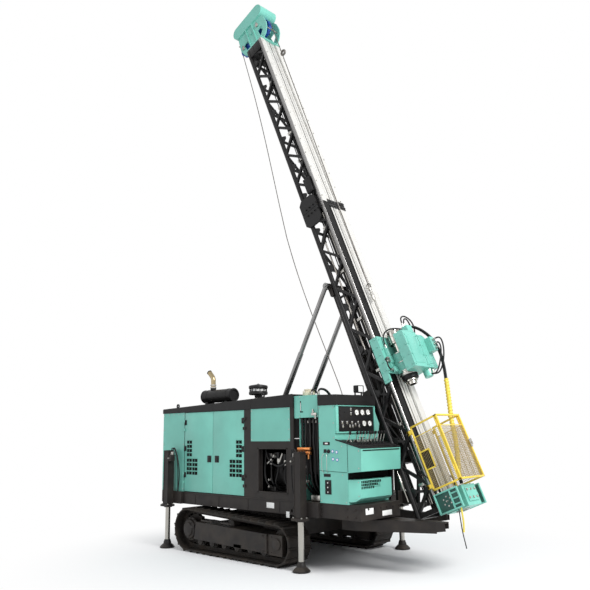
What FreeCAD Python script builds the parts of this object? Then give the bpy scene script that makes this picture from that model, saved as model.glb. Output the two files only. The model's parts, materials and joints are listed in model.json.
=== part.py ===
"""Crawler-mounted exploration drilling rig, built from separate sub-parts.

Millimetres. +X points to the drill end, +Y to the far side, +Z up. The origin is on the
ground, under the middle of the machine's bounding box.
"""
import FreeCAD, Part
import math
import os

V = FreeCAD.Vector

# ---------------------------------------------------------------- driving dimensions
# crawler
TRACK_Y = 890.0            # centre of a track, from the machine's centre plane
SHOE_WIDTH = 400.0
SHOE_PITCH_COUNT = 36
SHOE_THICK = 22.0
GROUSER = 18.0
SPROCKET_X, SPROCKET_R = -1620.0, 310.0    # outer radius of the loop round the sprocket
IDLER_X, IDLER_R = 250.0, 272.0
CHAIN_WIDTH, CHAIN_THICK = 120.0, 55.0
ROLLER_R = 72.0
ROLLER_COUNT = 6

# base frame
FRAME_REAR_X = -2459.0
FRAME_FRONT_X = 1560.0     # near side, under the control cabinet
FRAME_FAR_X = 790.0        # far side, which stops at the far front jack
FRAME_HALF_Y = 950.0
FRAME_Z0, FRAME_Z1 = 643.0, 820.0
RAIL_W = 90.0
DECK_T = 10.0
NEAR_ARM_X, FAR_ARM_X = 2250.0, 1850.0     # ends of the arms beside the mast's foot

# jacks
JACK_X_FRONT, JACK_X_REAR = 680.0, -2146.0
JACK_TUBE = 110.0
JACK_STANDOFF = 45.0       # between the frame's side and the jack's tube
JACK_Y = FRAME_HALF_Y + JACK_STANDOFF + JACK_TUBE / 2
JACK_TOP_Z, JACK_BOTTOM_Z = 1423.0, 600.0
JACK_ROD_R = 38.0
JACK_PAD_R = 110.0

# mast, in its own frame: t runs up the mast, e runs out of its front, from the tilt pivot
MAST_Y = 120.0             # the mast stands a little off the centre plane
MAST_ANGLE = 68.0          # above horizontal
PIVOT_X, PIVOT_Z = 1000.0, 2050.0
MAST_HALF_W = 235.0        # outside of the chords
CHORD_R = 35.0
CHORD_E = 175.0            # rear chords' centre
RAIL_E0, RAIL_E1 = 475.0, 545.0
RAIL_Y0 = 140.0            # inner side of the front rails
MAST_T0 = -1640.0          # foot
FOLD_T = 3070.0            # joint between the two sections
MAST_T1 = 6720.0           # underside of the crown
BAY_PITCH = 650.0
BRACE = 38.0
DRILL_E = 682.0            # drill axis
SECTION_GAP = 6.0
FOLD_Y = 300.0             # fold hinge line, beside the mast's far face
FOLD_R, FOLD_PIN_R = 28.0, 14.0
FOLD_E0, FOLD_LUG = 130.0, 45.0
FACE_T = 8.0
FACE_STEP = 20.0           # how far the face lies behind the rails' front between them

# carrier that the mast slides on
CARRIER_T0, CARRIER_T1 = -900.0, 1840.0
CARRIER_Y0, CARRIER_Y1 = 95.0, 150.0
CARRIER_E0 = 60.0
DUMP_E, DUMP_ROD_R = 95.0, 25.0
DUMP_BORE_T1 = 880.0
PIVOT_R = 40.0
STAY_PIN_T, STAY_PIN_E = 1796.0, 100.0
STAY_Y = 290.0             # stays' centre planes, from the mast's
STAY_FOOT_X, STAY_FOOT_Z = -1300.0, 720.0
RUN_GAP = 0.3              # between a sliding or turning face and its seat
SIDE_GAP = 6.0             # between parts that pass each other


# ---------------------------------------------------------------- helpers
def box(x0, x1, y0, y1, z0, z1):
    return Part.makeBox(x1 - x0, y1 - y0, z1 - z0, V(x0, y0, z0))


def rod(p, q, r):
    axis = q - p
    return Part.makeCylinder(r, axis.Length, p, axis)


def pipe(p, q, r, bore):
    axis = q - p
    unit = V(axis).normalize()
    hole = Part.makeCylinder(bore, axis.Length + 2.0, p - unit, axis)
    return rod(p, q, r).cut(hole)


def polygon_face(points):
    return Part.Face(Part.makePolygon(points + points[:1]))


def prism_x(points, x0, x1):
    return polygon_face([V(x0, y, z) for y, z in points]).extrude(V(x1 - x0, 0, 0))


def prism_y(points, y0, y1):
    return polygon_face([V(x, y0, z) for x, z in points]).extrude(V(0, y1 - y0, 0))


def prism_z(points, z0, z1):
    return polygon_face([V(x, y, z0) for x, y in points]).extrude(V(0, 0, z1 - z0))


def beam(p, q, wide, deep, wide_axis):
    """Rectangular bar from p to q; its width lies along wide_axis."""
    along = (q - p)
    length = along.Length
    along.normalize()
    side = V(wide_axis) - along * along.dot(wide_axis)
    side.normalize()
    up = along.cross(side)
    corners = [p + side * (a * wide / 2) + up * (b * deep / 2)
               for a, b in ((-1, -1), (1, -1), (1, 1), (-1, 1))]
    return polygon_face(corners).extrude(along * length)


def fuse(shapes):
    shapes = list(shapes)
    if len(shapes) == 1:
        return shapes[0]
    return shapes[0].multiFuse(shapes[1:]).removeSplitter()


def cut(shape, tools):
    for tool in tools:
        shape = shape.cut(tool)
    return shape


def mirror_y(shape, y=0.0):
    return shape.mirror(V(0, y, 0), V(0, 1, 0))


def both_sides(shape, y=0.0):
    return [shape, mirror_y(shape, y)]


def on_mast(shape):
    """Move a shape from the mast's own frame (e, y, t) to its place on the machine."""
    placed = shape.copy()
    place = FreeCAD.Placement(V(PIVOT_X, MAST_Y, PIVOT_Z),
                              FreeCAD.Rotation(V(0, 1, 0), MAST_ANGLE - 90.0))
    placed.Placement = place.multiply(placed.Placement)
    return placed


def mast_point(e, y, t):
    turn = FreeCAD.Rotation(V(0, 1, 0), MAST_ANGLE - 90.0)
    return V(PIVOT_X, MAST_Y, PIVOT_Z) + turn.multVec(V(e, y, t))


def save(name, shape):
    shape.exportStep("parts/%s.step" % name)
    print("%-22s solids %d  volume %.1f l" % (name, len(shape.Solids), shape.Volume / 1e6))


# ---------------------------------------------------------------- crawler
def loop_points(inset, count, profile):
    """Points round the belt line of the two end circles, moved in by inset.

    profile lists (share of one pitch, height above the line) pairs, repeated count times."""
    r0, r1 = SPROCKET_R - inset, IDLER_R - inset
    c0, c1 = (SPROCKET_X, SPROCKET_R), (IDLER_X, IDLER_R)
    span = math.hypot(c1[0] - c0[0], c1[1] - c0[1])
    lean = math.asin((r1 - r0) / span)
    slope = math.atan2(c1[1] - c0[1], c1[0] - c0[0])
    run = span * math.cos(lean)
    top = slope + math.pi / 2 + lean
    low = slope - math.pi / 2 - lean
    arc0 = r0 * (2 * math.pi - (top - low))
    arc1 = r1 * (top - low)
    total = 2 * run + arc0 + arc1

    def at(s, high):
        s = s % total
        if s < run:
            a, base, along = top, c0, s
            r = r0 + high
            step = (math.cos(top - math.pi / 2) * along, math.sin(top - math.pi / 2) * along)
        elif s < run + arc1:
            a, base, step = top - (s - run) / r1, c1, (0.0, 0.0)
            r = r1 + high
        elif s < 2 * run + arc1:
            along = s - run - arc1
            a, base = low, c1
            r = r1 + high
            step = (math.cos(low - math.pi / 2) * along, math.sin(low - math.pi / 2) * along)
        else:
            a, base, step = low - (s - 2 * run - arc1) / r0, c0, (0.0, 0.0)
            r = r0 + high
        return (base[0] + step[0] + r * math.cos(a), base[1] + step[1] + r * math.sin(a))

    pitch = total / count
    return [at((i + share) * pitch, high) for i in range(count) for share, high in profile]


def belt(inset, half, side):
    """Solid bounded by the belt line round both end circles, moved in by inset."""
    y = side * TRACK_Y
    r0, r1 = SPROCKET_R - inset, IDLER_R - inset
    ends = [rod(V(x, y - half, z), V(x, y + half, z), r)
            for x, z, r in ((SPROCKET_X, SPROCKET_R, r0), (IDLER_X, IDLER_R, r1))]
    run, rise = IDLER_X - SPROCKET_X, IDLER_R - SPROCKET_R
    slope = math.atan2(rise, run)
    lean = math.asin((r0 - r1) / math.hypot(run, rise))
    points = []
    for x, z, r, sign in ((SPROCKET_X, SPROCKET_R, r0, 1), (IDLER_X, IDLER_R, r1, 1),
                          (IDLER_X, IDLER_R, r1, -1), (SPROCKET_X, SPROCKET_R, r0, -1)):
        a = slope + sign * (math.pi / 2 - lean)
        points.append((x + r * math.cos(a), z + r * math.sin(a)))
    return fuse(ends + [prism_y(points, y - half, y + half)])


def track_loop(side):
    y0 = side * TRACK_Y - SHOE_WIDTH / 2
    shoe = ((0.02, 0.0), (0.16, 0.0), (0.22, GROUSER), (0.30, GROUSER), (0.36, 0.0),
            (0.94, 0.0), (0.95, -SHOE_THICK * 0.6), (0.01, -SHOE_THICK * 0.6))
    shoe = tuple(sorted(shoe))
    outer = prism_y(loop_points(GROUSER, SHOE_PITCH_COUNT, shoe), y0, y0 + SHOE_WIDTH)
    inner = belt(GROUSER + SHOE_THICK, SHOE_WIDTH / 2 + 1, side)
    chain_out = belt(GROUSER + SHOE_THICK - 2, CHAIN_WIDTH / 2, side)
    chain_in = belt(GROUSER + SHOE_THICK + CHAIN_THICK, CHAIN_WIDTH / 2 + 1, side)
    return outer.cut(inner).fuse(chain_out.cut(chain_in)).removeSplitter()


def sprocket(side):
    teeth = 14
    inner_r = SPROCKET_R - GROUSER - SHOE_THICK - CHAIN_THICK - RUN_GAP
    points = []
    for i in range(teeth * 2):
        a = math.pi * i / teeth
        r = inner_r if i % 2 == 0 else inner_r - 22
        points.append((SPROCKET_X + r * math.cos(a), SPROCKET_R + r * math.sin(a)))
    y = side * TRACK_Y
    plate = prism_y(points, y - 30, y + 30)
    hub = rod(V(SPROCKET_X, y - side * 150, SPROCKET_R), V(SPROCKET_X, y + side * 150, SPROCKET_R), 105)
    cap = rod(V(SPROCKET_X, y + side * 150, SPROCKET_R), V(SPROCKET_X, y + side * 175, SPROCKET_R), 70)
    return fuse([plate, hub, cap])


def track_frame(side):
    y = side * TRACK_Y
    y0, y1 = sorted((y + side * 165, y - side * 165))
    beam_z0, beam_z1 = 165.0, 425.0
    side_beam = prism_y([(-1480, beam_z0 + 20), (-1440, beam_z1), (60, beam_z1 - 40),
                         (60, beam_z0 - 20)], y0, y1)
    chain_low = GROUSER + SHOE_THICK + CHAIN_THICK
    inner = fuse([box(-1500, 70, y - 75, y + 75, beam_z0 - 40, chain_low + 2 * ROLLER_R - 20)])
    side_beam = side_beam.cut(inner)
    box_out = box(75, 330, y0 + 20, y1 - 20, 130, 385)
    box_out = box_out.cut(box(150, 400, y - 75, y + 75, 100, 400))
    idler_r = IDLER_R - GROUSER - SHOE_THICK - CHAIN_THICK - RUN_GAP
    idler = rod(V(IDLER_X, y - 45, IDLER_R), V(IDLER_X, y + 45, IDLER_R), idler_r)
    pin = rod(V(IDLER_X, y0 + 20, IDLER_R), V(IDLER_X, y1 - 20, IDLER_R), 40)
    parts = [side_beam, box_out, idler, pin, sprocket(side)]
    parts.append(box(40, 100, y0 + 20, y1 - 20, 180, 360))
    step = (IDLER_X - SPROCKET_X - 420.0) / (ROLLER_COUNT - 1)
    for i in range(ROLLER_COUNT):
        x = SPROCKET_X + 235.0 + i * step * 0.93
        z = chain_low + ROLLER_R + RUN_GAP
        parts.append(rod(V(x, y - 70, z), V(x, y + 70, z), ROLLER_R))
        parts.append(rod(V(x, y - 120, z), V(x, y + 120, z), 26))
    top_r = 55.0
    top_x = -760.0
    share = (top_x - SPROCKET_X) / (IDLER_X - SPROCKET_X)
    top_z = 2 * (SPROCKET_R + (IDLER_R - SPROCKET_R) * share) - chain_low - top_r - 2
    parts.append(rod(V(top_x, y - 60, top_z), V(top_x, y + 60, top_z), top_r))
    parts.append(prism_y([(top_x - 60, beam_z1 - 20), (top_x - 25, top_z), (top_x + 25, top_z),
                          (top_x + 60, beam_z1 - 20)], y - side * 62 - 12, y - side * 62 + 12))
    parts.append(box(SPROCKET_X - 30, -1430, y - side * 165 - 15, y - side * 165 + 15, 200, 420))
    return fuse(parts)


def carbody():
    """Cross beams and turntable-free box that carry the base frame between the tracks."""
    inner = TRACK_Y - 165.0
    parts = [box(x - 130, x + 130, -inner, inner, 260, 420) for x in (-1150.0, -220.0)]
    parts.append(box(-1280, -90, -420, 420, 300, FRAME_Z0))
    return fuse(parts)


# ---------------------------------------------------------------- base frame
def arm(side):
    """One of the two arms that reach out beside the mast's foot."""
    inner = 300.0
    if side < 0:
        y_in = MAST_Y - inner
        plan = [(1000, -640), (1210, -640), (NEAR_ARM_X - 80, -320), (NEAR_ARM_X, -260), (NEAR_ARM_X, y_in),
                (1000, y_in)]
    else:
        y_in = MAST_Y + inner
        plan = [(860, y_in), (FAR_ARM_X, y_in), (FAR_ARM_X, y_in + 45), (FAR_ARM_X - 90, y_in + 65),
                (860, y_in + 65)]
    top = prism_z(plan, 606, 620)
    web_y = (y_in - 12, y_in) if side < 0 else (y_in, y_in + 12)
    end = NEAR_ARM_X if side < 0 else FAR_ARM_X
    profile = [(plan[0][0], 643), (plan[0][0], 480), (end - 490, 458), (end, 545), (end, 620), (1250, 620)]
    inner_web = prism_y(profile, *web_y)
    parts = [top, inner_web]
    if side < 0:
        outer = beam(V(1206, -640, 545), V(NEAR_ARM_X - 80, -320, 560), 12, 130, V(0, 1, 0))
        tail = beam(V(NEAR_ARM_X - 84, -322, 560), V(NEAR_ARM_X, -261, 570), 12, 100, V(0, 1, 0))
        root = box(1000, 1210, -640, -628, 480, 643)
        rib = box(1000, 1012, -640, y_in, 480, 643)
        parts += [outer, tail, root, rib]
    else:
        parts.append(prism_y(profile, y_in + 53, y_in + 65))
        parts.append(box(860, 872, y_in, y_in + 65, 480, 643))
    return fuse(parts)


def base_frame():
    w = RAIL_W
    z0, z1 = FRAME_Z0, FRAME_Z1
    deck_z = z1 - DECK_T
    slot_x = 1040.0
    near = box(FRAME_REAR_X, FRAME_FRONT_X, -FRAME_HALF_Y, -FRAME_HALF_Y + w, z0, z1)
    far = box(FRAME_REAR_X, FRAME_FAR_X, FRAME_HALF_Y - w, FRAME_HALF_Y, z0, z1)
    parts = [near, far]
    for x in (FRAME_REAR_X, -1500.0, -700.0, 100.0, FRAME_FAR_X - w):
        parts.append(box(x, x + w, -FRAME_HALF_Y, FRAME_HALF_Y, z0, z1))
    parts.append(box(FRAME_FRONT_X - w, FRAME_FRONT_X, -FRAME_HALF_Y, MAST_Y - 300, z0, z1))
    parts.append(box(FRAME_FAR_X - w, FRAME_FRONT_X, MAST_Y - 300 - w, MAST_Y - 300, z0, z1))
    parts.append(box(FRAME_FAR_X - w, slot_x, MAST_Y + 300, MAST_Y + 300 + w, z0, z1))
    parts.append(box(slot_x - w, slot_x, MAST_Y - 300, MAST_Y + 300 + w, z0, z1))
    deck = [(FRAME_REAR_X, -FRAME_HALF_Y), (FRAME_FRONT_X, -FRAME_HALF_Y), (FRAME_FRONT_X, MAST_Y - 300),
            (slot_x, MAST_Y - 300), (slot_x, MAST_Y + 300 + w), (FRAME_FAR_X, MAST_Y + 300 + w),
            (FRAME_FAR_X, FRAME_HALF_Y), (FRAME_REAR_X, FRAME_HALF_Y)]
    parts.append(prism_z(deck, deck_z, z1))
    for x in (JACK_X_FRONT, JACK_X_REAR):
        for s in (-1, 1):
            y0, y1 = sorted((s * FRAME_HALF_Y, s * (JACK_Y - JACK_TUBE / 2)))
            parts.append(box(x - 90, x + 250, y0, y1, z0, z1))
    return fuse(parts)


# ---------------------------------------------------------------- jacks
def jack_housing(x, side):
    y = side * JACK_Y
    h = JACK_TUBE / 2
    tube = box(x - h, x + h, y - h, y + h, JACK_BOTTOM_Z, JACK_TOP_Z)
    bore = JACK_ROD_R + RUN_GAP
    tube = tube.cut(rod(V(x, y, JACK_BOTTOM_Z - 1), V(x, y, JACK_TOP_Z - 20), bore + 8))
    flange = box(x - h - 35, x + h + 35, y - h - 25, y + h + 20 if side > 0 else y + h,
                 JACK_BOTTOM_Z, JACK_BOTTOM_Z + 30)
    if side > 0:
        flange = box(x - h - 35, x + h + 35, y - h, y + h + 25, JACK_BOTTOM_Z, JACK_BOTTOM_Z + 30)
    flange = flange.cut(rod(V(x, y, JACK_BOTTOM_Z - 1), V(x, y, JACK_BOTTOM_Z + 31), bore))
    cap = box(x - h - 6, x + h + 6, y - h - 6 if side < 0 else y - h, y + h if side < 0 else y + h + 6,
              JACK_TOP_Z - 12, JACK_TOP_Z)
    return fuse([tube, flange, cap])


def jack_leg(x, side):
    y = side * JACK_Y
    leg = rod(V(x, y, 70), V(x, y, 1000), JACK_ROD_R)
    profile = [V(0, 0, 0), V(JACK_PAD_R, 0, 0), V(JACK_PAD_R, 0, 14), V(62, 0, 48), V(52, 0, 95),
               V(0, 0, 95), V(0, 0, 0)]
    pad = Part.Face(Part.makePolygon(profile)).revolve(V(0, 0, 0), V(0, 0, 1), 360)
    pad.translate(V(x, y, 0))
    return fuse([leg, pad])


# ---------------------------------------------------------------- engine house
HOUSE_X0 = FRAME_REAR_X
DOOR_X0, DOOR_X1 = -1888.0, -498.0
PILLAR_X1 = -356.0
MID_X1 = 456.0
PANEL_T = 30.0
PANEL_Z1 = 2000.0
ROOF_REAR_Z, ROOF_FRONT_Z = 2065.0, 2167.0
BAY_X0 = -1390.0           # the open bay under the mast starts here
BAY_HALF = 350.0
HINGE_IN, HINGE_OUT = 8.0, 8.0
ENGINE_CLEAR, ENGINE_HALF_W, ENGINE_HIGH = 120.0, 330.0, 740.0
TANK_Z0 = 1561.0


def roof_z(x):
    return ROOF_REAR_Z + (ROOF_FRONT_Z - ROOF_REAR_Z) * (x - HOUSE_X0) / (MID_X1 - HOUSE_X0)


def slots(x0, count, pitch, wide, z0, rows, row_pitch, tall, y0, y1):
    return [box(x0 + i * pitch, x0 + i * pitch + wide, y0, y1, z0 + j * row_pitch, z0 + j * row_pitch + tall)
            for i in range(count) for j in range(rows)]


def engine_house():
    """Green panels: rear wall, near rear side and the whole far side."""
    y = FRAME_HALF_Y
    t = PANEL_T
    z0, z1 = FRAME_Z1, PANEL_Z1
    plan = [(DOOR_X0 - 4, -y), (HOUSE_X0, -y), (HOUSE_X0, y), (PILLAR_X1, y), (PILLAR_X1, y - t),
            (HOUSE_X0 + t, y - t), (HOUSE_X0 + t, -y + t), (DOOR_X0 - 4, -y + t)]
    shell = prism_z(plan, z0, z1)
    grille = slots(-2300, 5, 260, 200, 1000, 9, 90, 40, y - t - 1, y + 1)
    shell = shell.cut(Part.makeCompound(grille))
    rear = [box(HOUSE_X0 - 1, HOUSE_X0 + t + 1, -700, 700, z, z + 45) for z in range(1020, 1820, 90)]
    shell = shell.cut(Part.makeCompound(rear))
    return fuse([shell] + door_hinge_leaves(DOOR_X0 - 40, DOOR_X0 + HINGE_IN))


DOOR_KNUCKLE_Z = (980.0, 1760.0)
DOOR_KNUCKLE_L, DOOR_KNUCKLE_R = 90.0, 7.0


def door_hinge_leaves(edge, hinge_x):
    """Knuckles above and below each of a door's own, on leaves screwed to the panel beside it."""
    y0 = -FRAME_HALF_Y
    x0, x1 = sorted((edge, hinge_x))
    parts = []
    for z in DOOR_KNUCKLE_Z:
        for z0 in (z - RUN_GAP - 40, z + DOOR_KNUCKLE_L + RUN_GAP):
            axis = V(hinge_x, y0 - HINGE_OUT, z0)
            parts.append(rod(axis, axis + V(0, 0, 40), DOOR_KNUCKLE_R))
            parts.append(box(x0, x1, y0 - HINGE_OUT - 4, y0 - 0.5, z0, z0 + 40))
            pad = sorted((edge, hinge_x + (edge - hinge_x) * 0.6))
            parts.append(box(*pad, y0 - 1, y0, z0, z0 + 40))
    return parts


def door(x0, x1, hinge_left):
    """One leaf of the near side's double door, with its louvre slots and latch plate."""
    y0 = -FRAME_HALF_Y
    gap = 3.0
    leaf = box(x0 + gap, x1 - gap, y0, y0 + PANEL_T, FRAME_Z1 + gap + 2, PANEL_Z1 - gap)
    base = x0 + 115 if hinge_left else x1 - 115 - 200
    cuts = slots(base, 2, 105, 95, 1180, 4, 62, 32, y0 - 1, y0 + PANEL_T + 1)
    outer = base if hinge_left else base + 105
    cuts += slots(outer, 1, 105, 95, 1470, 4, 62, 32, y0 - 1, y0 + PANEL_T + 1)
    leaf = leaf.cut(Part.makeCompound(cuts))
    latch_x = x1 - 75 if hinge_left else x0 + 75
    latch = box(latch_x - 28, latch_x + 28, y0 - 14, y0 + 5, 1440, 1500)
    hinge_x = x0 + HINGE_IN if hinge_left else x1 - HINGE_IN
    knuckles = [rod(V(hinge_x, y0 - HINGE_OUT, z), V(hinge_x, y0 - HINGE_OUT, z + DOOR_KNUCKLE_L),
                    DOOR_KNUCKLE_R) for z in DOOR_KNUCKLE_Z]
    tab_x = sorted((hinge_x, hinge_x + (16 if hinge_left else -16)))
    tabs = [box(*tab_x, y0 - HINGE_OUT - 3, y0 + 1, z, z + DOOR_KNUCKLE_L) for z in DOOR_KNUCKLE_Z]
    return fuse([leaf, latch] + knuckles + tabs)


def house_frame():
    """Black posts, the framed opening of the pump bay and the headers that carry the roof."""
    y = FRAME_HALF_Y
    z0, z1 = FRAME_Z1, PANEL_Z1
    parts = [box(DOOR_X1 + 1, PILLAR_X1, -y, -y + 90, z0, z1),
             box(PILLAR_X1 - 90, PILLAR_X1, -BAY_HALF + MAST_Y - 40, -BAY_HALF + MAST_Y, z0, z1),
             box(PILLAR_X1 - 90, PILLAR_X1, BAY_HALF + MAST_Y, BAY_HALF + MAST_Y + 40, z0, z1)]
    wall = 12.0
    near_y, far_y = MAST_Y - BAY_HALF, MAST_Y + BAY_HALF
    parts.append(box(BAY_X0 - wall, PILLAR_X1, near_y - wall, near_y, z0, z1))
    parts.append(box(BAY_X0 - wall, PILLAR_X1, far_y, far_y + wall, z0, z1))
    parts.append(box(BAY_X0 - wall, BAY_X0, near_y - wall, far_y + wall, z0, z1))
    parts.append(box(PILLAR_X1 - 40, PILLAR_X1, -y, near_y, z1 - 50, z1))
    parts += door_hinge_leaves(DOOR_X1 + 40, DOOR_X1 - HINGE_IN)
    header = [box(HOUSE_X0 + PANEL_T, PILLAR_X1, -y + PANEL_T + 2, -y + 80, z1 - 50, z1),
              box(DOOR_X0 - 4, DOOR_X0 + 40, -y + PANEL_T + 2, -y + 80, z0, z1)]
    parts += header
    opening = box(-221, 367, -y - 1, -y + 60, 887, 1476)
    front = box(PILLAR_X1 - 2, MID_X1 + 22, -y, -y + 50, z0, 1560).cut(opening)
    parts.append(front)
    parts.append(box(MID_X1 - 40, MID_X1 + 22, -y, -y + 90, z0, z1))
    parts.append(box(MID_X1 - 40, MID_X1 + 22, -BAY_HALF + MAST_Y - 60, -BAY_HALF + MAST_Y, z0, 1560))
    parts.append(box(PILLAR_X1 - 2, MID_X1 + 22, -y, -BAY_HALF + MAST_Y, 1530, 1560))
    return fuse(parts)


def roof():
    """Black roof, open over the bay that the mast lies in."""
    y = FRAME_HALF_Y
    x0, x1 = HOUSE_X0 - 15, MID_X1 + 22
    t = 12.0
    outer = prism_y([(x0, PANEL_Z1), (x1, PANEL_Z1), (x1, roof_z(x1)), (x0, roof_z(x0))], -y - 8, y + 8)
    inner = prism_y([(x0 + t, PANEL_Z1 - 1), (x1 - t, PANEL_Z1 - 1), (x1 - t, roof_z(x1) - t),
                     (x0 + t, roof_z(x0) - t)], -y - 8 + t, y + 8 - t)
    bay = box(BAY_X0, x1 + 1, MAST_Y - BAY_HALF, MAST_Y + BAY_HALF, PANEL_Z1 - 1, 2400)
    curb = box(BAY_X0 - t, x1, MAST_Y - BAY_HALF - t, MAST_Y + BAY_HALF + t, PANEL_Z1, 2400)
    curb = curb.common(outer)
    return outer.cut(inner).fuse(curb).cut(bay).removeSplitter()


def tank():
    """Green tank over the pump bay."""
    y = FRAME_HALF_Y
    return box(PILLAR_X1 + 2, MID_X1 - 42, -y, MAST_Y - BAY_HALF, TANK_Z0, PANEL_Z1)


def far_tank():
    """Green tank on the far side, beside the bay."""
    y = FRAME_HALF_Y
    return box(PILLAR_X1 + 2, MID_X1 + 20, MAST_Y + BAY_HALF, y, FRAME_Z1, PANEL_Z1)


def engine():
    x0, x1 = HOUSE_X0 + ENGINE_CLEAR, BAY_X0 - ENGINE_CLEAR / 2
    z1 = FRAME_Z1 + ENGINE_HIGH
    block = box(x0, x1, -ENGINE_HALF_W, ENGINE_HALF_W, FRAME_Z1, z1)
    head = box(x0 + 80, x1 - 70, -0.6 * ENGINE_HALF_W, 0.6 * ENGINE_HALF_W, z1, z1 + 160)
    return fuse([block, head])


PUMP_SET_Y = 390.0          # how far inside the near face the pump set stands


def pumps():
    """Pump set that shows through the framed opening."""
    y, z = PUMP_SET_Y - FRAME_HALF_Y, FRAME_Z1 + 270
    base = box(-200, 340, y - 240, y + 280, FRAME_Z1, FRAME_Z1 + 80)
    case = rod(V(-150, y, z), V(300, y, z), 150)
    flange = rod(V(60, y, z), V(110, y, z), 185)
    feet = box(-60, 200, y - 80, y + 80, FRAME_Z1 + 70, z - 90)
    top = rod(V(-40, y - 90, z - 10), V(-40, y - 90, z + 310), 60)
    return fuse([base, case, flange, feet, top])


FILTER_Z0, FILTER_Z1 = 1858.0, 2142.0
CANISTER_X, CANISTER_Y, CANISTER_R = (640.0, 780.0), 110.0, 52.0


def filter_box():
    """Green box beside the control cabinet, standing on a strip over its canisters."""
    x0, x1 = MID_X1 + 24, CAB_X0 - 2
    near = 20 - FRAME_HALF_Y
    top = box(x0, x1, near, MAST_Y - BAY_HALF, FILTER_Z0, FILTER_Z1)
    strip = box(x0, x0 + 90, near, near + 230, FRAME_Z1, FILTER_Z0 + 1)
    back = box(x1 - 60, x1, near + 130, MAST_Y - BAY_HALF, FRAME_Z1, FILTER_Z0 + 1)
    return fuse([top, strip, back])


def canisters():
    """Two canisters that hang under the filter box."""
    y = CANISTER_Y - FRAME_HALF_Y
    parts = []
    for x in CANISTER_X:
        parts.append(rod(V(x, y, 1180), V(x, y, FILTER_Z0 - RUN_GAP), CANISTER_R))
        parts.append(rod(V(x, y, 1150), V(x, y, 1180), CANISTER_R - 12))
    return parts


# ---------------------------------------------------------------- control cabinet
CAB_X0 = 920.0
CAB_Y1 = -165.0
CAB_FRONT_X = 1196.0       # face that carries the gauge panel


def cabinet():
    y0, y1 = -FRAME_HALF_Y, CAB_Y1
    outline = [(CAB_X0, FRAME_Z1), (1380, FRAME_Z1), (1380, 1185), (1588, 1207), (1600, 1470),
               (CAB_FRONT_X, 1571), (CAB_FRONT_X, PANEL_Z1), (CAB_X0, PANEL_Z1)]
    hollow = [(CAB_X0 + 8, FRAME_Z1 - 1), (1372, FRAME_Z1 - 1), (1372, 1192), (1580, 1215), (1591, 1462),
              (CAB_FRONT_X - 8, 1563), (CAB_FRONT_X - 8, PANEL_Z1 - 8), (CAB_X0 + 8, PANEL_Z1 - 8)]
    shell = prism_y(outline, y0, y1).cut(prism_y(hollow, y0 + 8, y1 - 8))
    plan = [(1372, -940), (1385, -940), (1500, -850), (1500, -250), (1480, -235), (1372, -235)]
    lower = prism_z(plan, 850, 1107)
    wedge = prism_y([(1372, 849), (1510, 849), (1510, 900), (1440, 849)], -960, -200)
    lower = lower.cut(wedge)
    lower = lower.cut(Part.makeCompound(slots(1490, 1, 1, 20, 1010, 5, 18, 9, -800, -480)))
    return fuse([shell, lower])


CAB_TOP_X0, CAB_TOP_X1 = CAB_X0, 1230.0
CAB_TOP_Z0, CAB_TOP_Z1 = 2137.0, 2129.0


def cabinet_roof_z(x):
    return CAB_TOP_Z0 + (CAB_TOP_Z1 - CAB_TOP_Z0) * (x - CAB_TOP_X0) / (CAB_TOP_X1 - CAB_TOP_X0)


def cabinet_top():
    """Black cap of the cabinet."""
    y0, y1 = -FRAME_HALF_Y - 8, CAB_Y1
    x0, x1 = CAB_TOP_X0, CAB_TOP_X1
    t = 12.0
    outer = prism_y([(x0, PANEL_Z1), (x1, PANEL_Z1), (x1, CAB_TOP_Z1), (x0, CAB_TOP_Z0)], y0, y1)
    inner = prism_y([(x0 + t, PANEL_Z1 - 1), (x1 - t, PANEL_Z1 - 1), (x1 - t, CAB_TOP_Z1 - t),
                     (x0 + t, CAB_TOP_Z0 - t)], y0 + t, y1 - t)
    return outer.cut(inner)


PANEL_Y0, PANEL_Y1 = 48.0 - FRAME_HALF_Y, CAB_Y1 - 25
GAUGE_Z0, GAUGE_Z1, GAUGE_CORNER = 1672.0, 1986.0, 45.0
DIAL_R, DIAL_ROWS = 40.0, ((1912.0, (102.0, 218.0, 334.0)), (1770.0, (84.0, 196.0)))
KNOB_R, KNOB_ROWS = 13.0, ((1940.0, (456.0,)), (1885.0, (456.0,)), (1776.0, (315.0, 439.0, 535.0, 628.0)),
                          (1730.0, (298.0, 424.0, 479.0, 617.0)))


def rounded_plate(x0, x1, y0, y1, z0, z1, corner):
    """Plate across x with its four corners rounded."""
    plate = box(x0, x1, y0, y1, z0, z1)
    corners = [edge for edge in plate.Edges if abs(edge.BoundBox.XLength - (x1 - x0)) < 0.01]
    return plate.makeFillet(corner, corners)


def gauge_panel():
    """Black instrument panel with a raised rim, its dials and its knobs."""
    x0, x1 = CAB_FRONT_X + RUN_GAP, CAB_FRONT_X + 22
    plate = rounded_plate(x0, x1, PANEL_Y0, PANEL_Y1, GAUGE_Z0, GAUGE_Z1, GAUGE_CORNER)
    pocket = rounded_plate(x1 - 10, x1 + 1, PANEL_Y0 + 14, PANEL_Y1 - 14, GAUGE_Z0 + 14, GAUGE_Z1 - 14,
                           GAUGE_CORNER - 14)
    parts = [plate.cut(pocket)]
    for radius, reach, rows in ((DIAL_R, 4, DIAL_ROWS), (KNOB_R, 10, KNOB_ROWS)):
        for z, offsets in rows:
            for offset in offsets:
                y = PANEL_Y1 - offset
                parts.append(rod(V(x1 - 12, y, z), V(x1 - 8 + reach, y, z), radius))
    return fuse(parts)


LEVERS = 9


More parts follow.
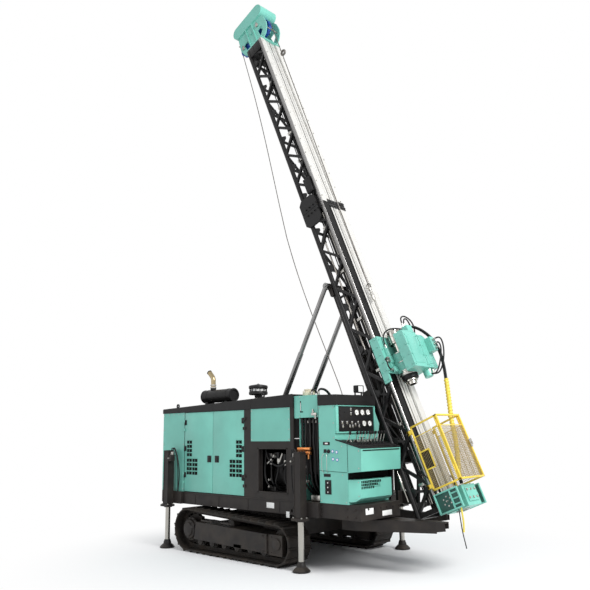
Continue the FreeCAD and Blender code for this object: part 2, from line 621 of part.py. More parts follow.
def desk_controls():
    """Lever bank on the sloping desk."""
    y0, y1 = 50 - FRAME_HALF_Y, CAB_Y1 - 35
    parts = [prism_y([(1250, 1558.0), (1540, 1485.5), (1540, 1505.5), (1250, 1578.0)], y0, y1)]
    for i in range(LEVERS):
        y = y0 + 40 + (y1 - y0 - 80) * i / (LEVERS - 1)
        foot = V(1430, y, 1520)
        tip = V(1460, y, 1640)
        parts.append(rod(foot, tip, 7))
        parts.append(rod(tip - V(4, 0, 16), tip + V(6, 0, 24), 15))
    return fuse(parts)


# ---------------------------------------------------------------- roof fittings
STACK_X, STACK_H = -1694.0, 290.0


def silencer():
    """Exhaust silencer lying on two saddles, with its bent stack."""
    y = 400 - FRAME_HALF_Y
    x0, x1 = -1895.0, -1180.0
    z = roof_z((x0 + x1) / 2) + 130
    body = rod(V(x0, y, z), V(x1, y, z), 105)
    ends = [rod(V(x0 - 15, y, z), V(x0, y, z), 80), rod(V(x1, y, z), V(x1 + 15, y, z), 80)]
    feet = [prism_y([(x - 20, roof_z(x - 20) + RUN_GAP), (x + 20, roof_z(x + 20) + RUN_GAP),
                     (x + 20, z - 60), (x - 20, z - 60)], y - 65, y + 65) for x in (x0 + 120, x1 - 120)]
    stack = rod(V(STACK_X, y, z), V(STACK_X, y, z + STACK_H), 34)
    bend = rod(V(STACK_X, y, z + STACK_H), V(STACK_X - 125, y, z + STACK_H + 125), 32)
    ball = Part.makeSphere(34, V(STACK_X, y, z + STACK_H))
    return fuse([body] + ends + feet + [stack, bend, ball])


def pre_cleaner():
    """Air pre-cleaner: bowl, clear band and thin dome on a short stem."""
    x, y = -624.0, 390 - FRAME_HALF_Y
    z = roof_z(x)
    outline = [V(0, 0, -10), V(45, 0, -10), V(45, 0, 62), V(112, 0, 80), V(135, 0, 100), V(135, 0, 142),
               V(120, 0, 148), V(120, 0, 190), V(142, 0, 196), V(142, 0, 212), V(90, 0, 244), V(0, 0, 254),
               V(0, 0, -10)]
    shape = Part.Face(Part.makePolygon(outline)).revolve(V(0, 0, 0), V(0, 0, 1), 360)
    shape.translate(V(x, y, z + 4))
    below = prism_y([(x - 90, 1900), (x + 90, 1900), (x + 90, roof_z(x + 90) + RUN_GAP),
                     (x - 90, roof_z(x - 90) + RUN_GAP)], y - 90, y + 90)
    return shape.cut(below)


def work_light():
    """Work light on the cabinet's cap."""
    x, y = 1178.0, -440.0
    z = cabinet_roof_z(x)
    lamp = box(x - 45, x + 45, y - 60, y + 60, z + 35, z + 130)
    foot = prism_y([(x - 15, cabinet_roof_z(x - 15)), (x + 15, cabinet_roof_z(x + 15)), (x + 15, z + 40),
                    (x - 15, z + 40)], y - 15, y + 15)
    return fuse([lamp, foot])


def filler_cap():
    """Breather cap on the filter box."""
    x, y, z = 600.0, 180 - FRAME_HALF_Y, FILTER_Z1 + RUN_GAP
    return fuse([rod(V(x, y, z), V(x, y, z + 45), 80), rod(V(x, y, z + 40), V(x, y, z + 80), 60)])


# ---------------------------------------------------------------- mast support
def tower():
    """Two posts that hold the mast's tilt pin."""
    y_in = MAST_HALF_W + 10
    y_out = y_in + 30
    outline = [(740, FRAME_Z1), (1055, FRAME_Z1), (PIVOT_X + 85, PIVOT_Z), (PIVOT_X + 60, PIVOT_Z + 60),
               (PIVOT_X, PIVOT_Z + 85), (PIVOT_X - 60, PIVOT_Z + 60), (PIVOT_X - 85, PIVOT_Z)]
    parts = []
    for s in (-1, 1):
        y0, y1 = sorted((MAST_Y + s * y_in, MAST_Y + s * y_out))
        parts.append(prism_y(outline, y0, y1))
        parts.append(box(745, 760, min(MAST_Y + s * 130, MAST_Y + s * y_out),
                         max(MAST_Y + s * 130, MAST_Y + s * y_out), FRAME_Z1, 1250))
    parts.append(box(745, 765, MAST_Y - y_out, MAST_Y + y_out, FRAME_Z1, 1250))
    bore = rod(V(PIVOT_X, MAST_Y - 400, PIVOT_Z), V(PIVOT_X, MAST_Y + 400, PIVOT_Z), PIVOT_R + RUN_GAP)
    return fuse(parts).cut(bore)


def carrier():
    """Slide frame behind the rear chords; the mast runs on it and it tilts on the tower."""
    parts = []
    e0, e1 = CARRIER_E0, 130.0
    for s in (-1, 1):
        y0, y1 = sorted((s * CARRIER_Y0, s * CARRIER_Y1))
        parts.append(box(e0, e1, y0, y1, CARRIER_T0, CARRIER_T1))
        shoe_y0, shoe_y1 = sorted((s * CARRIER_Y1, s * (MAST_HALF_W)))
        for t in (CARRIER_T0 + 60, 0.0, CARRIER_T1 - 150):
            parts.append(box(e0 + 20, CHORD_E - CHORD_R - RUN_GAP, shoe_y0 - 5, shoe_y1, t - 60, t + 60))
        for t in (CARRIER_T0 + 60, CARRIER_T1 - 150):
            hook0, hook1 = sorted((s * (MAST_HALF_W - 2 * CHORD_R - 16), s * (MAST_HALF_W - 2 * CHORD_R - 2)))
            parts.append(box(e1 - 5, CHORD_E - 23, hook0, hook1, t - 60, t + 60))
    parts.append(box(e0, e0 + 70, -CARRIER_Y1, CARRIER_Y1, CARRIER_T0, CARRIER_T0 + 60).cut(
        rod(V(DUMP_E, 0, CARRIER_T0 - 1), V(DUMP_E, 0, CARRIER_T0 + 61), DUMP_ROD_R + SIDE_GAP)))
    for t in (420.0, 1000.0, 1500.0):
        parts.append(box(e0, e0 + 50, -CARRIER_Y1, CARRIER_Y1, t - 30, t + 30))
    parts.append(box(e0, e1, -MAST_HALF_W - 8, MAST_HALF_W + 8, STAY_PIN_T - 35, STAY_PIN_T + 35))
    pivot = rod(V(0, -MAST_HALF_W - 4, 0), V(0, MAST_HALF_W + 4, 0), 80)
    cheek = [box(-20, e1, s * 160 - 15, s * 160 + 15, -150, 150) for s in (-1, 1)]
    pin = rod(V(0, -MAST_HALF_W - 48, 0), V(0, MAST_HALF_W + 48, 0), PIVOT_R)
    return fuse(parts + [pivot, pin] + cheek)


def stay_axis():
    foot = V(STAY_FOOT_X, 0, STAY_FOOT_Z)
    pin = mast_point(STAY_PIN_E, 0, STAY_PIN_T)
    pin.y = 0
    return foot, pin


STAY_BARREL_R, STAY_MID_R, STAY_ROD_R = 50.0, 40.0, 33.0
STAY_PIN_R = 25.0
STAY_TRAVEL = 950.0        # of each stage, from rest down to transport
STAY_BARREL_L = 1400.0


def stay_pieces(side):
    """Barrel, middle stage and rod of one raising cylinder."""
    foot, pin = stay_axis()
    y = MAST_Y + side * STAY_Y
    foot.y = y
    pin.y = y
    length = (pin - foot).Length
    d = (pin - foot).normalize()

    def at(w):
        return foot + d * w

    barrel = pipe(at(60), at(STAY_BARREL_L), STAY_BARREL_R, STAY_MID_R + RUN_GAP)
    plug = rod(at(40), at(90), STAY_BARREL_R - 5)
    eye = rod(foot - V(0, 40, 0), foot + V(0, 40, 0), 55)
    pin_b = rod(foot - V(0, 72, 0), foot + V(0, 72, 0), STAY_PIN_R)
    barrel = fuse([barrel, plug, eye, pin_b])
    mid0 = 95.0 + STAY_TRAVEL
    mid = pipe(at(mid0), at(mid0 + STAY_BARREL_L - 30), STAY_MID_R, STAY_ROD_R + RUN_GAP)
    rod0 = 100.0 + 2 * STAY_TRAVEL
    top = rod(at(rod0), at(length - 30), STAY_ROD_R)
    eye_t = rod(pin - V(0, 22, 0), pin + V(0, 22, 0), 45)
    pin_t = rod(pin - V(0, 36, 0), pin + V(0, 36, 0), 22)
    top = fuse([top, eye_t, pin_t])
    return barrel, mid, top


def stay_feet(frame):
    """Ears under the deck that hold the raising cylinders' lower pins, and the slots above them."""
    ears, cuts = [], []
    for s in (-1, 1):
        yc = MAST_Y + s * STAY_Y
        cuts.append(box(STAY_FOOT_X - 75, STAY_FOOT_X + 175, yc - 56, yc + 56, FRAME_Z1 - 40, FRAME_Z1 + 1))
        for off in (-72, 56):
            ears.append(box(STAY_FOOT_X - 90, STAY_FOOT_X + 90, yc + off, yc + off + 16, FRAME_Z0,
                            FRAME_Z1 - DECK_T))
        cuts.append(rod(V(STAY_FOOT_X, yc - 90, STAY_FOOT_Z), V(STAY_FOOT_X, yc + 90, STAY_FOOT_Z),
                        STAY_PIN_R + RUN_GAP))
    return cut(fuse([frame] + ears), cuts)


def winch_drum(x, z, half, r, flange):
    y = MAST_Y
    core = rod(V(x, y - half, z), V(x, y + half, z), r)
    rims = [rod(V(x, y + s * half - 6, z), V(x, y + s * half + 6, z), flange) for s in (-1, 1)]
    shaft = rod(V(x, y - half - 40, z), V(x, y + half + 40, z), 22)
    return fuse([core, shaft] + rims)


WIRE_X, WIRE_Z = 560.0, 1560.0
HOIST_X, HOIST_Z = 180.0, 1120.0


def winch_frame():
    parts = []
    for x, z, half in ((WIRE_X, WIRE_Z, 150.0), (HOIST_X, HOIST_Z, 170.0)):
        for s in (-1, 1):
            y0, y1 = sorted((MAST_Y + s * (half + 14), MAST_Y + s * (half + 34)))
            foot, top = FRAME_Z1, z + 60
            plate = prism_y([(x - 150, foot), (x + 150, foot), (x + 70, top), (x - 70, top)], y0, y1)
            plate = plate.cut(rod(V(x, y0 - 1, z), V(x, y1 + 1, z), 22 + RUN_GAP))
            parts.append(plate)
    tie = [box(WIRE_X - 20, WIRE_X + 20, MAST_Y - 180, MAST_Y + 180, 1100, 1140),
           box(HOIST_X - 20, HOIST_X + 20, MAST_Y - 200, MAST_Y + 200, 840, 870)]
    return fuse(parts + tie)


# ---------------------------------------------------------------- mast
def lattice(t0, t1):
    """Truss between t0 and t1: two round rear chords, two front rails, W bracing."""
    yc = MAST_HALF_W - CHORD_R
    parts = []
    rail_c = (RAIL_E0 + RAIL_E1) / 2 - 10
    for s in (-1, 1):
        parts.append(rod(V(CHORD_E, s * yc, t0), V(CHORD_E, s * yc, t1), CHORD_R))
        parts.append(box(RAIL_E0, RAIL_E1 - FACE_T, *sorted((s * RAIL_Y0, s * MAST_HALF_W)), t0, t1))
    count = max(1, int(round((t1 - t0) / BAY_PITCH)))
    pitch = (t1 - t0) / count
    rear, front = CHORD_E, RAIL_E0 + 15
    for i in range(count):
        a = t0 + i * pitch
        low = a + (BRACE if i == 0 else 0)
        high = a + pitch - (BRACE if i == count - 1 else 0)
        mid = a + pitch / 2
        for s in (-1, 1):
            y = s * yc
            parts.append(beam(V(rear, y, low), V(front, y, mid), BRACE, BRACE, V(0, 1, 0)))
            parts.append(beam(V(front, y, mid), V(rear, y, high), BRACE, BRACE, V(0, 1, 0)))
        flip = 1 if i % 2 == 0 else -1
        parts.append(beam(V(rear, -flip * yc, low), V(rear, flip * yc, high), BRACE - 6, BRACE - 6, V(1, 0, 0)))
        parts.append(box(rear - 16, rear + 16, -yc, yc, mid - 16, mid + 16))
    for t in (t0 + 30, t1 - 30):
        for s in (-1, 1):
            parts.append(box(rear, front, s * yc - BRACE / 2, s * yc + BRACE / 2, t - 30, t + 30))
        parts.append(box(rear - 25, rear + 25, -yc, yc, t - 30, t + 30))
        cross_y = RAIL_Y0 + 10
        parts.append(box(RAIL_E0 + 5, RAIL_E1 - FACE_STEP - FACE_T, -cross_y, cross_y, t - 30, t + 30))
    return fuse(parts)


def face_plate(t0, t1):
    """Pale pressed slide face: it caps both front rails and steps back between them."""
    inner_y, web_y = RAIL_Y0 - FACE_T, RAIL_Y0 - 0.5
    floor_e = RAIL_E1 - FACE_STEP
    parts = [box(floor_e - FACE_T, floor_e, -web_y, web_y, t0 + 1, t1 - 1)]
    for s in (-1, 1):
        cap0, cap1 = sorted((s * inner_y, s * MAST_HALF_W))
        parts.append(box(RAIL_E1 - FACE_T, RAIL_E1, cap0, cap1, t0 + 1, t1 - 1))
        web0, web1 = sorted((s * inner_y, s * web_y))
        parts.append(box(floor_e - FACE_T, RAIL_E1, web0, web1, t0 + 1, t1 - 1))
    return fuse(parts)


def fold_plates():
    """Hinge lugs on the far side and locking plates on the near side of the fold."""
    low, high = [], []
    y = MAST_HALF_W
    for shapes, t0, t1 in ((low, FOLD_T - 260, FOLD_T - SECTION_GAP / 2),
                           (high, FOLD_T + SECTION_GAP / 2, FOLD_T + 240)):
        edge = t1 if shapes is low else t0
        end = t0 if shapes is low else t1
        lean = 60 if shapes is low else -60
        front = RAIL_E0 - 45
        plate = prism_y([(CHORD_E - 75, edge), (CHORD_E - 75, end + lean), (CHORD_E - 20, end),
                         (front - 60, end), (front, end + lean), (front, edge)], -y - 14, -y + 20)
        shapes.append(plate)
        shapes.append(mirror_y(plate))
        sign = 1 if shapes is high else -1
        lug = [(y - 5, FOLD_T + sign * 190), (y - 5, FOLD_T + sign * 4), (FOLD_Y, FOLD_T + sign * 4),
               (FOLD_Y + FOLD_R - 2, FOLD_T + sign * 4), (FOLD_Y + FOLD_R - 2, FOLD_T + sign * 40)]
        for e0 in (FOLD_E0, FOLD_E0 + 210):
            e_low = e0 if shapes is low else e0 + FOLD_LUG + RUN_GAP
            e_high = e_low + FOLD_LUG
            arm = polygon_face([V(e_low, a, b) for a, b in lug]).extrude(V(FOLD_LUG, 0, 0))
            knuckle = rod(V(e_low, FOLD_Y, FOLD_T), V(e_high, FOLD_Y, FOLD_T), FOLD_R)
            pin = rod(V(e0 - 8, FOLD_Y, FOLD_T), V(e0 + FOLD_LUG + 20, FOLD_Y, FOLD_T), FOLD_PIN_R)
            if shapes is low:
                bore = rod(V(e0 - 1, FOLD_Y, FOLD_T), V(e_high + 1, FOLD_Y, FOLD_T), FOLD_PIN_R + RUN_GAP)
                shapes += [arm.fuse(knuckle).cut(bore)]
            else:
                shapes += [arm, knuckle, pin]
    return low, high


# e, y, height over the crown base and radius of the front and rear sheaves
SHEAVES = ((520.0, 0.0, 350.0, 165.0), (80.0, -90.0, 200.0, 120.0))
SHEAVE_PIN_R = 24.0
SHEAVE_RIM_W, SHEAVE_HUB_W, SHEAVE_WEB_T, ROPE_GROOVE = 68.0, 60.0, 28.0, 24.0
CHEEK_Y, CHEEK_T = 150.0, 18.0
TOP_BAR_E0, TOP_BAR_E1, TOP_BAR_R = 80.0, 620.0, 120.0     # end centres and end radius of the top bar
TOP_BAR_H = 610.0
RIB_E, RIB_W, RIB_HIGH = (245.0, 405.0), 16.0, 22.0


def stadium(e0, e1, t, r, y0, y1):
    """Round-ended bar along e, between two planes across the mast."""
    ends = [rod(V(e, y0, t), V(e, y1, t), r) for e in (e0, e1)]
    return fuse(ends + [box(e0, e1, y0, y1, t - r, t + r)])


def crown_head():
    """Crown head: ribbed cheek plates round the sheaves under a thick round-ended top bar."""
    t = MAST_T1
    bar_t = t + TOP_BAR_H
    outline = [(85, t), (560, t), (634, t + 40), (700, t + 140), (722, t + 240), (705, t + 380), (655, t + 470),
               (560, t + 540), (60, t + 540), (20, t + 440), (0, t + 210), (40, t + 80)]
    rear_window = [(105, t + 250), (215, t + 270), (228, t + 70), (140, t + 95)]
    front_window = [(487, t + 245), (600, t + 265), (606, t + 170), (510, t + 85)]
    parts = [box(145, 560, -MAST_HALF_W, MAST_HALF_W, t - 14, t + 16)]
    for s in (-1, 1):
        y0, y1 = sorted((s * CHEEK_Y, s * (CHEEK_Y + CHEEK_T)))
        cheek = prism_y(outline, y0, y1)
        parts.append(cut(cheek, [prism_y(w, y0 - 1, y1 + 1) for w in (rear_window, front_window)]))
        rib0, rib1 = sorted((s * (CHEEK_Y + CHEEK_T - 1), s * (CHEEK_Y + CHEEK_T + RIB_HIGH)))
        parts += [box(e, e + RIB_W, rib0, rib1, t + 5, bar_t - TOP_BAR_R / 2) for e in RIB_E]
        boss0, boss1 = sorted((s * CHEEK_Y, s * (CHEEK_Y + CHEEK_T + 14)))
        parts.append(rod(V(335, boss0, t + 330), V(335, boss1, t + 330), 26))
    bar_y = CHEEK_Y + CHEEK_T + RIB_HIGH
    bar = stadium(TOP_BAR_E0, TOP_BAR_E1, bar_t, TOP_BAR_R, -bar_y, bar_y)
    hollow = stadium(TOP_BAR_E0, TOP_BAR_E1, bar_t, TOP_BAR_R - 12, 10 - CHEEK_Y, CHEEK_Y - 10)
    mouth = box(TOP_BAR_E0, TOP_BAR_E1, 10 - CHEEK_Y, CHEEK_Y - 10, bar_t - TOP_BAR_R - 1, bar_t)
    parts.append(cut(bar, [hollow, mouth]))
    for e, y, h, r in SHEAVES:
        parts.append(rod(V(e, -CHEEK_Y - 28, t + h), V(e, CHEEK_Y + 28, t + h), SHEAVE_PIN_R))
    return fuse(parts)


def sheave(e, y, h, r):
    """Rope sheave with a grooved rim, bored for its pin."""
    rim, web, hub = SHEAVE_RIM_W / 2, SHEAVE_WEB_T / 2, SHEAVE_HUB_W / 2
    bore = SHEAVE_PIN_R + RUN_GAP
    half = [(bore, hub), (50, hub), (60, web), (r - 40, web), (r - 8, rim), (r, rim)]
    pts = [V(radius, 0, -side) for radius, side in half]
    pts.append(V(r - ROPE_GROOVE, 0, 0))
    pts += [V(radius, 0, side) for radius, side in reversed(half)]
    wheel = Part.Face(Part.makePolygon(pts + pts[:1])).revolve(V(0, 0, 0), V(0, 0, 1), 360)
    wheel.rotate(V(0, 0, 0), V(1, 0, 0), 90)
    wheel.translate(V(e, y, MAST_T1 + h))
    return wheel


def feed_cylinder():
    """Feed cylinder tube inside the truss, from the foot to the fold."""
    e, y = 385.0, -120.0
    tube = rod(V(e, y, MAST_T0 + 120), V(e, y, FOLD_T - 120), 42)
    caps = [rod(V(e, y, t), V(e, y, t + 90), 52) for t in (MAST_T0 + 120, FOLD_T - 210)]
    levels = (MAST_T0 + 165, 500.0, FOLD_T - 165)
    clamps = [box(e + 20, RAIL_E0, y - 30, y + 30, t - 25, t + 25) for t in levels]
    return fuse([tube] + caps + clamps)


def dump_cylinder():
    """Barrel on the carrier and rod on the mast that slide the mast along the carrier."""
    e = DUMP_E
    barrel = pipe(V(e, 0, -380), V(e, 0, 900), 38, DUMP_ROD_R + RUN_GAP)
    base = box(e - 35, e + 35, -40, 40, DUMP_BORE_T1, 1030)
    piston = rod(V(e, 0, -1440), V(e, 0, 260), DUMP_ROD_R)
    foot = box(e - 30, CHORD_E + 10, -35, 35, -1500, -1430)
    bar = box(CHORD_E - 20, CHORD_E + 20, -MAST_HALF_W + CHORD_R, MAST_HALF_W - CHORD_R, -1490, -1440)
    return fuse([barrel, base]), fuse([piston, foot, bar])


# ---------------------------------------------------------------- rotation head
HEAD_T0 = 150.0            # level that the head is laid out from
HEAD_E0 = RAIL_E1 + 60.3   # back of the head, on its carriage
SPINDLE_R, CHUCK_R, COLLAR_R, ROD_BORE_R = 62.0, 92.0, 110.0, 48.0
SPINDLE_T0, SPINDLE_T1 = HEAD_T0 - 190, HEAD_T0 + 590


def head_carriage():
    """Plate that runs on the front rails and holds the head."""
    e0 = RAIL_E1 + RUN_GAP
    t0, t1 = HEAD_T0 - 90, HEAD_T0 + 560
    plate = box(e0, e0 + 30, -262, 262, HEAD_T0 + 20, t1)
    grips = []
    for s in (-1, 1):
        y0, y1 = sorted((s * (MAST_HALF_W + RUN_GAP), s * 262))
        grips.append(box(RAIL_E0 - 30, e0 + 5, y0, y1, t0, t1))
        y2, y3 = sorted((s * (MAST_HALF_W - CHORD_R + BRACE / 2 + SIDE_GAP), s * 262))
        for t in (HEAD_T0 + 20, HEAD_T0 + 430):
            grips.append(box(RAIL_E0 - 30, RAIL_E0 - RUN_GAP - 1, y2, y3, t, t + 130))
    arm_plate = box(e0 + 29, HEAD_E0, -200, 200, HEAD_T0 + 10, HEAD_T0 + 390)
    return fuse([plate, arm_plate] + grips)


BARREL_R = 112.0
COVER_E0, COVER_E1 = 800.0, 950.0
COVER_Y0, COVER_Y1, COVER_SPLIT = -210.0, 322.0, 100.0
BEARING_T0, BEARING_T1 = HEAD_T0 - 10, HEAD_T0 + 270


def rotation_head():
    """Bearing barrel round the spindle, gearbox behind it and faceted covers in front."""
    e, t = DRILL_E, HEAD_T0
    front = box(HEAD_E0, e + BARREL_R, -BARREL_R, BARREL_R, BEARING_T0, BEARING_T1)
    barrel = rod(V(e, 0, BEARING_T0), V(e, 0, BEARING_T1), BARREL_R).common(front)
    saddle = box(HEAD_E0, e, -BARREL_R, BARREL_R, BEARING_T0, BEARING_T1)
    gearbox = box(HEAD_E0, COVER_E0 + 1, COVER_SPLIT + 10, COVER_Y1 - 22, t - 20, t + 440)
    shoulder = box(e, e + 80, 0, COVER_SPLIT + 40, BEARING_T0 + 20, BEARING_T1 - 20)
    outline = [(COVER_Y0, t - 60), (COVER_Y0, t + 470), (COVER_SPLIT, t + 500), (COVER_SPLIT, t + 420),
               (228, t + 420), (COVER_Y1, t + 350), (COVER_Y1, t - 65), (COVER_SPLIT, t - 65)]
    cover = polygon_face([V(COVER_E0, y, h) for y, h in outline]).extrude(V(COVER_E1 - COVER_E0, 0, 0))
    bevel = prism_y([(COVER_E1 - 45, t + 520), (COVER_E1 + 1, t + 440), (COVER_E1 + 1, t + 520)], COVER_Y0 - 1,
                    COVER_Y1 + 1)
    groove = box(COVER_E1 - 6, COVER_E1 + 1, COVER_SPLIT - 5, COVER_SPLIT + 5, t - 70, t + 500)
    motor_block = box(COVER_E1 - 1, COVER_E1 + 100, 228, COVER_Y1 - 4, t + 150, t + 350)
    valve_block = box(COVER_E1 - 100, COVER_E1 - 20, -20, COVER_SPLIT, t + 489, t + 570)
    valve_neck = box(COVER_E0, COVER_E1 - 20, -20, COVER_SPLIT - 10, t + 450, t + 500)
    low_motor = rod(V(COVER_E0 + 60, 160, t - 160), V(COVER_E0 + 60, 160, t - 60), 58)
    shape = fuse([barrel, saddle, shoulder, gearbox, cut(cover, [bevel, groove]), motor_block, valve_block,
                  valve_neck, low_motor])
    spindle_room = rod(V(e, 0, BEARING_T1), V(e, 0, t + 900), CHUCK_R + SIDE_GAP - 2)
    return cut(shape, [rod(V(e, 0, t - 100), V(e, 0, t + 900), SPINDLE_R + RUN_GAP), spindle_room])


def spindle():
    """Hollow spindle with its chuck above and its collar below; it turns in the head."""
    e, t = DRILL_E, HEAD_T0
    tube = rod(V(e, 0, SPINDLE_T0), V(e, 0, SPINDLE_T1), SPINDLE_R)
    chuck = rod(V(e, 0, t + 410), V(e, 0, SPINDLE_T1), CHUCK_R)
    flange = rod(V(e, 0, t - 62), V(e, 0, BEARING_T0 - RUN_GAP), COLLAR_R)
    hexagon = rod(V(e, 0, t - 150), V(e, 0, t - 60), 85)
    bore = rod(V(e, 0, SPINDLE_T0 - 1), V(e, 0, SPINDLE_T1 + 1), ROD_BORE_R)
    return fuse([tube, chuck, flange, hexagon]).cut(bore)


# ---------------------------------------------------------------- guard and foot clamp
GUARD_T0, GUARD_T1 = -1411.0, -591.0
GUARD_E1 = 990.0
GUARD_HALF = 275.0
GUARD_BAR = 28.0
CLAMP_T0, CLAMP_T1 = -1700.0, -1450.0
CLAMP_E1, CLAMP_HALF = DRILL_E + 190.0, 150.0
CLAMP_JAW_Y, CLAMP_FINS, CLAMP_BORE_R = 245.0, 4, 62.0


def frame_panel(e0, e1, t0, t1, y0, y1, bars_t, bars_e):
    """Flat frame of square bars in the e-t plane, with cross bars."""
    b = GUARD_BAR
    parts = [box(e0, e1, y0, y1, t0, t0 + b), box(e0, e1, y0, y1, t1 - b, t1),
             box(e0, e0 + b, y0, y1, t0, t1), box(e1 - b, e1, y0, y1, t0, t1)]
    parts += [box(e0, e1, y0, y1, t - b / 2, t + b / 2) for t in bars_t]
    parts += [box(e - b / 2, e + b / 2, y0, y1, t0, t1) for e in bars_e]
    return parts


GUARD_E0 = RAIL_E1 + 12.0
GATE_E0 = GUARD_E1 - GUARD_BAR
GATE_HINGE_E, GATE_HINGE_Y = GATE_E0 - 4.0, -GUARD_HALF - 8.0
GATE_KNUCKLE_R, GATE_PIN_R = 8.0, 4.5
GATE_KNUCKLES = (-1300.0, -740.0)
GATE_KNUCKLE_L = 40.0


def guard_side(side):
    """Fixed side panel of the rod guard, on two arms from the front rail."""
    b = GUARD_BAR
    y0, y1 = sorted((side * GUARD_HALF, side * (GUARD_HALF - b)))
    parts = frame_panel(GUARD_E0, GATE_E0 - 2, GUARD_T0, GUARD_T1, y0, y1, (-1130, -860), (700,))
    y2, y3 = sorted((side * GUARD_HALF, side * MAST_HALF_W))
    for t in (GUARD_T0 + 40, GUARD_T1 - 90):
        parts.append(box(RAIL_E0 + 20, GUARD_E0 + 5, y0, y1, t, t + 50))
        parts.append(box(RAIL_E0 + 20, RAIL_E0 + 50, y2, y3, t, t + 50))
    if side > 0:
        return fuse(parts)
    knuckles = []
    for t in GATE_KNUCKLES:
        axis = (V(GATE_HINGE_E, GATE_HINGE_Y, t), V(GATE_HINGE_E, GATE_HINGE_Y, t + GATE_KNUCKLE_L))
        tab = box(GATE_HINGE_E - 30, GATE_HINGE_E, GATE_HINGE_Y - 5, -GUARD_HALF + 1, t, t + GATE_KNUCKLE_L)
        bore = rod(axis[0] - V(0, 0, 1), axis[1] + V(0, 0, 1), GATE_PIN_R + RUN_GAP)
        knuckles.append(rod(*axis, GATE_KNUCKLE_R).fuse(tab).cut(bore))
    return fuse(parts + knuckles)


def guard_gate():
    """Front panel of the rod guard, hinged on the near side panel."""
    b = GUARD_BAR
    y = GUARD_HALF
    parts = []
    for t0, t1 in ((GUARD_T0, GUARD_T0 + b), (GUARD_T1 - b, GUARD_T1)):
        parts.append(box(GATE_E0, GUARD_E1, -y, y, t0, t1))
    for yy in (-y, -b / 2, y - b):
        parts.append(box(GATE_E0, GUARD_E1, yy, yy + b, GUARD_T0, GUARD_T1))
    mesh_e = GATE_E0 + b / 2
    parts.append(box(mesh_e - 2, mesh_e + 2, 5 - y, y - 5, GUARD_T0 + 5, GUARD_T1 - 5))
    for t in GATE_KNUCKLES:
        t0 = t + GATE_KNUCKLE_L + RUN_GAP
        foot = V(GATE_HINGE_E, GATE_HINGE_Y, t0)
        parts.append(rod(foot, foot + V(0, 0, GATE_KNUCKLE_L), GATE_KNUCKLE_R))
        parts.append(rod(V(GATE_HINGE_E, GATE_HINGE_Y, t - 5), foot + V(0, 0, 1), GATE_PIN_R))
        parts.append(box(GATE_HINGE_E, GATE_E0 + 12, GATE_HINGE_Y - 5, -1 - y, t0, t0 + GATE_KNUCKLE_L))
        parts.append(box(GATE_E0, GATE_E0 + 12, GATE_HINGE_Y - 5, 3 - y, t0, t0 + GATE_KNUCKLE_L))
    return fuse(parts)


def foot_clamp():
    """Rod clamp at the foot: a bored block with finned jaw cylinders on both sides."""
    e, t0, t1 = DRILL_E, CLAMP_T0, CLAMP_T1
    mid = (t0 + t1) / 2
    body = box(RAIL_E1, CLAMP_E1, -CLAMP_HALF, CLAMP_HALF, t0, t1)
    jaws = rod(V(e, -CLAMP_JAW_Y, mid), V(e, CLAMP_JAW_Y, mid), 85)
    parts = [body, jaws]
    for s in (-1, 1):
        for k in range(CLAMP_FINS):
            y = CLAMP_HALF + 14 + 24 * k
            y0, y1 = sorted((s * y, s * (y + 9)))
            parts.append(box(e - 92, e + 120, y0, y1, t0 + 18, t1 - 18))
    cap = rod(V(CLAMP_E1 - 90, CLAMP_HALF - 1, mid), V(CLAMP_E1 - 90, CLAMP_HALF + 60, mid), 62)
    lid = box(CLAMP_E1 - 1, CLAMP_E1 + 14, 40 - CLAMP_HALF, CLAMP_HALF - 40, t0 + 50, t1 - 40)
    shape = fuse(parts + [cap, lid])
    return shape.cut(rod(V(e, 0, t0 - 10), V(e, 0, t1 + 10), CLAMP_BORE_R))


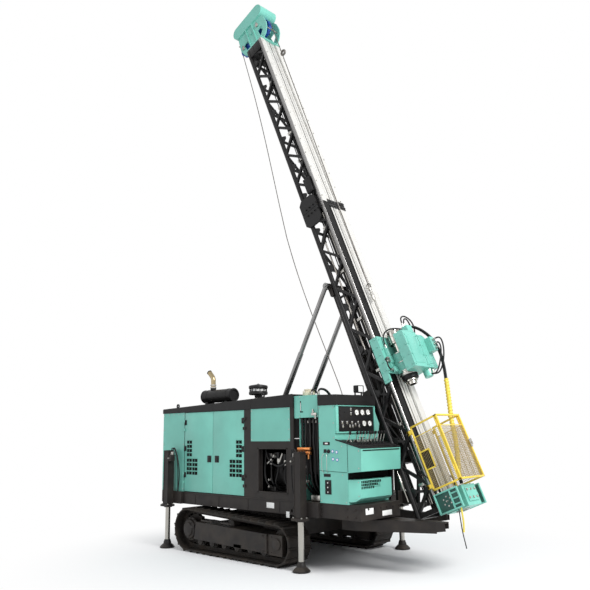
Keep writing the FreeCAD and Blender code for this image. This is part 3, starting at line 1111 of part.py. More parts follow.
# ---------------------------------------------------------------- write the parts
def main():
    os.makedirs("parts", exist_ok=True)
    save("base_frame", stay_feet(fuse([base_frame(), carbody(), arm(-1), arm(1)])))
    for side, name in ((-1, "near"), (1, "far")):
        save("track_" + name, track_loop(side))
        save("track_frame_" + name, track_frame(side))
    for side, name in ((-1, "near"), (1, "far")):
        for x, end in ((JACK_X_FRONT, "front"), (JACK_X_REAR, "rear")):
            save("jack_housing_%s_%s" % (end, name), jack_housing(x, side))
            save("jack_leg_%s_%s" % (end, name), jack_leg(x, side))
    save("engine_house", engine_house())
    middle = (DOOR_X0 + DOOR_X1) / 2
    save("door_rear", door(DOOR_X0, middle, True))
    save("door_front", door(middle, DOOR_X1, False))
    save("house_frame", house_frame())
    save("roof", roof())
    save("tank_near", tank())
    save("tank_far", far_tank())
    save("engine", engine())
    save("pumps", pumps())
    save("filter_box", filter_box())
    save("canisters", Part.makeCompound([fuse(canisters()[:2]), fuse(canisters()[2:])]))
    save("cabinet", cabinet())
    save("cabinet_top", cabinet_top())
    save("gauge_panel", gauge_panel())
    save("desk_controls", desk_controls())
    save("silencer", silencer())
    save("pre_cleaner", pre_cleaner())
    save("work_light", work_light())
    save("filler_cap", filler_cap())
    save("tower", tower())
    save("winch_frame", winch_frame())
    save("wireline_drum", winch_drum(WIRE_X, WIRE_Z, 140.0, 70.0, 170.0))
    save("hoist_drum", winch_drum(HOIST_X, HOIST_Z, 160.0, 110.0, 200.0))
    dump_barrel, dump_rod = dump_cylinder()
    bore = rod(V(DUMP_E, 0, CARRIER_T0 - 1), V(DUMP_E, 0, DUMP_BORE_T1), DUMP_ROD_R + RUN_GAP)
    save("carrier", on_mast(fuse([carrier(), dump_barrel]).cut(bore)))
    for side, name in ((-1, "near"), (1, "far")):
        barrel, middle_stage, top = stay_pieces(side)
        save("raise_barrel_" + name, barrel)
        save("raise_stage_" + name, middle_stage)
        save("raise_rod_" + name, top)
    low, high = fold_plates()
    lower = fuse([lattice(MAST_T0, FOLD_T - SECTION_GAP / 2)] + low + [dump_rod])
    save("mast_lower", on_mast(lower))
    save("mast_face_lower", on_mast(face_plate(MAST_T0, FOLD_T - SECTION_GAP / 2)))
    upper = fuse([lattice(FOLD_T + SECTION_GAP / 2, MAST_T1 - 14)] + high)
    save("mast_upper", on_mast(upper))
    save("mast_face_upper", on_mast(face_plate(FOLD_T + SECTION_GAP / 2, MAST_T1 - 14)))
    save("crown", on_mast(crown_head()))
    for name, place in zip(("sheave_front", "sheave_rear"), SHEAVES):
        save(name, on_mast(sheave(*place)))
    save("feed_cylinder", on_mast(feed_cylinder()))
    save("head_carriage", on_mast(head_carriage()))
    save("rotation_head", on_mast(rotation_head()))
    save("spindle", on_mast(spindle()))
    save("guard_side_near", on_mast(guard_side(-1)))
    save("guard_side_far", on_mast(guard_side(1)))
    save("guard_gate", on_mast(guard_gate()))
    save("foot_clamp", on_mast(foot_clamp()))


main()
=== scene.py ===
"""Dresses a crawler-mounted exploration drilling rig: finishes, fittings, lines, ropes, guards and stage.

Every size is in metres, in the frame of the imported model. Mast pieces are made in the mast's own
frame: e runs out of its front, y across it and t up it, all from the tilt pivot.
"""

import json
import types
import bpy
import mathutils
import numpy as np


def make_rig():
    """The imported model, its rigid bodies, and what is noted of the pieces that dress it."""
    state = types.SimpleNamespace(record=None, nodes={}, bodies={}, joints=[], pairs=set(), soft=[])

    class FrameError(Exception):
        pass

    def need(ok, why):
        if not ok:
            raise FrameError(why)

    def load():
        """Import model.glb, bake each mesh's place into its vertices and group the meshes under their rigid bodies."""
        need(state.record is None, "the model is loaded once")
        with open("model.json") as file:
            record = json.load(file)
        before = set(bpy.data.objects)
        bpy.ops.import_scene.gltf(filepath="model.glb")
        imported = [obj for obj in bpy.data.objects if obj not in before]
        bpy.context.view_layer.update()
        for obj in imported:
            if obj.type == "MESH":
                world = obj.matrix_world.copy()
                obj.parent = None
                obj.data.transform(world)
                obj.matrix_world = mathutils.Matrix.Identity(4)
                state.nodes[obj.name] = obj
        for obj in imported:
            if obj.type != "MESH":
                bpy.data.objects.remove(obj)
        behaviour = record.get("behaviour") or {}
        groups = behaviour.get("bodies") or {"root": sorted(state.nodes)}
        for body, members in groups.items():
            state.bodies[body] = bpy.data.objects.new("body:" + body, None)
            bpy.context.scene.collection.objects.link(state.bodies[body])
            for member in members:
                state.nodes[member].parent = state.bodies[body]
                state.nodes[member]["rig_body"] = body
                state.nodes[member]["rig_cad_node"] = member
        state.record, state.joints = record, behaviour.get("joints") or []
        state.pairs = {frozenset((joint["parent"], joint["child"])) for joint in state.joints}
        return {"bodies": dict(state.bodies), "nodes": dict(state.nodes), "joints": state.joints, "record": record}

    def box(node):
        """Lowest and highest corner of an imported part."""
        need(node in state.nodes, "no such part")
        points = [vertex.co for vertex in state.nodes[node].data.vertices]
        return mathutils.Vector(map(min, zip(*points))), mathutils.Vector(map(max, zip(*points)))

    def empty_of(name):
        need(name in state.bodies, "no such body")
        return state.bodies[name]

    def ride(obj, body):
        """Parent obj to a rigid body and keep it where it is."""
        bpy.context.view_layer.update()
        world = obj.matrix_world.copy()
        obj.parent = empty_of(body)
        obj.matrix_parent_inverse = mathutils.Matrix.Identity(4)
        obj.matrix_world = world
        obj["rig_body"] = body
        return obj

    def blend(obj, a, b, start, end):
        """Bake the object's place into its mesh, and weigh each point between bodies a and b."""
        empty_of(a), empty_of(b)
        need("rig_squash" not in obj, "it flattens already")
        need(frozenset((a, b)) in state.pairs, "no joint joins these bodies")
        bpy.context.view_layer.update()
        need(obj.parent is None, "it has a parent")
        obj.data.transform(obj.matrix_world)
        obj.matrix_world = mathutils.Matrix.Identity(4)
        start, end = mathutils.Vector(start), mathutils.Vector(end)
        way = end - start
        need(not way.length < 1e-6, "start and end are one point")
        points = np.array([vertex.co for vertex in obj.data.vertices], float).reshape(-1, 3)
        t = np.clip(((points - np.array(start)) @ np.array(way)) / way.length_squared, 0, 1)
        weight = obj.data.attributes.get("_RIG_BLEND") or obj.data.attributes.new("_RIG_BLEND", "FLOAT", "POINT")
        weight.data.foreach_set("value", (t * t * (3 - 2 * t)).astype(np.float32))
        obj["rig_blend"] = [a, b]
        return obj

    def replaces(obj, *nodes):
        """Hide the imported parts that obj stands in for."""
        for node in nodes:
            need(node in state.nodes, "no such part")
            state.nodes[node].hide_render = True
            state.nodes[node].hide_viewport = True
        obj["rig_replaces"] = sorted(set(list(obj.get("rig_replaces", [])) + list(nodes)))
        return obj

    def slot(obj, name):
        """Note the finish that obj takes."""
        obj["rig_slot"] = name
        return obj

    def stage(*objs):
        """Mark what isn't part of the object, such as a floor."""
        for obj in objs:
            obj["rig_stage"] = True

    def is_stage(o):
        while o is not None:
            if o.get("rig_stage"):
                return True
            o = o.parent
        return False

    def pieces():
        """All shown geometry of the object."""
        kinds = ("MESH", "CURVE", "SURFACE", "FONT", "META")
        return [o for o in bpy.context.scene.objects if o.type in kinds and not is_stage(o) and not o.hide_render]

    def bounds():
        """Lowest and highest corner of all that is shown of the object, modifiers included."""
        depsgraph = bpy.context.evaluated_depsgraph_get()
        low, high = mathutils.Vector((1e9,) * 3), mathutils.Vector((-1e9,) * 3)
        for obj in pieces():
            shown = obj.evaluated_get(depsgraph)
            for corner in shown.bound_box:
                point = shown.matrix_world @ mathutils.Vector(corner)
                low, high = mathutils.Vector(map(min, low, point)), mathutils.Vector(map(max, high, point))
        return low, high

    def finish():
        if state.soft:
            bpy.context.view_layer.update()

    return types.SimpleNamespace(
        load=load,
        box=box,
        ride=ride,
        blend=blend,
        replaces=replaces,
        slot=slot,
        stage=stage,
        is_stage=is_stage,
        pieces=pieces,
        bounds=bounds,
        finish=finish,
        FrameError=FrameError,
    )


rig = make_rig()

bl_info = {
    "name": "Exploration drilling rig",
    "version": (1, 0, 0),
    "blender": (4, 5, 0),
    "location": "View3D > Sidebar > Drilling Rig",
    "description": "Finishes and fits out a crawler-mounted core drilling rig with a lattice mast",
    "category": "Object",
}

import bmesh
import bpy
import json
from math import copysign, cos, pi, radians, sin
from mathutils import Matrix, Vector

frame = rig.load()
CAD_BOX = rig.bounds()
JOINTS = {joint["name"]: joint for joint in frame["joints"]}
AHEAD, BACK, FAR, NEAR, UP, DOWN = (1, 0, 0), (-1, 0, 0), (0, 1, 0), (0, -1, 0), (0, 0, 1), (0, 0, -1)
X, Y, Z = Vector(AHEAD), Vector(FAR), Vector(UP)
PIVOT = Vector(JOINTS["mast_tilt"]["pos_m"])
UP_MAST = Vector(JOINTS["mast_dump"]["axis"])
OUT_OF_MAST = -Vector(JOINTS["mast_fold"]["axis"])
MAST = Matrix.Translation(PIVOT) @ Matrix((OUT_OF_MAST, Y, UP_MAST)).transposed().to_4x4()
BASE = Matrix.Identity(4)


def mast_point(e, y, t):
    return MAST @ Vector((e, y, t))


# ---- settings
def length(name, description, default):
    return bpy.props.FloatProperty(name=name, description=description, default=default, min=0.0,
        unit="LENGTH")


def colour(name, description, default):
    return bpy.props.FloatVectorProperty(name=name, description=description, default=default, size=3, min=0.0,
        max=1.0, subtype="COLOR")


class RigSizes(bpy.types.PropertyGroup):
    rope_diameter: length("Rope", "Diameter of the steel hoist and wireline ropes", 0.013)
    hose_diameter: length("Hose", "Diameter of a single hydraulic hose", 0.024)
    line_diameter: length("Steel line", "Diameter of a hard hydraulic line", 0.016)
    bolt_size: length("Bolt", "Width of a frame bolt's head", 0.022)
    mesh_pitch: length("Guard mesh", "Spacing of the wires in the rod guard", 0.021)
    mesh_wire: length("Guard wire", "Diameter of the wires in the rod guard", 0.0034)
    dial_radius: length("Dial", "Outer radius of a gauge's bezel", 0.04)
    edge_round: length("Edge", "Rounding that sheet metal edges show", 0.004)


class RigColours(bpy.types.PropertyGroup):
    panel: colour("Panels", "Mint green coat of the panels, crown and head", (0.175, 0.52, 0.43))
    chassis: colour("Chassis", "Brown-black coat of the frame and mast", (0.021, 0.018, 0.0168))
    trim: colour("Trim", "Black coat of the roof and desk", (0.011, 0.0105, 0.011))
    guard: colour("Guard", "Yellow coat of the rod guard", (0.78, 0.56, 0.06))
    sheave: colour("Sheaves", "Blue coat of the rope sheaves", (0.02, 0.09, 0.42))
    slide: colour("Slide face", "Pale coat of the mast's front face", (0.7, 0.69, 0.66))
    sleeve: colour("Hose wrap", "Yellow spiral wrap on the hoses", (0.8, 0.64, 0.08))
    dust: colour("Dust", "Dry dust that settles on the machine", (0.26, 0.205, 0.15))


class RigStage(bpy.types.PropertyGroup):
    floor: colour("Floor", "Colour of the studio floor", (0.9, 0.9, 0.9))
    key: bpy.props.FloatProperty(name="Key light", description="Strength of the sun-like key", default=1.0,
        min=0.0)
    sky: bpy.props.FloatProperty(name="Fill light", description="Strength of the even surrounding light",
        default=0.62, min=0.0)


def sizes():
    return bpy.context.scene.rig_sizes


def colours():
    return bpy.context.scene.rig_colours


# ---- shared surface effects
SURFACE = (("Colour", "Color"), ("Roughness", "Float"), ("Height", "Float"), ("Normal", "Vector"))


def wired(tree, kind, inputs, output=0, **settings):
    """Adds a node, fed by values or by other nodes' outputs, and gives one of its own outputs."""
    node = tree.nodes.new("ShaderNode" + kind)
    for name, value in settings.items():
        setattr(node, name, value)
    feed(tree, node.inputs, inputs)
    return node.outputs[output]


def feed(tree, sockets, inputs):
    """Sets each socket to a value, or links it to another node's output."""
    for label, value in inputs.items():
        if isinstance(value, bpy.types.NodeSocket):
            tree.links.new(value, sockets[label])
        else:
            sockets[label].default_value = value


def new_group(name, inputs, outputs):
    """An empty node group with named sockets, and what it is given and gives."""
    tree = bpy.data.node_groups.new(name, "ShaderNodeTree")
    for label, kind, value in inputs:
        socket = tree.interface.new_socket(label, in_out="INPUT", socket_type="NodeSocket" + kind)
        socket.default_value = value
    for label, kind in outputs:
        tree.interface.new_socket(label, in_out="OUTPUT", socket_type="NodeSocket" + kind)
    return tree, tree.nodes.new("NodeGroupInput").outputs, tree.nodes.new("NodeGroupOutput").inputs


def object_place(tree):
    return wired(tree, "TexCoord", {}, "Object")


def noise(tree, scale, detail=4.0, stretch=None):
    """Noise on Object coordinates, stretched if a scale per axis is given."""
    place = object_place(tree)
    if stretch:
        place = wired(tree, "Mapping", {"Vector": place, "Scale": stretch})
    return wired(tree, "TexNoise", {"Vector": place, "Scale": scale, "Detail": detail}, "Fac")


def spread(tree, source, low, high, to_low=0.0, to_high=1.0, **settings):
    """Maps a value's range from low...high to to_low...to_high."""
    return wired(tree, "MapRange", {"Value": source, "From Min": low, "From Max": high, "To Min": to_low,
        "To Max": to_high}, **settings)


def mathed(tree, operation, a, b, clamp=False):
    return wired(tree, "Math", {0: a, 1: b}, operation=operation, use_clamp=clamp)


def times(tree, a, b, clamp=False):
    return mathed(tree, "MULTIPLY", a, b, clamp)


def vectored(tree, operation, inputs, output="Vector"):
    return wired(tree, "VectorMath", inputs, output, operation=operation)


def mixed(tree, factor, a, b):
    return wired(tree, "Mix", {0: factor, 2: a, 3: b})


def blended(tree, factor, a, b):
    """Mixes two colours, each a socket or an RGB tuple."""
    a, b = ((*value, 1.0) if isinstance(value, tuple) else value for value in (a, b))
    return wired(tree, "Mix", {0: factor, 6: a, 7: b}, 2, data_type="RGBA", blend_type="MIX")


def bumped(tree, height, distance, normal):
    return wired(tree, "Bump", {"Strength": 1.0, "Distance": distance, "Height": height, "Normal": normal})


def coat_wear_group():
    """Sprayed coat: faint tone drift, orange peel, chipped edges, settled dust near the ground."""
    tree, given, made = new_group("coat wear", (("Coat", "Color", (0.5, 0.5, 0.5, 1)),
        ("Under", "Color", (0.06, 0.05, 0.045, 1)), ("Dust", "Color", (0.26, 0.2, 0.15, 1)),
        ("Dustiness", "Float", 0.4), ("Chips", "Float", 0.4), ("Edge", "Float", 0.004),
        ("Gloss low", "Float", 0.3), ("Gloss high", "Float", 0.5)), SURFACE)
    drift = spread(tree, noise(tree, 1.7, 3.0), 0.35, 0.65, 0.9, 1.08)
    coat = vectored(tree, "SCALE", {0: given["Coat"], "Scale": drift})
    rounded = wired(tree, "Bevel", {"Radius": given["Edge"]}, samples=4)
    face = wired(tree, "NewGeometry", {}, "Normal")
    edge = spread(tree, vectored(tree, "DOT_PRODUCT", {0: rounded, 1: face}, "Value"), 0.995, 0.93)
    scatter = spread(tree, noise(tree, 34.0, 6.0), 0.52, 0.62)
    chips = times(tree, times(tree, edge, scatter), given["Chips"], True)
    chipped = blended(tree, chips, coat, given["Under"])
    low = spread(tree, wired(tree, "SeparateXYZ", {0: object_place(tree)}, "Z"), 1.3, 0.0, 0.1, 1.0)
    cloud = spread(tree, noise(tree, 5.5, 8.0), 0.4, 0.72)
    flat = spread(tree, wired(tree, "SeparateXYZ", {0: face}, "Z"), 0.2, 0.95, 0.35, 1.0)
    dusty = times(tree, times(tree, times(tree, low, cloud), flat), given["Dustiness"], True)
    sheen = mathed(tree, "ADD", times(tree, dusty, 0.6), times(tree, chips, 0.3))
    gloss = mixed(tree, spread(tree, noise(tree, 9.0, 5.0), 0.3, 0.7), given["Gloss low"],
        given["Gloss high"])
    peel = mathed(tree, "ADD", times(tree, noise(tree, 420.0, 2.0), 0.04), noise(tree, 2.6, 1.0))
    feed(tree, made, {"Colour": blended(tree, dusty, chipped, given["Dust"]),
        "Roughness": mathed(tree, "ADD", gloss, sheen, True),
        "Height": mathed(tree, "SUBTRACT", peel, times(tree, chips, 0.3)), "Normal": rounded})
    return tree


def metal_wear_group():
    """Bare metal: drawn lines along an axis, oil smears and rounded edges."""
    tree, given, made = new_group("metal wear",
        (("Metal", "Color", (0.6, 0.6, 0.6, 1)), ("Stain", "Color", (0.1, 0.07, 0.05, 1)),
        ("Staining", "Float", 0.3), ("Gloss low", "Float", 0.1), ("Gloss high", "Float", 0.3),
        ("Edge", "Float", 0.002)), SURFACE)
    lines = noise(tree, 60.0, 5.0, (1.0, 14.0, 1.0))
    stained = times(tree, spread(tree, noise(tree, 6.0, 7.0), 0.45, 0.75), given["Staining"], True)
    gloss = mixed(tree, lines, given["Gloss low"], given["Gloss high"])
    feed(tree, made, {"Colour": blended(tree, stained, given["Metal"], given["Stain"]),
        "Roughness": mathed(tree, "ADD", gloss, times(tree, stained, 0.5), True), "Height": lines,
        "Normal": wired(tree, "Bevel", {"Radius": given["Edge"]}, samples=4)})
    return tree


def mast_place_group():
    """Where a point lies in the mast's own frame at rest: out of its front and across it."""
    tree, _, made = new_group("mast place", (), (("Out", "Float"), ("Across", "Float")))
    from_pivot = vectored(tree, "SUBTRACT", {0: object_place(tree), 1: PIVOT})
    for label, way in (("Out", OUT_OF_MAST), ("Across", Y)):
        feed(tree, made, {label: vectored(tree, "DOT_PRODUCT", {0: from_pivot, 1: way}, "Value")})
    return tree


def effect(name, build):
    return bpy.data.node_groups.get(name) or build()


# ---- finishes
def surfaced(name, group, values, metallic=0.0, bump=0.02, coat=0.0, specular=0.5):
    """A material whose surface comes from one of the shared effects."""
    found = bpy.data.materials.get(name)
    if found:
        return found
    material = bpy.data.materials.new(name)
    material.use_nodes = True
    tree = material.node_tree
    node = tree.nodes.new("ShaderNodeGroup")
    node.node_tree = group
    feed(tree, node.inputs, {label: (*value, 1.0) if isinstance(value, tuple) else value for label,
        value in values.items()})
    feed(tree, tree.nodes["Principled BSDF"].inputs,
        {"Metallic": metallic, "Specular IOR Level": specular, "Coat Weight": coat, "Coat Roughness": 0.12,
        "Base Color": node.outputs["Colour"], "Roughness": node.outputs["Roughness"],
        "Normal": bumped(tree, node.outputs["Height"], bump, node.outputs["Normal"])})
    return material


def painted(name, coat, dustiness, chips, gloss=(0.28, 0.42), clear=0.1, under=(0.06, 0.05, 0.045),
        specular=0.4):
    values = {"Coat": tuple(coat), "Under": under, "Dust": tuple(colours().dust), "Dustiness": dustiness,
        "Chips": chips, "Edge": sizes().edge_round, "Gloss low": gloss[0], "Gloss high": gloss[1]}
    return surfaced(name, effect("coat wear", coat_wear_group), values, bump=0.0012, coat=clear,
        specular=specular)


def bare(name, metal, staining, gloss, stain=(0.08, 0.055, 0.04), metallic=1.0, bump=0.0003, specular=0.5):
    values = {"Metal": tuple(metal), "Stain": stain, "Staining": staining, "Gloss low": gloss[0],
        "Gloss high": gloss[1], "Edge": 0.002}
    return surfaced(name, effect("metal wear", metal_wear_group), values, metallic=metallic, bump=bump,
        specular=specular)


FINISHES = {
    "panel": ("rig_green", lambda: painted("mint panel coat", colours().panel, 0.35, 0.35)),
    "chassis": ("frame_paint", lambda: painted("chassis coat", colours().chassis, 0.3, 0.35,
        gloss=(0.36, 0.54), clear=0.0, under=(0.07, 0.06, 0.055), specular=0.22)),
    "mast": ("frame_paint", lambda: painted("mast coat", colours().trim, 0.15, 0.35, gloss=(0.28, 0.44),
        clear=0.0, under=(0.08, 0.075, 0.07), specular=0.25)),
    "trim": ("black_trim", lambda: painted("black trim coat", colours().trim, 0.2, 0.25, gloss=(0.34, 0.52),
        clear=0.0, under=(0.06, 0.055, 0.05), specular=0.22)),
    "guard": ("guard_yellow", lambda: painted("guard yellow coat", colours().guard, 0.25, 0.8,
        gloss=(0.32, 0.5), under=(0.09, 0.06, 0.03))),
    "guard mesh": ("guard_yellow", lambda: painted("guard mesh coat", (0.42, 0.31, 0.14), 0.4, 0.6,
        gloss=(0.45, 0.7), under=(0.06, 0.04, 0.02))),
    # A darker copy of the green coat, for painted shade in recesses.
    "pocket": ("rig_green", lambda: painted("shaded green coat", (0.03, 0.1, 0.082), 0.3, 0.3, clear=0.0,
        specular=0.3)),
    "stay": ("chrome_rod", lambda: bare("stay steel", (0.24, 0.24, 0.24), 0.25, (0.14, 0.3), bump=0.0002)),
    "sheave": ("sheave_blue", lambda: painted("sheave blue coat", colours().sheave, 0.2, 0.6)),
    "slide": ("slide_cream", lambda: bare("pale slide face", colours().slide, 0.18, (0.3, 0.5),
        stain=(0.42, 0.36, 0.28), metallic=0.35)),
    "track": ("track_steel", lambda: bare("track iron", (0.022, 0.019, 0.017), 0.45, (0.42, 0.7),
        stain=(0.06, 0.045, 0.032), metallic=0.3, bump=0.003, specular=0.25)),
    "worn steel": ("chrome_rod", lambda: bare("worn bright steel", (0.42, 0.4, 0.37), 0.5, (0.28, 0.5),
        bump=0.001)),
    "chrome": ("chrome_rod", lambda: bare("hard chrome", (0.44, 0.425, 0.39), 0.15, (0.08, 0.22),
        bump=0.0001)),
    "zinc": ("chrome_rod", lambda: bare("plated fitting", (0.52, 0.51, 0.48), 0.35, (0.22, 0.42))),
    "brass": ("chrome_rod", lambda: bare("heat-tinted pipe", (0.36, 0.29, 0.17), 0.6, (0.2, 0.4),
        stain=(0.25, 0.2, 0.16))),
    "copper": ("chrome_rod", lambda: bare("copper cooler", (0.8, 0.34, 0.12), 0.3, (0.2, 0.42),
        stain=(0.2, 0.08, 0.03))),
    "engine": ("engine_grey", lambda: bare("engine casting", (0.035, 0.035, 0.038), 0.5, (0.4, 0.65),
        metallic=0.2, bump=0.003, specular=0.3)),
    "rope": ("frame_paint", lambda: bare("wire rope", (0.16, 0.15, 0.14), 0.5, (0.3, 0.5), bump=0.002)),
    "rubber": ("black_trim", lambda: bare("hose rubber", (0.009, 0.009, 0.01), 0.3, (0.4, 0.6),
        stain=(0.05, 0.042, 0.035), metallic=0.0, bump=0.0006, specular=0.3)),
    # Flat black for printed marks and dark joints, and for painted shade in openings, bays and recesses.
    "dark": ("black_trim", lambda: bare("flat black and painted shade", (0.005, 0.005, 0.005), 0.15, (0.6, 0.8),
        stain=(0.02, 0.017, 0.015), metallic=0.0, bump=0.002, specular=0.1)),
    "wrap": ("guard_yellow", lambda: bare("yellow hose wrap", colours().sleeve, 0.25, (0.35, 0.5),
        stain=(0.3, 0.22, 0.08), metallic=0.0, bump=0.0008)),
    "dial": ("cream_plastic", lambda: bare("dial face", (0.86, 0.86, 0.83), 0.03, (0.25, 0.35), metallic=0.0,
        bump=0.0)),
    "white": ("cream_plastic", lambda: bare("blank white plate", (0.82, 0.82, 0.8), 0.12, (0.3, 0.42),
        stain=(0.4, 0.36, 0.3), metallic=0.0, bump=0.0002)),
    "disc": ("sheave_blue", lambda: bare("blank blue disc", (0.03, 0.16, 0.5), 0.05, (0.3, 0.4), metallic=0.0,
        bump=0.0)),
    "cream": ("cream_plastic", lambda: bare("cream cap plastic", (0.72, 0.66, 0.5), 0.3, (0.4, 0.55),
        stain=(0.35, 0.3, 0.2), metallic=0.0, bump=0.0006)),
    "rail": ("frame_paint", lambda: bpy.data.materials.get("mast rail coat") or rail_coat()),
    "slide cap": ("slide_cream", lambda: slide_coat()),
}


def finish(kind):
    """The slot and the material that a short name stands for."""
    slot, coat = FINISHES[kind]
    return slot, coat()


def copied(kind, name):
    """A copy of a finish under its own name, with its surface and the mast's place in it."""
    material = finish(kind)[1].copy()
    material.name = name
    group = material.node_tree.nodes.new("ShaderNodeGroup")
    group.node_tree = effect("mast place", mast_place_group)
    tree = material.node_tree
    return material, tree, tree.nodes["Principled BSDF"].inputs, group.outputs["Out"], group.outputs["Across"]


def rail_coat():
    """Black coat of the truss, with the sides of its front rails run bright by the head's grips."""
    material, tree, surface, out, across = copied("mast", "mast rail coat")
    side = spread(tree, mathed(tree, "ABSOLUTE", across, 0.0), 0.2343, 0.2348)
    bright = times(tree, side, spread(tree, out, 0.4752, 0.476), True)
    streaks = noise(tree, 22.0, 5.0, (3.0, 3.0, 0.6))
    old, gloss, normal = (surface[label].links[0].from_socket
        for label in ("Base Color", "Roughness", "Normal"))
    along = spread(tree, out, 0.475, 0.537, -1.0, 1.0)
    crown = mathed(tree, "SUBTRACT", 1.0, times(tree, along, along))
    feed(tree, surface, {"Base Color": blended(tree, bright, old, (0.3, 0.295, 0.29)),
        "Roughness": mixed(tree, bright, gloss, spread(tree, streaks, 0.3, 0.7, 0.2, 0.42)),
        "Metallic": bright, "Normal": bumped(tree, times(tree, crown, bright), 0.024, normal)})
    return material


def slide_coat():
    """Pale slide face whose near cap and edge strip are black."""
    material, tree, surface, _, across = copied("slide", "mast slide coat")
    cap = spread(tree, across, -0.0895, -0.0905)
    pale = surface["Base Color"].links[0].from_socket
    feed(tree, surface, {"Base Color": blended(tree, cap, pale, (0.006, 0.006, 0.006)),
        "Specular IOR Level": 0.2})
    return material


# ---- making pieces
def round_edges(bm, verts, rounding, only=None):
    """Rounds every edge between the given vertices, or those that only() picks."""
    if rounding <= 0.0:
        return
    edges = {edge for vert in verts for edge in vert.link_edges}
    if only:
        edges = {edge for edge in edges if only(edge)}
    bmesh.ops.bevel(bm, geom=list(edges), offset=rounding, offset_type="OFFSET", segments=2, profile=0.5,
        affect="EDGES", material=-1, clamp_overlap=True)


def block(bm, low, high, rounding=0.003, place=BASE):
    """A box between two corners."""
    low, high = Vector(low), Vector(high)
    size = high - low
    matrix = place @ Matrix.Translation((low + high) / 2) @ Matrix.Diagonal((*size, 1.0))
    made = bmesh.ops.create_cube(bm, size=1.0, matrix=matrix)
    round_edges(bm, made["verts"], min(rounding, 0.4 * min(size)))


def blocks(bm, boxes, place=BASE):
    """Boxes, each by two corners and its rounding."""
    for low, high, rounding in boxes:
        block(bm, low, high, rounding, place)


def bars(bm, runs, place=BASE):
    """Bars, each by what bar() takes: both ends, width, depth, the way of its width and its rounding."""
    for p, q, wide, deep, across, rounding in runs:
        bar(bm, p, q, wide, deep, across, rounding, place)


def bar(bm, p, q, wide, deep, across=FAR, rounding=0.002, place=BASE):
    """A rectangular bar from p to q whose width lies along across."""
    p, q = place @ Vector(p), place @ Vector(q)
    across = place.to_3x3() @ Vector(across)
    z = (q - p).normalized()
    x = (across - z * across.dot(z)).normalized()
    turn = Matrix((x, z.cross(x), z)).transposed().to_4x4()
    matrix = Matrix.Translation((p + q) / 2) @ turn @ Matrix.Diagonal((wide, deep, (q - p).length, 1.0))
    made = bmesh.ops.create_cube(bm, size=1.0, matrix=matrix)
    round_edges(bm, made["verts"], min(rounding, 0.4 * min(wide, deep)))


def cylinder(bm, p, q, radius, end_radius=None, sides=24, rounding=0.0, place=BASE):
    """A round bar or cone from p to q, with its rims rounded."""
    p, q = place @ Vector(p), place @ Vector(q)
    axis = q - p
    matrix = Matrix.Translation((p + q) / 2) @ axis.to_track_quat("Z", "Y").to_matrix().to_4x4()
    made = bmesh.ops.create_cone(bm, cap_ends=True, cap_tris=False, segments=sides, radius1=radius,
        radius2=radius if end_radius is None else end_radius, depth=axis.length, matrix=matrix)
    way = axis.normalized()
    round_edges(bm, made["verts"], rounding,
        only=lambda edge: abs((edge.verts[0].co - edge.verts[1].co).dot(way)) < 1e-5)


def turned(bm, origin, axis, profile, sides=32, ring=False, place=BASE):
    """A turned piece: (radius, height) pairs spun round an axis; ring closes the profile on itself."""
    before = set(bm.verts)
    verts = [bm.verts.new((r, 0.0, h)) for r, h in profile]
    ends = verts[1:] + (verts[:1] if ring else [])
    edges = [bm.edges.new(pair) for pair in zip(verts, ends)]
    bmesh.ops.spin(bm, geom=verts + edges, cent=(0, 0, 0), axis=UP, angle=2 * pi, steps=sides, use_merge=True)
    made = [vert for vert in bm.verts if vert not in before]
    bmesh.ops.remove_doubles(bm, verts=made, dist=1e-6)
    made = [vert for vert in bm.verts if vert not in before]
    turn = Vector(axis).to_track_quat("Z", "Y").to_matrix().to_4x4()
    bmesh.ops.transform(bm, matrix=place @ Matrix.Translation(origin) @ turn, verts=made)


def tube(inner, outer, low, high):
    """The profile of a plain ring or disc."""
    return [(inner, low), (outer, low), (outer, high), (inner, high)]


def collar(bm, origin, axis, inner, outer, low, high, sides, place=BASE):
    """A plain ring round an axis, from low to high along it."""
    turned(bm, origin, axis, tube(inner, outer, low, high), sides, True, place)


def prism(bm, points, depth, rounding=0.0, place=BASE):
    """A flat outline pushed along depth."""
    verts = [bm.verts.new(place @ Vector(point)) for point in points]
    face = bm.faces.new(verts)
    pushed = bmesh.ops.extrude_face_region(bm, geom=[face])
    moved = [item for item in pushed["geom"] if isinstance(item, bmesh.types.BMVert)]
    bmesh.ops.translate(bm, verts=moved, vec=place.to_3x3() @ Vector(depth))
    round_edges(bm, verts + moved, rounding)


def bolts(bm, places, axis, width, place=BASE):
    """Hexagon heads that stand on a face along axis, each on a washer."""
    height = width * 0.55
    for spot in places:
        spot = Vector(spot)
        way = Vector(axis).normalized()
        cylinder(bm, spot, spot + way * height * 0.25, width * 0.62, sides=12, place=place)
        cylinder(bm, spot + way * height * 0.2, spot + way * height, width * 0.5, sides=6,
            rounding=width * 0.05, place=place)


def linked(name, data, material, slot):
    """An object of the scene with its material and slot."""
    made = bpy.data.objects.new(name, data)
    bpy.context.scene.collection.objects.link(made)
    data.materials.append(material)
    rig.slot(made, slot)
    return made


def shaped(name, bm, material, slot):
    """The object that a finished mesh gives, smooth but for its sharp edges."""
    bmesh.ops.recalc_face_normals(bm, faces=bm.faces)
    mesh = bpy.data.meshes.new(name)
    bm.to_mesh(mesh)
    bm.free()
    made = linked(name, mesh, material, slot)
    mesh.shade_smooth()
    mesh.set_sharp_from_angle(angle=radians(32))
    return made


def piece(name, bm, body, kind, slot=None):
    """Makes the object, gives it its finish and lets it ride on a body."""
    usual, material = finish(kind)
    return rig.ride(shaped(name, bm, material, slot or usual), body)


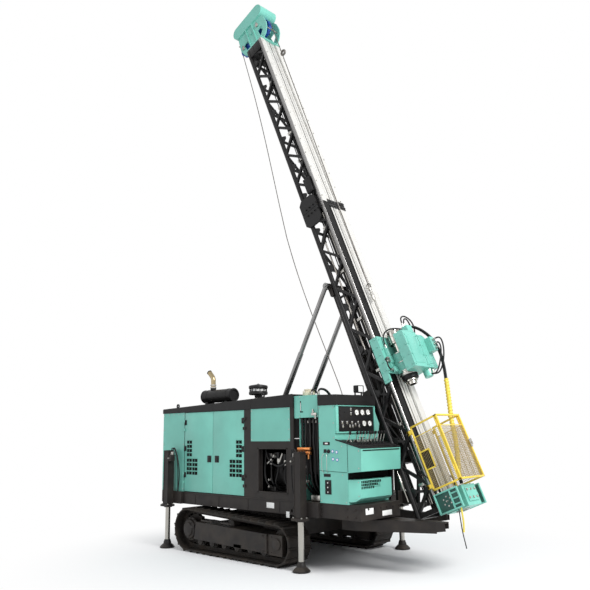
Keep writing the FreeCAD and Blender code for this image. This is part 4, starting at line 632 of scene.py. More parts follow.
def hoses(name, routes, diameter, body, kind, place=BASE, spline="NURBS"):
    """Round lines along smooth routes, as one curve."""
    curve = bpy.data.curves.new(name, "CURVE")
    curve.dimensions = "3D"
    curve.bevel_depth = diameter / 2
    curve.bevel_resolution = 3 if spline == "NURBS" else 1
    curve.resolution_u = 8
    curve.use_fill_caps = True
    for route in routes:
        add_spline(curve, [place @ Vector(spot) for spot in route], spline)
    slot, material = finish(kind)
    made = linked(name, curve, material, slot)
    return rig.ride(made, body) if body else made


def add_spline(curve, spots, kind="NURBS"):
    """One line of a curve, through or near the given places."""
    spline = curve.splines.new(kind)
    spline.points.add(len(spots) - 1)
    for point, spot in zip(spline.points, spots):
        point.co = (*spot, 1.0)
    if kind == "NURBS":
        spline.order_u = 3
        spline.use_endpoint_u = True


def steps(start, end, count):
    """Evenly spaced values from start to end."""
    return [start + (end - start) * index / (count - 1) for index in range(count)]


def as_mesh(made):
    """The same shape as a mesh object, for a line that bends between two bodies."""
    bpy.context.view_layer.update()
    graph = bpy.context.evaluated_depsgraph_get()
    mesh = bpy.data.meshes.new_from_object(made.evaluated_get(graph))
    name, curve, slot = made.name, made.data, made.get("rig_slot")
    bpy.data.objects.remove(made)
    bpy.data.curves.remove(curve)
    made = bpy.data.objects.new(name, mesh)
    bpy.context.scene.collection.objects.link(made)
    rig.slot(made, slot)
    return made


def centreline(route, per_run=10):
    """Points along the smooth line that a route of control points makes."""
    curve = bpy.data.curves.new("route", "CURVE")
    curve.dimensions = "3D"
    curve.resolution_u = per_run
    add_spline(curve, route)
    line = bpy.data.objects.new("route", curve)
    mesh = bpy.data.meshes.new_from_object(line)
    points = [vert.co.copy() for vert in mesh.vertices]
    bpy.data.objects.remove(line)
    bpy.data.curves.remove(curve)
    bpy.data.meshes.remove(mesh)
    return points


def spiral(line, radius, pitch, per_turn=10):
    """Points of a coil wound round a line."""
    points, travelled = [], 0.0
    side = Vector((0.3, 0.8, 0.5))
    step = pitch / per_turn
    for start, end in zip(line, line[1:]):
        way = (end - start).normalized()
        side = (side - way * side.dot(way)).normalized()
        run, offset = (end - start).length, 0.0
        while offset < run:
            angle = 2 * pi * travelled / pitch
            out = side * cos(angle) + way.cross(side) * sin(angle)
            points.append(start + way * offset + out * radius)
            offset += step
            travelled += step
    return points


def fitting(bm, spot, axis, diameter, place=BASE):
    """A hose end: a hexagon nut and its crimped sleeve along axis."""
    spot, way = Vector(spot), Vector(axis).normalized()
    cylinder(bm, spot, spot + way * diameter * 0.9, diameter * 0.75, sides=6, place=place)
    cylinder(bm, spot + way * diameter * 0.8, spot + way * diameter * 2.2, diameter * 0.62, sides=16,
        rounding=diameter * 0.06, place=place)


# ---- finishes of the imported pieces
def node_finishes():
    """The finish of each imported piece."""
    groups = {
        "chassis": ("base_frame", "track_frame_near", "track_frame_far", "house_frame", "tower", "winch_frame",
                    "carrier", "raise_barrel_near", "raise_barrel_far"),
        "rail": ("mast_lower", "mast_upper"),
        "track": ("track_near", "track_far"),
        "panel": ("engine_house", "door_rear", "door_front", "tank_near", "tank_far", "filter_box", "cabinet",
                  "crown", "rotation_head", "foot_clamp", "head_carriage"),
        "trim": ("roof", "cabinet_top", "gauge_panel", "desk_controls", "silencer", "pre_cleaner", "work_light",
                 "canisters", "pumps", "wireline_drum", "hoist_drum"),
        "engine": ("engine",),
        "guard": ("guard_side_near", "guard_side_far", "guard_gate"),
        "sheave": ("sheave_front", "sheave_rear"),
        "slide cap": ("mast_face_lower",),
        "slide": ("mast_face_upper",),
        "chrome": ("spindle", "feed_cylinder"),
        "stay": ("raise_stage_near", "raise_stage_far", "raise_rod_near", "raise_rod_far"),
        "cream": ("filler_cap",)}
    for kind, nodes in groups.items():
        for node in nodes:
            yield node, kind
    for corner in ("front_near", "front_far", "rear_near", "rear_far"):
        yield "jack_housing_" + corner, "chassis"
        yield "jack_leg_" + corner, "chrome"


class RIG_OT_finishes(bpy.types.Operator):
    """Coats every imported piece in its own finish"""
    bl_idname = "rig.finishes"
    bl_label = "Finishes"

    def execute(self, context):
        given = set()
        for node, kind in node_finishes():
            slot, material = finish(kind)
            mesh = frame["nodes"][node].data
            mesh.materials.clear()
            mesh.materials.append(material)
            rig.slot(frame["nodes"][node], slot)
            given.add(node)
        missing = set(frame["nodes"]) - given
        if missing:
            raise RuntimeError("no finish for %s" % ", ".join(sorted(missing)))
        return {"FINISHED"}


# ---- mast
FOLD_T = (MAST.inverted() @ Vector(JOINTS["mast_fold"]["pos_m"])).z
MAST_HALF, RAIL_E1 = 0.235, 0.545
MAST_FOOT, MAST_HEAD = -1.64, 6.72
CHORD_E, CHORD_Y = 0.175, 0.2
BORE_E = 0.682
SECTIONS = (("mast_lower", "mast", MAST_FOOT, FOLD_T), ("mast_upper", "upper_mast", FOLD_T, MAST_HEAD))


class RIG_OT_mast(bpy.types.Operator):
    """Adds slide strips, gussets, pipes, clips, bolts, fold collars, lift rod and junction box to the mast"""
    bl_idname = "rig.mast"
    bl_label = "Mast details"

    def strips(self, name, body, t0, t1):
        bm, dark = bmesh.new(), bmesh.new()
        floor = RAIL_E1 - 0.02
        for y, wide in ((-0.05, 0.036), (0.01, 0.04), (0.07, 0.04)):
            block(bm, (floor, y - wide / 2, t0 + 0.02), (floor + 0.006, y + wide / 2, t1 - 0.02), 0.002, MAST)
        block(bm, (floor + 0.001, 0.125, t0 + 0.02), (floor + 0.0185, 0.131, t1 - 0.02), 0.001, MAST)
        for y in (-0.02, 0.106):
            block(dark, (floor + 0.0002, y - 0.0025, t0 + 0.02), (floor + 0.004, y + 0.0025, t1 - 0.02), 0,
                MAST)
        if body == "mast":
            block(dark, (floor, -0.125, t0 + 0.02), (floor + 0.015, -0.085, t1 - 0.02), 0.003, MAST)
        else:
            block(bm, (floor, -0.118, t0 + 0.02), (floor + 0.008, -0.08, t1 - 0.02), 0.002, MAST)
        piece(name + "_strips", bm, body, "slide")
        piece(name + "_dark_strips", dark, body, "dark", slot="frame_paint")

    def gussets(self, name, body, t0, t1):
        bm = bmesh.new()
        for side in (-1, 1):
            y = side * (CHORD_Y + 0.001)
            for t in steps(t0 + 0.32, t1 - 0.36, max(3, round((t1 - t0) / 0.65))):
                outline = [(CHORD_E + 0.02, y, t - 0.08), (CHORD_E + 0.115, y, t - 0.02),
                    (CHORD_E + 0.115, y, t + 0.02), (CHORD_E + 0.02, y, t + 0.08)]
                prism(bm, outline, (0, side * 0.008, 0), 0.001, MAST)
        piece(name + "_gussets", bm, body, "mast")

    def bolt_rows(self, name, body, t0, t1):
        bm = bmesh.new()
        for side in (-1, 1):
            spots = [(RAIL_E1 + 0.0001, side * 0.215, t)
                for t in steps(t0, t1, max(2, round((t1 - t0) / 0.26)))]
            bolts(bm, spots, AHEAD, 0.019, MAST)
        piece(name, bm, body, "zinc")

    def pipes(self, name, body, t0, t1):
        routes, clips = [], bmesh.new()
        for index, (e, y) in enumerate(((0.405, -0.178), (0.378, -0.17), (0.35, -0.166), (0.32, 0.166))):
            wander = 0.006 * (-1) ** index
            routes.append([(e, y, t0), (e + wander, y, t0 + 0.4), (e, y, t0 + 0.9), (e - wander, y, t1 - 0.7),
                (e, y, t1)])
        hoses(name + "_pipes", routes, sizes().line_diameter, body, "rubber", place=MAST)
        for t in steps(t0 + 0.25, t1 - 0.25, 6):
            block(clips, (0.335, -0.196, t - 0.02), (0.42, -0.154, t + 0.02), 0.004, MAST)
            bolts(clips, [(0.364, -0.196, t), (0.392, -0.196, t)], NEAR, 0.013, MAST)
        piece(name + "_clips", clips, body, "zinc")

    def fold(self):
        """Bolts and collars on either side of the fold."""
        for body, t in (("mast", FOLD_T - 0.055), ("upper_mast", FOLD_T + 0.055)):
            bm = bmesh.new()
            for side in (-1, 1):
                spots = [(e, side * (MAST_HALF + 0.022), t) for e in steps(0.2, 0.5, 5)]
                bolts(bm, spots, (0, side, 0), 0.026, MAST)
            piece("fold_bolts_" + body, bm, body, "mast")
        for body, t0, t1 in (("mast", FOLD_T - 0.075, FOLD_T - 0.004),
                ("upper_mast", FOLD_T + 0.004, FOLD_T + 0.075)):
            bm = bmesh.new()
            blocks(bm, (((0.518, -0.1385, t0), (0.534, 0.1385, t1), 0.003),
                ((0.536, 0.14, t0), (0.552, 0.262, t1), 0.004), ((0.3, -0.15, t0), (0.47, 0.15, t1), 0.006)),
                MAST)
            for y in (-0.105, -0.035, 0.035, 0.105):
                cylinder(bm, (0.534, y, (t0 + t1) / 2), (0.542, y, (t0 + t1) / 2), 0.013, sides=20,
                    rounding=0.002, place=MAST)
            bolts(bm, [(0.552, y, (t0 + t1) / 2) for y in (0.165, 0.205, 0.245)], AHEAD, 0.02, MAST)
            piece("fold_collar_" + body, bm, body, "mast")

    def lift_rod(self):
        """The slim bright rod inside the lower truss, with its black eyes."""
        bright, dark = bmesh.new(), bmesh.new()
        cylinder(bright, (0.285, -0.186, 0.62), (0.285, -0.186, 2.5), 0.013, sides=24, place=MAST)
        for t in (0.62, 1.55, 2.5):
            cylinder(dark, (0.285, -0.186, t - 0.035), (0.285, -0.186, t + 0.035), 0.021, sides=24,
                rounding=0.003, place=MAST)
            bar(dark, (0.285, -0.186, t), (0.2, -0.19, t), 0.02, 0.03, FAR, 0.003, MAST)
        piece("lift_rod", bright, "mast", "worn steel")
        piece("lift_rod_eyes", dark, "mast", "mast")

    def junction_box(self):
        bm = bmesh.new()
        blocks(bm, (((0.335, -0.262, 3.33), (0.465, -0.204, 3.6), 0.008),
            ((0.345, -0.268, 3.345), (0.455, -0.26, 3.585), 0.004)), MAST)
        for spot in ((0.36, 3.36), (0.44, 3.36), (0.36, 3.57), (0.44, 3.57)):
            cylinder(bm, (spot[0], -0.267, spot[1]), (spot[0], -0.273, spot[1]), 0.007, sides=12, place=MAST)
        piece("junction_box", bm, "upper_mast", "trim")
        hoses("junction_cable", [[(0.4, -0.24, 3.6), (0.4, -0.232, 3.8), (0.36, -0.19, 4.1),
            (0.355, -0.172, 4.6)]], 0.012, "upper_mast", "rubber", place=MAST)

    def execute(self, context):
        for name, body, t0, t1 in SECTIONS:
            self.strips(name, body, t0, t1)
            self.gussets(name, body, t0, t1)
            self.pipes(name, body, t0 + 0.12, t1 - 0.14)
        self.bolt_rows("face_bolts_upper", "upper_mast", FOLD_T + 0.1, MAST_HEAD - 0.1)
        self.bolt_rows("face_bolts_foot", "mast", MAST_FOOT + 0.07, -1.45)
        self.fold()
        self.lift_rod()
        self.junction_box()
        return {"FINISHED"}


# ---- crown and ropes
class RIG_OT_crown(bpy.types.Operator):
    """Adds pins, keepers, rope guides, bolts and the foot block to the crown"""
    bl_idname = "rig.crown"
    bl_label = "Crown details"

    def execute(self, context):
        bm, dark = bmesh.new(), bmesh.new()
        for joint in ("sheave_front_turn", "sheave_rear_turn"):
            hub = MAST.inverted() @ Vector(JOINTS[joint]["pos_m"])
            for side in (-1, 1):
                end = side * 0.1785
                cylinder(bm, (hub.x, end, hub.z), (hub.x, end + side * 0.01, hub.z), 0.034, sides=32,
                    rounding=0.002, place=MAST)
                near, far = sorted((side * 0.168, side * 0.18))
                block(bm, (hub.x - 0.012, near, hub.z + 0.03), (hub.x + 0.012, far, hub.z + 0.07), 0.002,
                    MAST)
                bolts(bm, [(hub.x, side * 0.18, hub.z + 0.055)], (0, side, 0), 0.016, MAST)
        for side in (-1, 1):
            face = side * (0.168 + 0.0002)
            spots = [(e, face, MAST_HEAD + 0.02) for e in (0.18, 0.3, 0.37, 0.47, 0.54)]
            bolts(dark, spots, (0, side, 0), 0.024, MAST)
            deck = [(e, side * 0.205, MAST_HEAD + 0.016) for e in (0.18, 0.3, 0.42, 0.53)]
            bolts(dark, deck, UP, 0.026, MAST)
        for e, t in ((0.655, 0.2), (0.3, 0.5), (-0.02, 0.37)):
            cylinder(bm, (e, -0.15, MAST_HEAD + t), (e, 0.15, MAST_HEAD + t), 0.01, sides=16, place=MAST)
        piece("crown_pins", bm, "upper_mast", "worn steel")
        foot = bmesh.new()
        block(foot, (0.155, -0.2365, MAST_HEAD - 0.2), (0.47, 0.2365, MAST_HEAD - 0.004), 0.012, MAST)
        for side in (-1, 1):
            for e in (0.2, 0.31, 0.42):
                bar(foot, (e, side * 0.238, MAST_HEAD - 0.19), (e, side * 0.238, MAST_HEAD - 0.01), 0.014,
                    0.01, AHEAD, 0.002, MAST)
        piece("crown_foot", foot, "upper_mast", "mast")
        piece("crown_bolts", dark, "upper_mast", "zinc")
        return {"FINISHED"}


REAR_ROPE = ((-0.045, -0.09, 6.92), (-0.075, -0.09, 6.45), (-0.12, -0.09, 5.85), (-0.19, -0.09, 5.15),
    (-0.29, -0.09, 4.35), (-0.39, -0.09, 3.6), (-0.45, -0.09, 3.07))
REAR_ROPE_LOW = ((-0.445, -0.09, 3.14), (-0.47, -0.09, 2.75), (-0.48, -0.09, 2.2), (-0.468, -0.09, 1.65),
    (-0.446, -0.09, 1.21))


class RIG_OT_ropes(bpy.types.Operator):
    """Adds the wire ropes with their ring, the wound rope on both drums and the hoist plug"""
    bl_idname = "rig.ropes"
    bl_label = "Ropes"

    def rope_to_winch(self, start, end):
        """The last run of the rear rope, which bends as the mast tilts."""
        route = [start, start.lerp(end, 0.3) + Vector((0.03, 0, 0.02)),
            start.lerp(end, 0.62) + Vector((0.07, 0, 0)), end]
        rope = as_mesh(hoses("rear_rope_to_winch", [route], sizes().rope_diameter, None, "rope"))
        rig.blend(rope, "carrier", "base", start, end)

    def wound(self, name, joint, half, core, radius, body):
        hub = Vector(JOINTS[joint]["pos_m"])
        bm = bmesh.new()
        wide = sizes().rope_diameter
        turns = int(2 * half / wide)
        for index in range(turns):
            y = -half + wide * (index + 0.5)
            ring = [(radius + wide * 0.5 + wide * 0.5 * cos(angle), y + wide * 0.5 * sin(angle))
                for angle in steps(-pi / 2, pi / 2, 5)]
            turned(bm, hub, FAR, [(core, ring[0][1])] + ring + [(core, ring[-1][1])], sides=40, ring=True)
        piece(name, bm, body, "rope")

    def execute(self, context):
        thick = sizes().rope_diameter
        hoses("rear_rope_upper", [REAR_ROPE], thick, "upper_mast", "rope", place=MAST)
        hoses("rear_rope_middle", [REAR_ROPE_LOW], thick, "mast", "rope", place=MAST)
        drum = Vector(JOINTS["wireline_drum_turn"]["pos_m"])
        self.rope_to_winch(mast_point(*REAR_ROPE_LOW[-1]), drum + Vector((0.118, -0.09, 0)))
        front = [(0.69, 0, 7.07), (0.692, 0, 6.6), (0.66, 0, 5.0), (0.63, 0, 3.6), (0.618, 0, 3.0)]
        hoses("hoist_rope_upper", [front], thick * 1.15, "upper_mast", "rope", place=MAST)
        low = [(0.62, 0, 3.12), (0.612, 0, 2.5), (0.602, 0, 1.9), (0.595, 0, 1.5)]
        rope = as_mesh(hoses("hoist_rope_lower", [low], thick * 1.15, None, "rope", place=MAST))
        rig.blend(rope, "head", "mast", mast_point(*low[-1]), mast_point(*low[0]))
        bm = bmesh.new()
        turned(bm, (0.595, 0, 1.3), UP, [(0, 0), (0.012, 0), (0.024, 0.03), (0.024, 0.1), (0.017, 0.115),
            (0.017, 0.16), (0.026, 0.17), (0.026, 0.2), (0.012, 0.22), (0, 0.22)], sides=20, place=MAST)
        for t in (1.35, 1.4):
            cylinder(bm, (0.595, -0.05, t), (0.595, 0.05, t), 0.008, sides=12, rounding=0.001, place=MAST)
        collar(bm, (0.595, 0, 1.535), FAR, 0.03, 0.044, -0.008, 0.008, 24, MAST)
        piece("hoist_plug", bm, "head", "zinc")
        ring = bmesh.new()
        turned(ring, (0.712, 0, 6.26), FAR, [(0.028, -0.014), (0.054, -0.014), (0.06, 0), (0.054, 0.014),
            (0.028, 0.014)], sides=32, ring=True, place=MAST)
        piece("rope_ring", ring, "upper_mast", "rope")
        self.wound("wireline_wound_rope", "wireline_drum_turn", 0.132, 0.0705, 0.112, "wireline_drum")
        self.wound("hoist_wound_rope", "hoist_drum_turn", 0.152, 0.1105, 0.14, "hoist_drum")
        return {"FINISHED"}


# ---- rotation head
COVER_E1, COVER_Y0, COVER_Y1, COVER_SEAM = 0.95, -0.21, 0.322, 0.1


class RIG_OT_head(bpy.types.Operator):
    """Adds cover panels, bolts, fittings, lever, motor and hoses to the rotation head"""
    bl_idname = "rig.head"
    bl_label = "Head details"

    def covers(self):
        bm = bmesh.new()
        front = COVER_E1 + 0.0002
        left = [(front, COVER_Y0 + 0.025, t) for t in steps(0.12, 0.55, 4)]
        middle = [(front, COVER_SEAM + side * 0.028, t) for side in (-1, 1) for t in steps(0.12, 0.54, 4)]
        right = [(front, COVER_Y1 - 0.025, t) for t in steps(0.12, 0.47, 4)]
        bolts(bm, left + middle + right, AHEAD, 0.016, MAST)
        side = [(e, COVER_Y0 - 0.0002, t) for e in (0.83, 0.92) for t in steps(0.13, 0.55, 4)]
        bolts(bm, side, NEAR, 0.014, MAST)
        piece("head_cover_bolts", bm, "head", "panel")
        panel = bmesh.new()
        blocks(panel, (((COVER_E1 - 0.004, COVER_Y0 + 0.045, 0.14),
            (COVER_E1 + 0.006, COVER_SEAM - 0.055, 0.535), 0.01),
            ((COVER_E1 - 0.004, COVER_SEAM + 0.05, 0.14), (COVER_E1 + 0.005, 0.222, 0.29), 0.008)), MAST)
        piece("head_cover_panels", panel, "head", "panel")

    def side_machinery(self):
        bm = bmesh.new()
        blocks(bm, (((0.578, -0.2, 0.165), (0.64, -0.13, 0.235), 0.006),
            ((0.578, -0.2, 0.3), (0.625, -0.125, 0.4), 0.006)), MAST)
        cylinder(bm, (0.6, -0.165, 0.4), (0.6, -0.165, 0.52), 0.026, sides=24, rounding=0.003, place=MAST)
        piece("head_side_valves", bm, "head", "panel")
        bright = bmesh.new()
        for t in (0.2, 0.33, 0.37):
            fitting(bright, (0.605, -0.2, t), NEAR, 0.022, MAST)
        fitting(bright, (0.6, -0.165, 0.52), UP, 0.024, MAST)
        for y in (0, 0.045):
            fitting(bright, (0.87, y, 0.72), UP, 0.026, MAST)
        for y in (0.13, 0.17, 0.21):
            fitting(bright, (0.86, y, 0.57), UP, 0.02, MAST)
        for t in (0.33, 0.39, 0.45):
            fitting(bright, (1.05, 0.273, t), AHEAD, 0.022, MAST)
        fitting(bright, (0.9, 0.15, 0.085), DOWN, 0.03, MAST)
        fitting(bright, (0.9, 0.23, 0.085), DOWN, 0.03, MAST)
        piece("head_fittings", bright, "head", "zinc")

    def motor(self):
        bm = bmesh.new()
        turned(bm, (0.72, 0.205, 0.59), UP, [(0, 0), (0.085, 0), (0.085, 0.022), (0.062, 0.028),
            (0.062, 0.15), (0.07, 0.156), (0.07, 0.186), (0.05, 0.196), (0, 0.196)], sides=36, place=MAST)
        spots = [(0.72 + 0.073 * cos(a), 0.205 + 0.073 * sin(a), 0.612) for a in steps(0.4, 5.1, 4)]
        bolts(bm, spots, UP, 0.018, MAST)
        piece("head_motor", bm, "head", "trim")
        ring = bmesh.new()
        for t, radius in ((0.15, 0.116), (0.275, 0.116), (0.408, 0.116)):
            collar(ring, (BORE_E, 0, t), UP, 0.108, radius, -0.006, 0.006, 48, MAST)
        turned(ring, (BORE_E, 0, 0.085), UP, [(0.06, 0), (0.118, 0), (0.121, 0.006), (0.121, 0.03),
            (0.116, 0.036), (0.06, 0.036)], sides=64, ring=True, place=MAST)
        piece("head_barrel_rings", ring, "head", "zinc")
        jaws = bmesh.new()
        turned(jaws, (BORE_E, 0, 0.02), UP, [(0.06, 0), (0.096, 0), (0.11, 0.014), (0.112, 0.064),
            (0.06, 0.064)], sides=64, ring=True, place=MAST)
        piece("head_lower_seal", jaws, "head", "trim")

    def lever(self):
        bm = bmesh.new()
        cylinder(bm, (0.88, 0.322, 0.335), (0.88, 0.352, 0.335), 0.02, sides=20, rounding=0.002, place=MAST)
        bar(bm, (0.88, 0.345, 0.335), (0.945, 0.352, 0.425), 0.01, 0.018, FAR, 0.003, MAST)
        turned(bm, (0.955, 0.353, 0.44), (0.065, 0.007, 0.09),
            [(0, -0.02), (0.012, -0.018), (0.015, 0), (0.012, 0.018), (0, 0.02)], sides=16, place=MAST)
        piece("head_lever", bm, "head", "trim")

    def spindle_teeth(self):
        bm = bmesh.new()
        for index in range(6):
            way = around(pi / 3 * index)
            spot = Vector((BORE_E, 0, 0)) + way * 0.091
            bolts(bm, [spot + Vector((0, 0, t)) for t in (0.62, 0.7)], way, 0.02, MAST)
        turned(bm, (BORE_E, 0, 0.74), UP, [(0.049, -0.004), (0.078, -0.004), (0.07, 0.014), (0.049, 0.014)],
            sides=40, ring=True, place=MAST)
        for t in (0.585, 0.66):
            collar(bm, (BORE_E, 0, t), UP, 0.088, 0.0955, -0.005, 0.005, 48, MAST)
        piece("chuck_details", bm, "spindle", "worn steel")

    def execute(self, context):
        self.covers()
        self.side_machinery()
        self.motor()
        self.lever()
        self.spindle_teeth()
        line = sizes().line_diameter
        routes = [[(0.87, 0, 0.775), (0.87, 0, 0.86), (0.9, 0.08, 0.89), (0.93, 0.16, 0.8), (0.9, 0.21, 0.68),
            (0.86, 0.21, 0.62)], [(0.87, 0.045, 0.775), (0.88, 0.06, 0.85), (0.9, 0.12, 0.84),
            (0.88, 0.17, 0.72), (0.86, 0.17, 0.615)], [(0.6, -0.165, 0.57), (0.6, -0.165, 0.65),
            (0.64, -0.15, 0.74), (0.74, -0.08, 0.77), (0.84, -0.03, 0.7)],
            [(0.605, -0.248, 0.37), (0.605, -0.29, 0.36), (0.62, -0.3, 0.28), (0.61, -0.29, 0.22),
            (0.605, -0.248, 0.2)], [(1.105, 0.273, 0.45), (1.16, 0.28, 0.45), (1.17, 0.3, 0.38),
            (1.13, 0.31, 0.25), (1.05, 0.3, 0.1), (0.95, 0.26, -0.01), (0.9, 0.23, 0.025)],
            [(1.105, 0.273, 0.39), (1.14, 0.27, 0.38), (1.13, 0.25, 0.25), (1.02, 0.19, 0.03),
            (0.94, 0.155, -0.02), (0.9, 0.15, 0.025)]]
        hoses("head_hoses", routes, line * 1.25, "head", "rubber", place=MAST)
        return {"FINISHED"}


class RIG_OT_carriage(bpy.types.Operator):
    """Adds bolts to the head's carriage"""
    bl_idname = "rig.carriage"
    bl_label = "Head carriage details"

    def execute(self, context):
        bm = bmesh.new()
        for side in (-1, 1):
            face = side * 0.2622
            spots = [(e, face, t) for e in (0.46, 0.535) for t in steps(0.1, 0.68, 6)]
            bolts(bm, spots, (0, side, 0), 0.02, MAST)
        bolts(bm, [(0.5755, y, t) for y in (-0.235, 0.235) for t in steps(0.22, 0.66, 4)], AHEAD, 0.022, MAST)
        piece("carriage_bolts", bm, "head", "panel")
        return {"FINISHED"}


# ---- rod guard and foot clamp
GUARD_LOW, GUARD_HIGH, GUARD_SIDE = -1.411, -0.591, 0.261


class RIG_OT_guard(bpy.types.Operator):
    """Builds the rod guard's frames and gate, with wire mesh, the small window and the catch"""
    bl_idname = "rig.guard"
    bl_label = "Rod guard"

    def mesh(self, bm, start, along, up, wide, tall):
        """Crossed wires that fill a frame."""
        start, along, up = Vector(start), Vector(along), Vector(up)
        wire, pitch = sizes().mesh_wire, sizes().mesh_pitch
        out = along.cross(up)
        for index in range(1, int(wide / pitch)):
            foot = start + along * pitch * index + out * wire * 0.35
            bar(bm, foot, foot + up * tall, wire, wire, along, 0, MAST)
        for index in range(1, int(tall / pitch)):
            foot = start + up * pitch * index - out * wire * 0.35
            bar(bm, foot, foot + along * wide, wire, wire, up, 0, MAST)

    def execute(self, context):
        low, high = GUARD_LOW, GUARD_HIGH
        for name, side in (("near", -1), ("far", 1)):
            frame_bars, y = bmesh.new(), side * GUARD_SIDE
            for t in (low + 0.011, high - 0.011):
                block(frame_bars, (0.557, y - 0.011, t - 0.011), (0.96, y + 0.011, t + 0.011), 0.004, MAST)
            for e in (0.568, 0.949):
                block(frame_bars, (e - 0.011, y - 0.011, low), (e + 0.011, y + 0.011, high), 0.004, MAST)
            bar(frame_bars, (0.568, y, -0.735), (0.949, y, -0.735), 0.01, 0.01, FAR, 0.002, MAST)
            for t in (low + 0.065, high - 0.065):
                near, far = sorted((side * MAST_HALF, side * 0.272))
                blocks(frame_bars, (((0.495, side * GUARD_SIDE - 0.011, t - 0.025),
                    (0.562, side * GUARD_SIDE + 0.011, t + 0.025), 0.003),
                    ((0.495, near, t - 0.025), (0.525, far, t + 0.025), 0.003)), MAST)
            wires = bmesh.new()
            self.mesh(wires, (0.57, y, low + 0.02), AHEAD, UP, 0.375, 0.66)
            piece("guard_mesh_" + name, wires, "mast", "guard mesh")
            if side < 0:
                for t0, t1 in ((-1.3, -1.26), (-0.74, -0.7)):
                    cylinder(frame_bars, (0.958, -0.283, t0), (0.958, -0.283, t1), 0.008, sides=16,
                        place=MAST)
                for t in (-0.93, -1.155):
                    block(frame_bars, (0.568, y - 0.008, t - 0.009), (0.718, y + 0.008, t + 0.009), 0.003,
                        MAST)
                block(frame_bars, (0.702, y - 0.008, -1.16), (0.718, y + 0.008, -0.925), 0.003, MAST)
            made = piece("guard_frame_" + name, frame_bars, "mast", "guard")
            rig.replaces(made, "guard_side_" + name)
        # A dark sheet behind the small window: painted shade inside the guard.
        dark = bmesh.new()
        block(dark, (0.578, -0.263, -1.147), (0.703, -0.26, -0.938), 0.001, MAST)
        piece("guard_window_painted_shade", dark, "mast", "dark")
        gate, wires = bmesh.new(), bmesh.new()
        self.mesh(wires, (0.9765, -0.27, low + 0.02), FAR, UP, 0.54, 0.66)
        piece("guard_mesh_gate", wires, "gate", "guard mesh")
        for t in (low + 0.011, high - 0.011):
            block(gate, (0.965, -0.275, t - 0.011), (0.987, 0.275, t + 0.011), 0.004, MAST)
        for y in (-0.264, 0.264):
            block(gate, (0.965, y - 0.011, low), (0.987, y + 0.011, high), 0.004, MAST)
        bar(gate, (0.976, -0.27, -0.735), (0.976, 0.27, -0.735), 0.01, 0.01, AHEAD, 0.002, MAST)
        for t in (-1.2397, -0.6797):
            cylinder(gate, (0.958, -0.283, t - 0.02), (0.958, -0.283, t + 0.02), 0.008, sides=16, place=MAST)
        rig.replaces(piece("guard_gate_frame", gate, "gate", "guard"), "guard_gate")
        catch = bmesh.new()
        block(catch, (0.9902, 0.235, -1.03), (0.9985, 0.272, -0.93), 0.002, MAST)
        cylinder(catch, (0.998, 0.253, -0.98), (1.02, 0.253, -0.98), 0.01, sides=16, rounding=0.001,
            place=MAST)
        bar(catch, (1.016, 0.253, -1.01), (1.016, 0.253, -0.93), 0.012, 0.008, FAR, 0.002, MAST)
        piece("guard_catch", catch, "gate", "zinc")
        return {"FINISHED"}


CLAMP_FRONT, CLAMP_SIDE = 0.8862, 0.2452


class RIG_OT_clamp(bpy.types.Operator):
    """Adds bolts, ports, rims of the bore, side ribs, pockets and hoses to the foot clamp"""
    bl_idname = "rig.clamp"
    bl_label = "Foot clamp"

    def execute(self, context):
        bm = bmesh.new()
        bolts(bm, [(CLAMP_FRONT, y, t) for y in (-0.085, 0, 0.085) for t in (-1.61, -1.515)], AHEAD, 0.026,
            MAST)
        tops = [(e, y, -1.4498) for e in (0.585, 0.84) for y in (-0.12, 0.12)]
        bolts(bm, tops, UP, 0.026, MAST)
        for side in (-1, 1):
            bolts(bm, [(BORE_E + 0.055 * cos(a), side * CLAMP_SIDE, -1.575 + 0.055 * sin(a))
                for a in steps(0.5, 5.7, 6)], (0, side, 0), 0.02, MAST)
            fitting(bm, (BORE_E, side * 0.245, -1.575), (0, side, 0), 0.014, MAST)
            fitting(bm, (0.575, side * 0.215, -1.45), UP, 0.02, MAST)
        collar(bm, (BORE_E, 0, -1.45), UP, 0.0625, 0.092, -0.004, 0.01, 48, MAST)
        collar(bm, (BORE_E, 0, -1.7), UP, 0.0625, 0.086, -0.012, 0.004, 48, MAST)
        piece("clamp_fasteners", bm, "mast", "zinc")
        ribs, pocket = bmesh.new(), bmesh.new()
        for side in (-1, 1):
            face, lip, well = side * CLAMP_SIDE, side * 0.268, side * 0.2485
            # A darker green plate between the ribs on each side: painted shade in the pocket.
            block(pocket, (0.54, min(face, well), -1.682), (0.862, max(face, well), -1.468), 0.001, MAST)
            low, high = sorted((face, lip))
            for e0, e1, t0, t1 in ((0.525, 0.545, -1.697, -1.453), (0.855, 0.875, -1.697, -1.453),
                    (0.545, 0.855, -1.697, -1.68), (0.545, 0.855, -1.47, -1.453),
                    (0.745, 0.763, -1.68, -1.47)):
                block(ribs, (e0, low, t0), (e1, high, t1), 0.002, MAST)
            for t in (-1.51, -1.575, -1.64):
                cylinder(ribs, (0.765, side * 0.256, t), (0.855, side * 0.256, t), 0.009, sides=20,
                    place=MAST)
        piece("clamp_ribs", ribs, "mast", "panel")
        piece("clamp_pocket_painted_shade", pocket, "mast", "pocket")
        line = sizes().line_diameter
        routes = []
        for side, e, y in ((-1, 0.405, -0.178), (1, 0.32, 0.166)):
            routes.append([(0.575, side * 0.215, -1.415), (0.575, side * 0.215, -1.36),
                (0.575, side * 0.232, -1.28), (0.52, side * 0.254, -1.22), (0.44, side * 0.225, -1.12),
                (e, y, -1.05), (e, y, -1.0)])
        hoses("clamp_hoses", routes, line, "mast", "rubber", place=MAST)
        return {"FINISHED"}


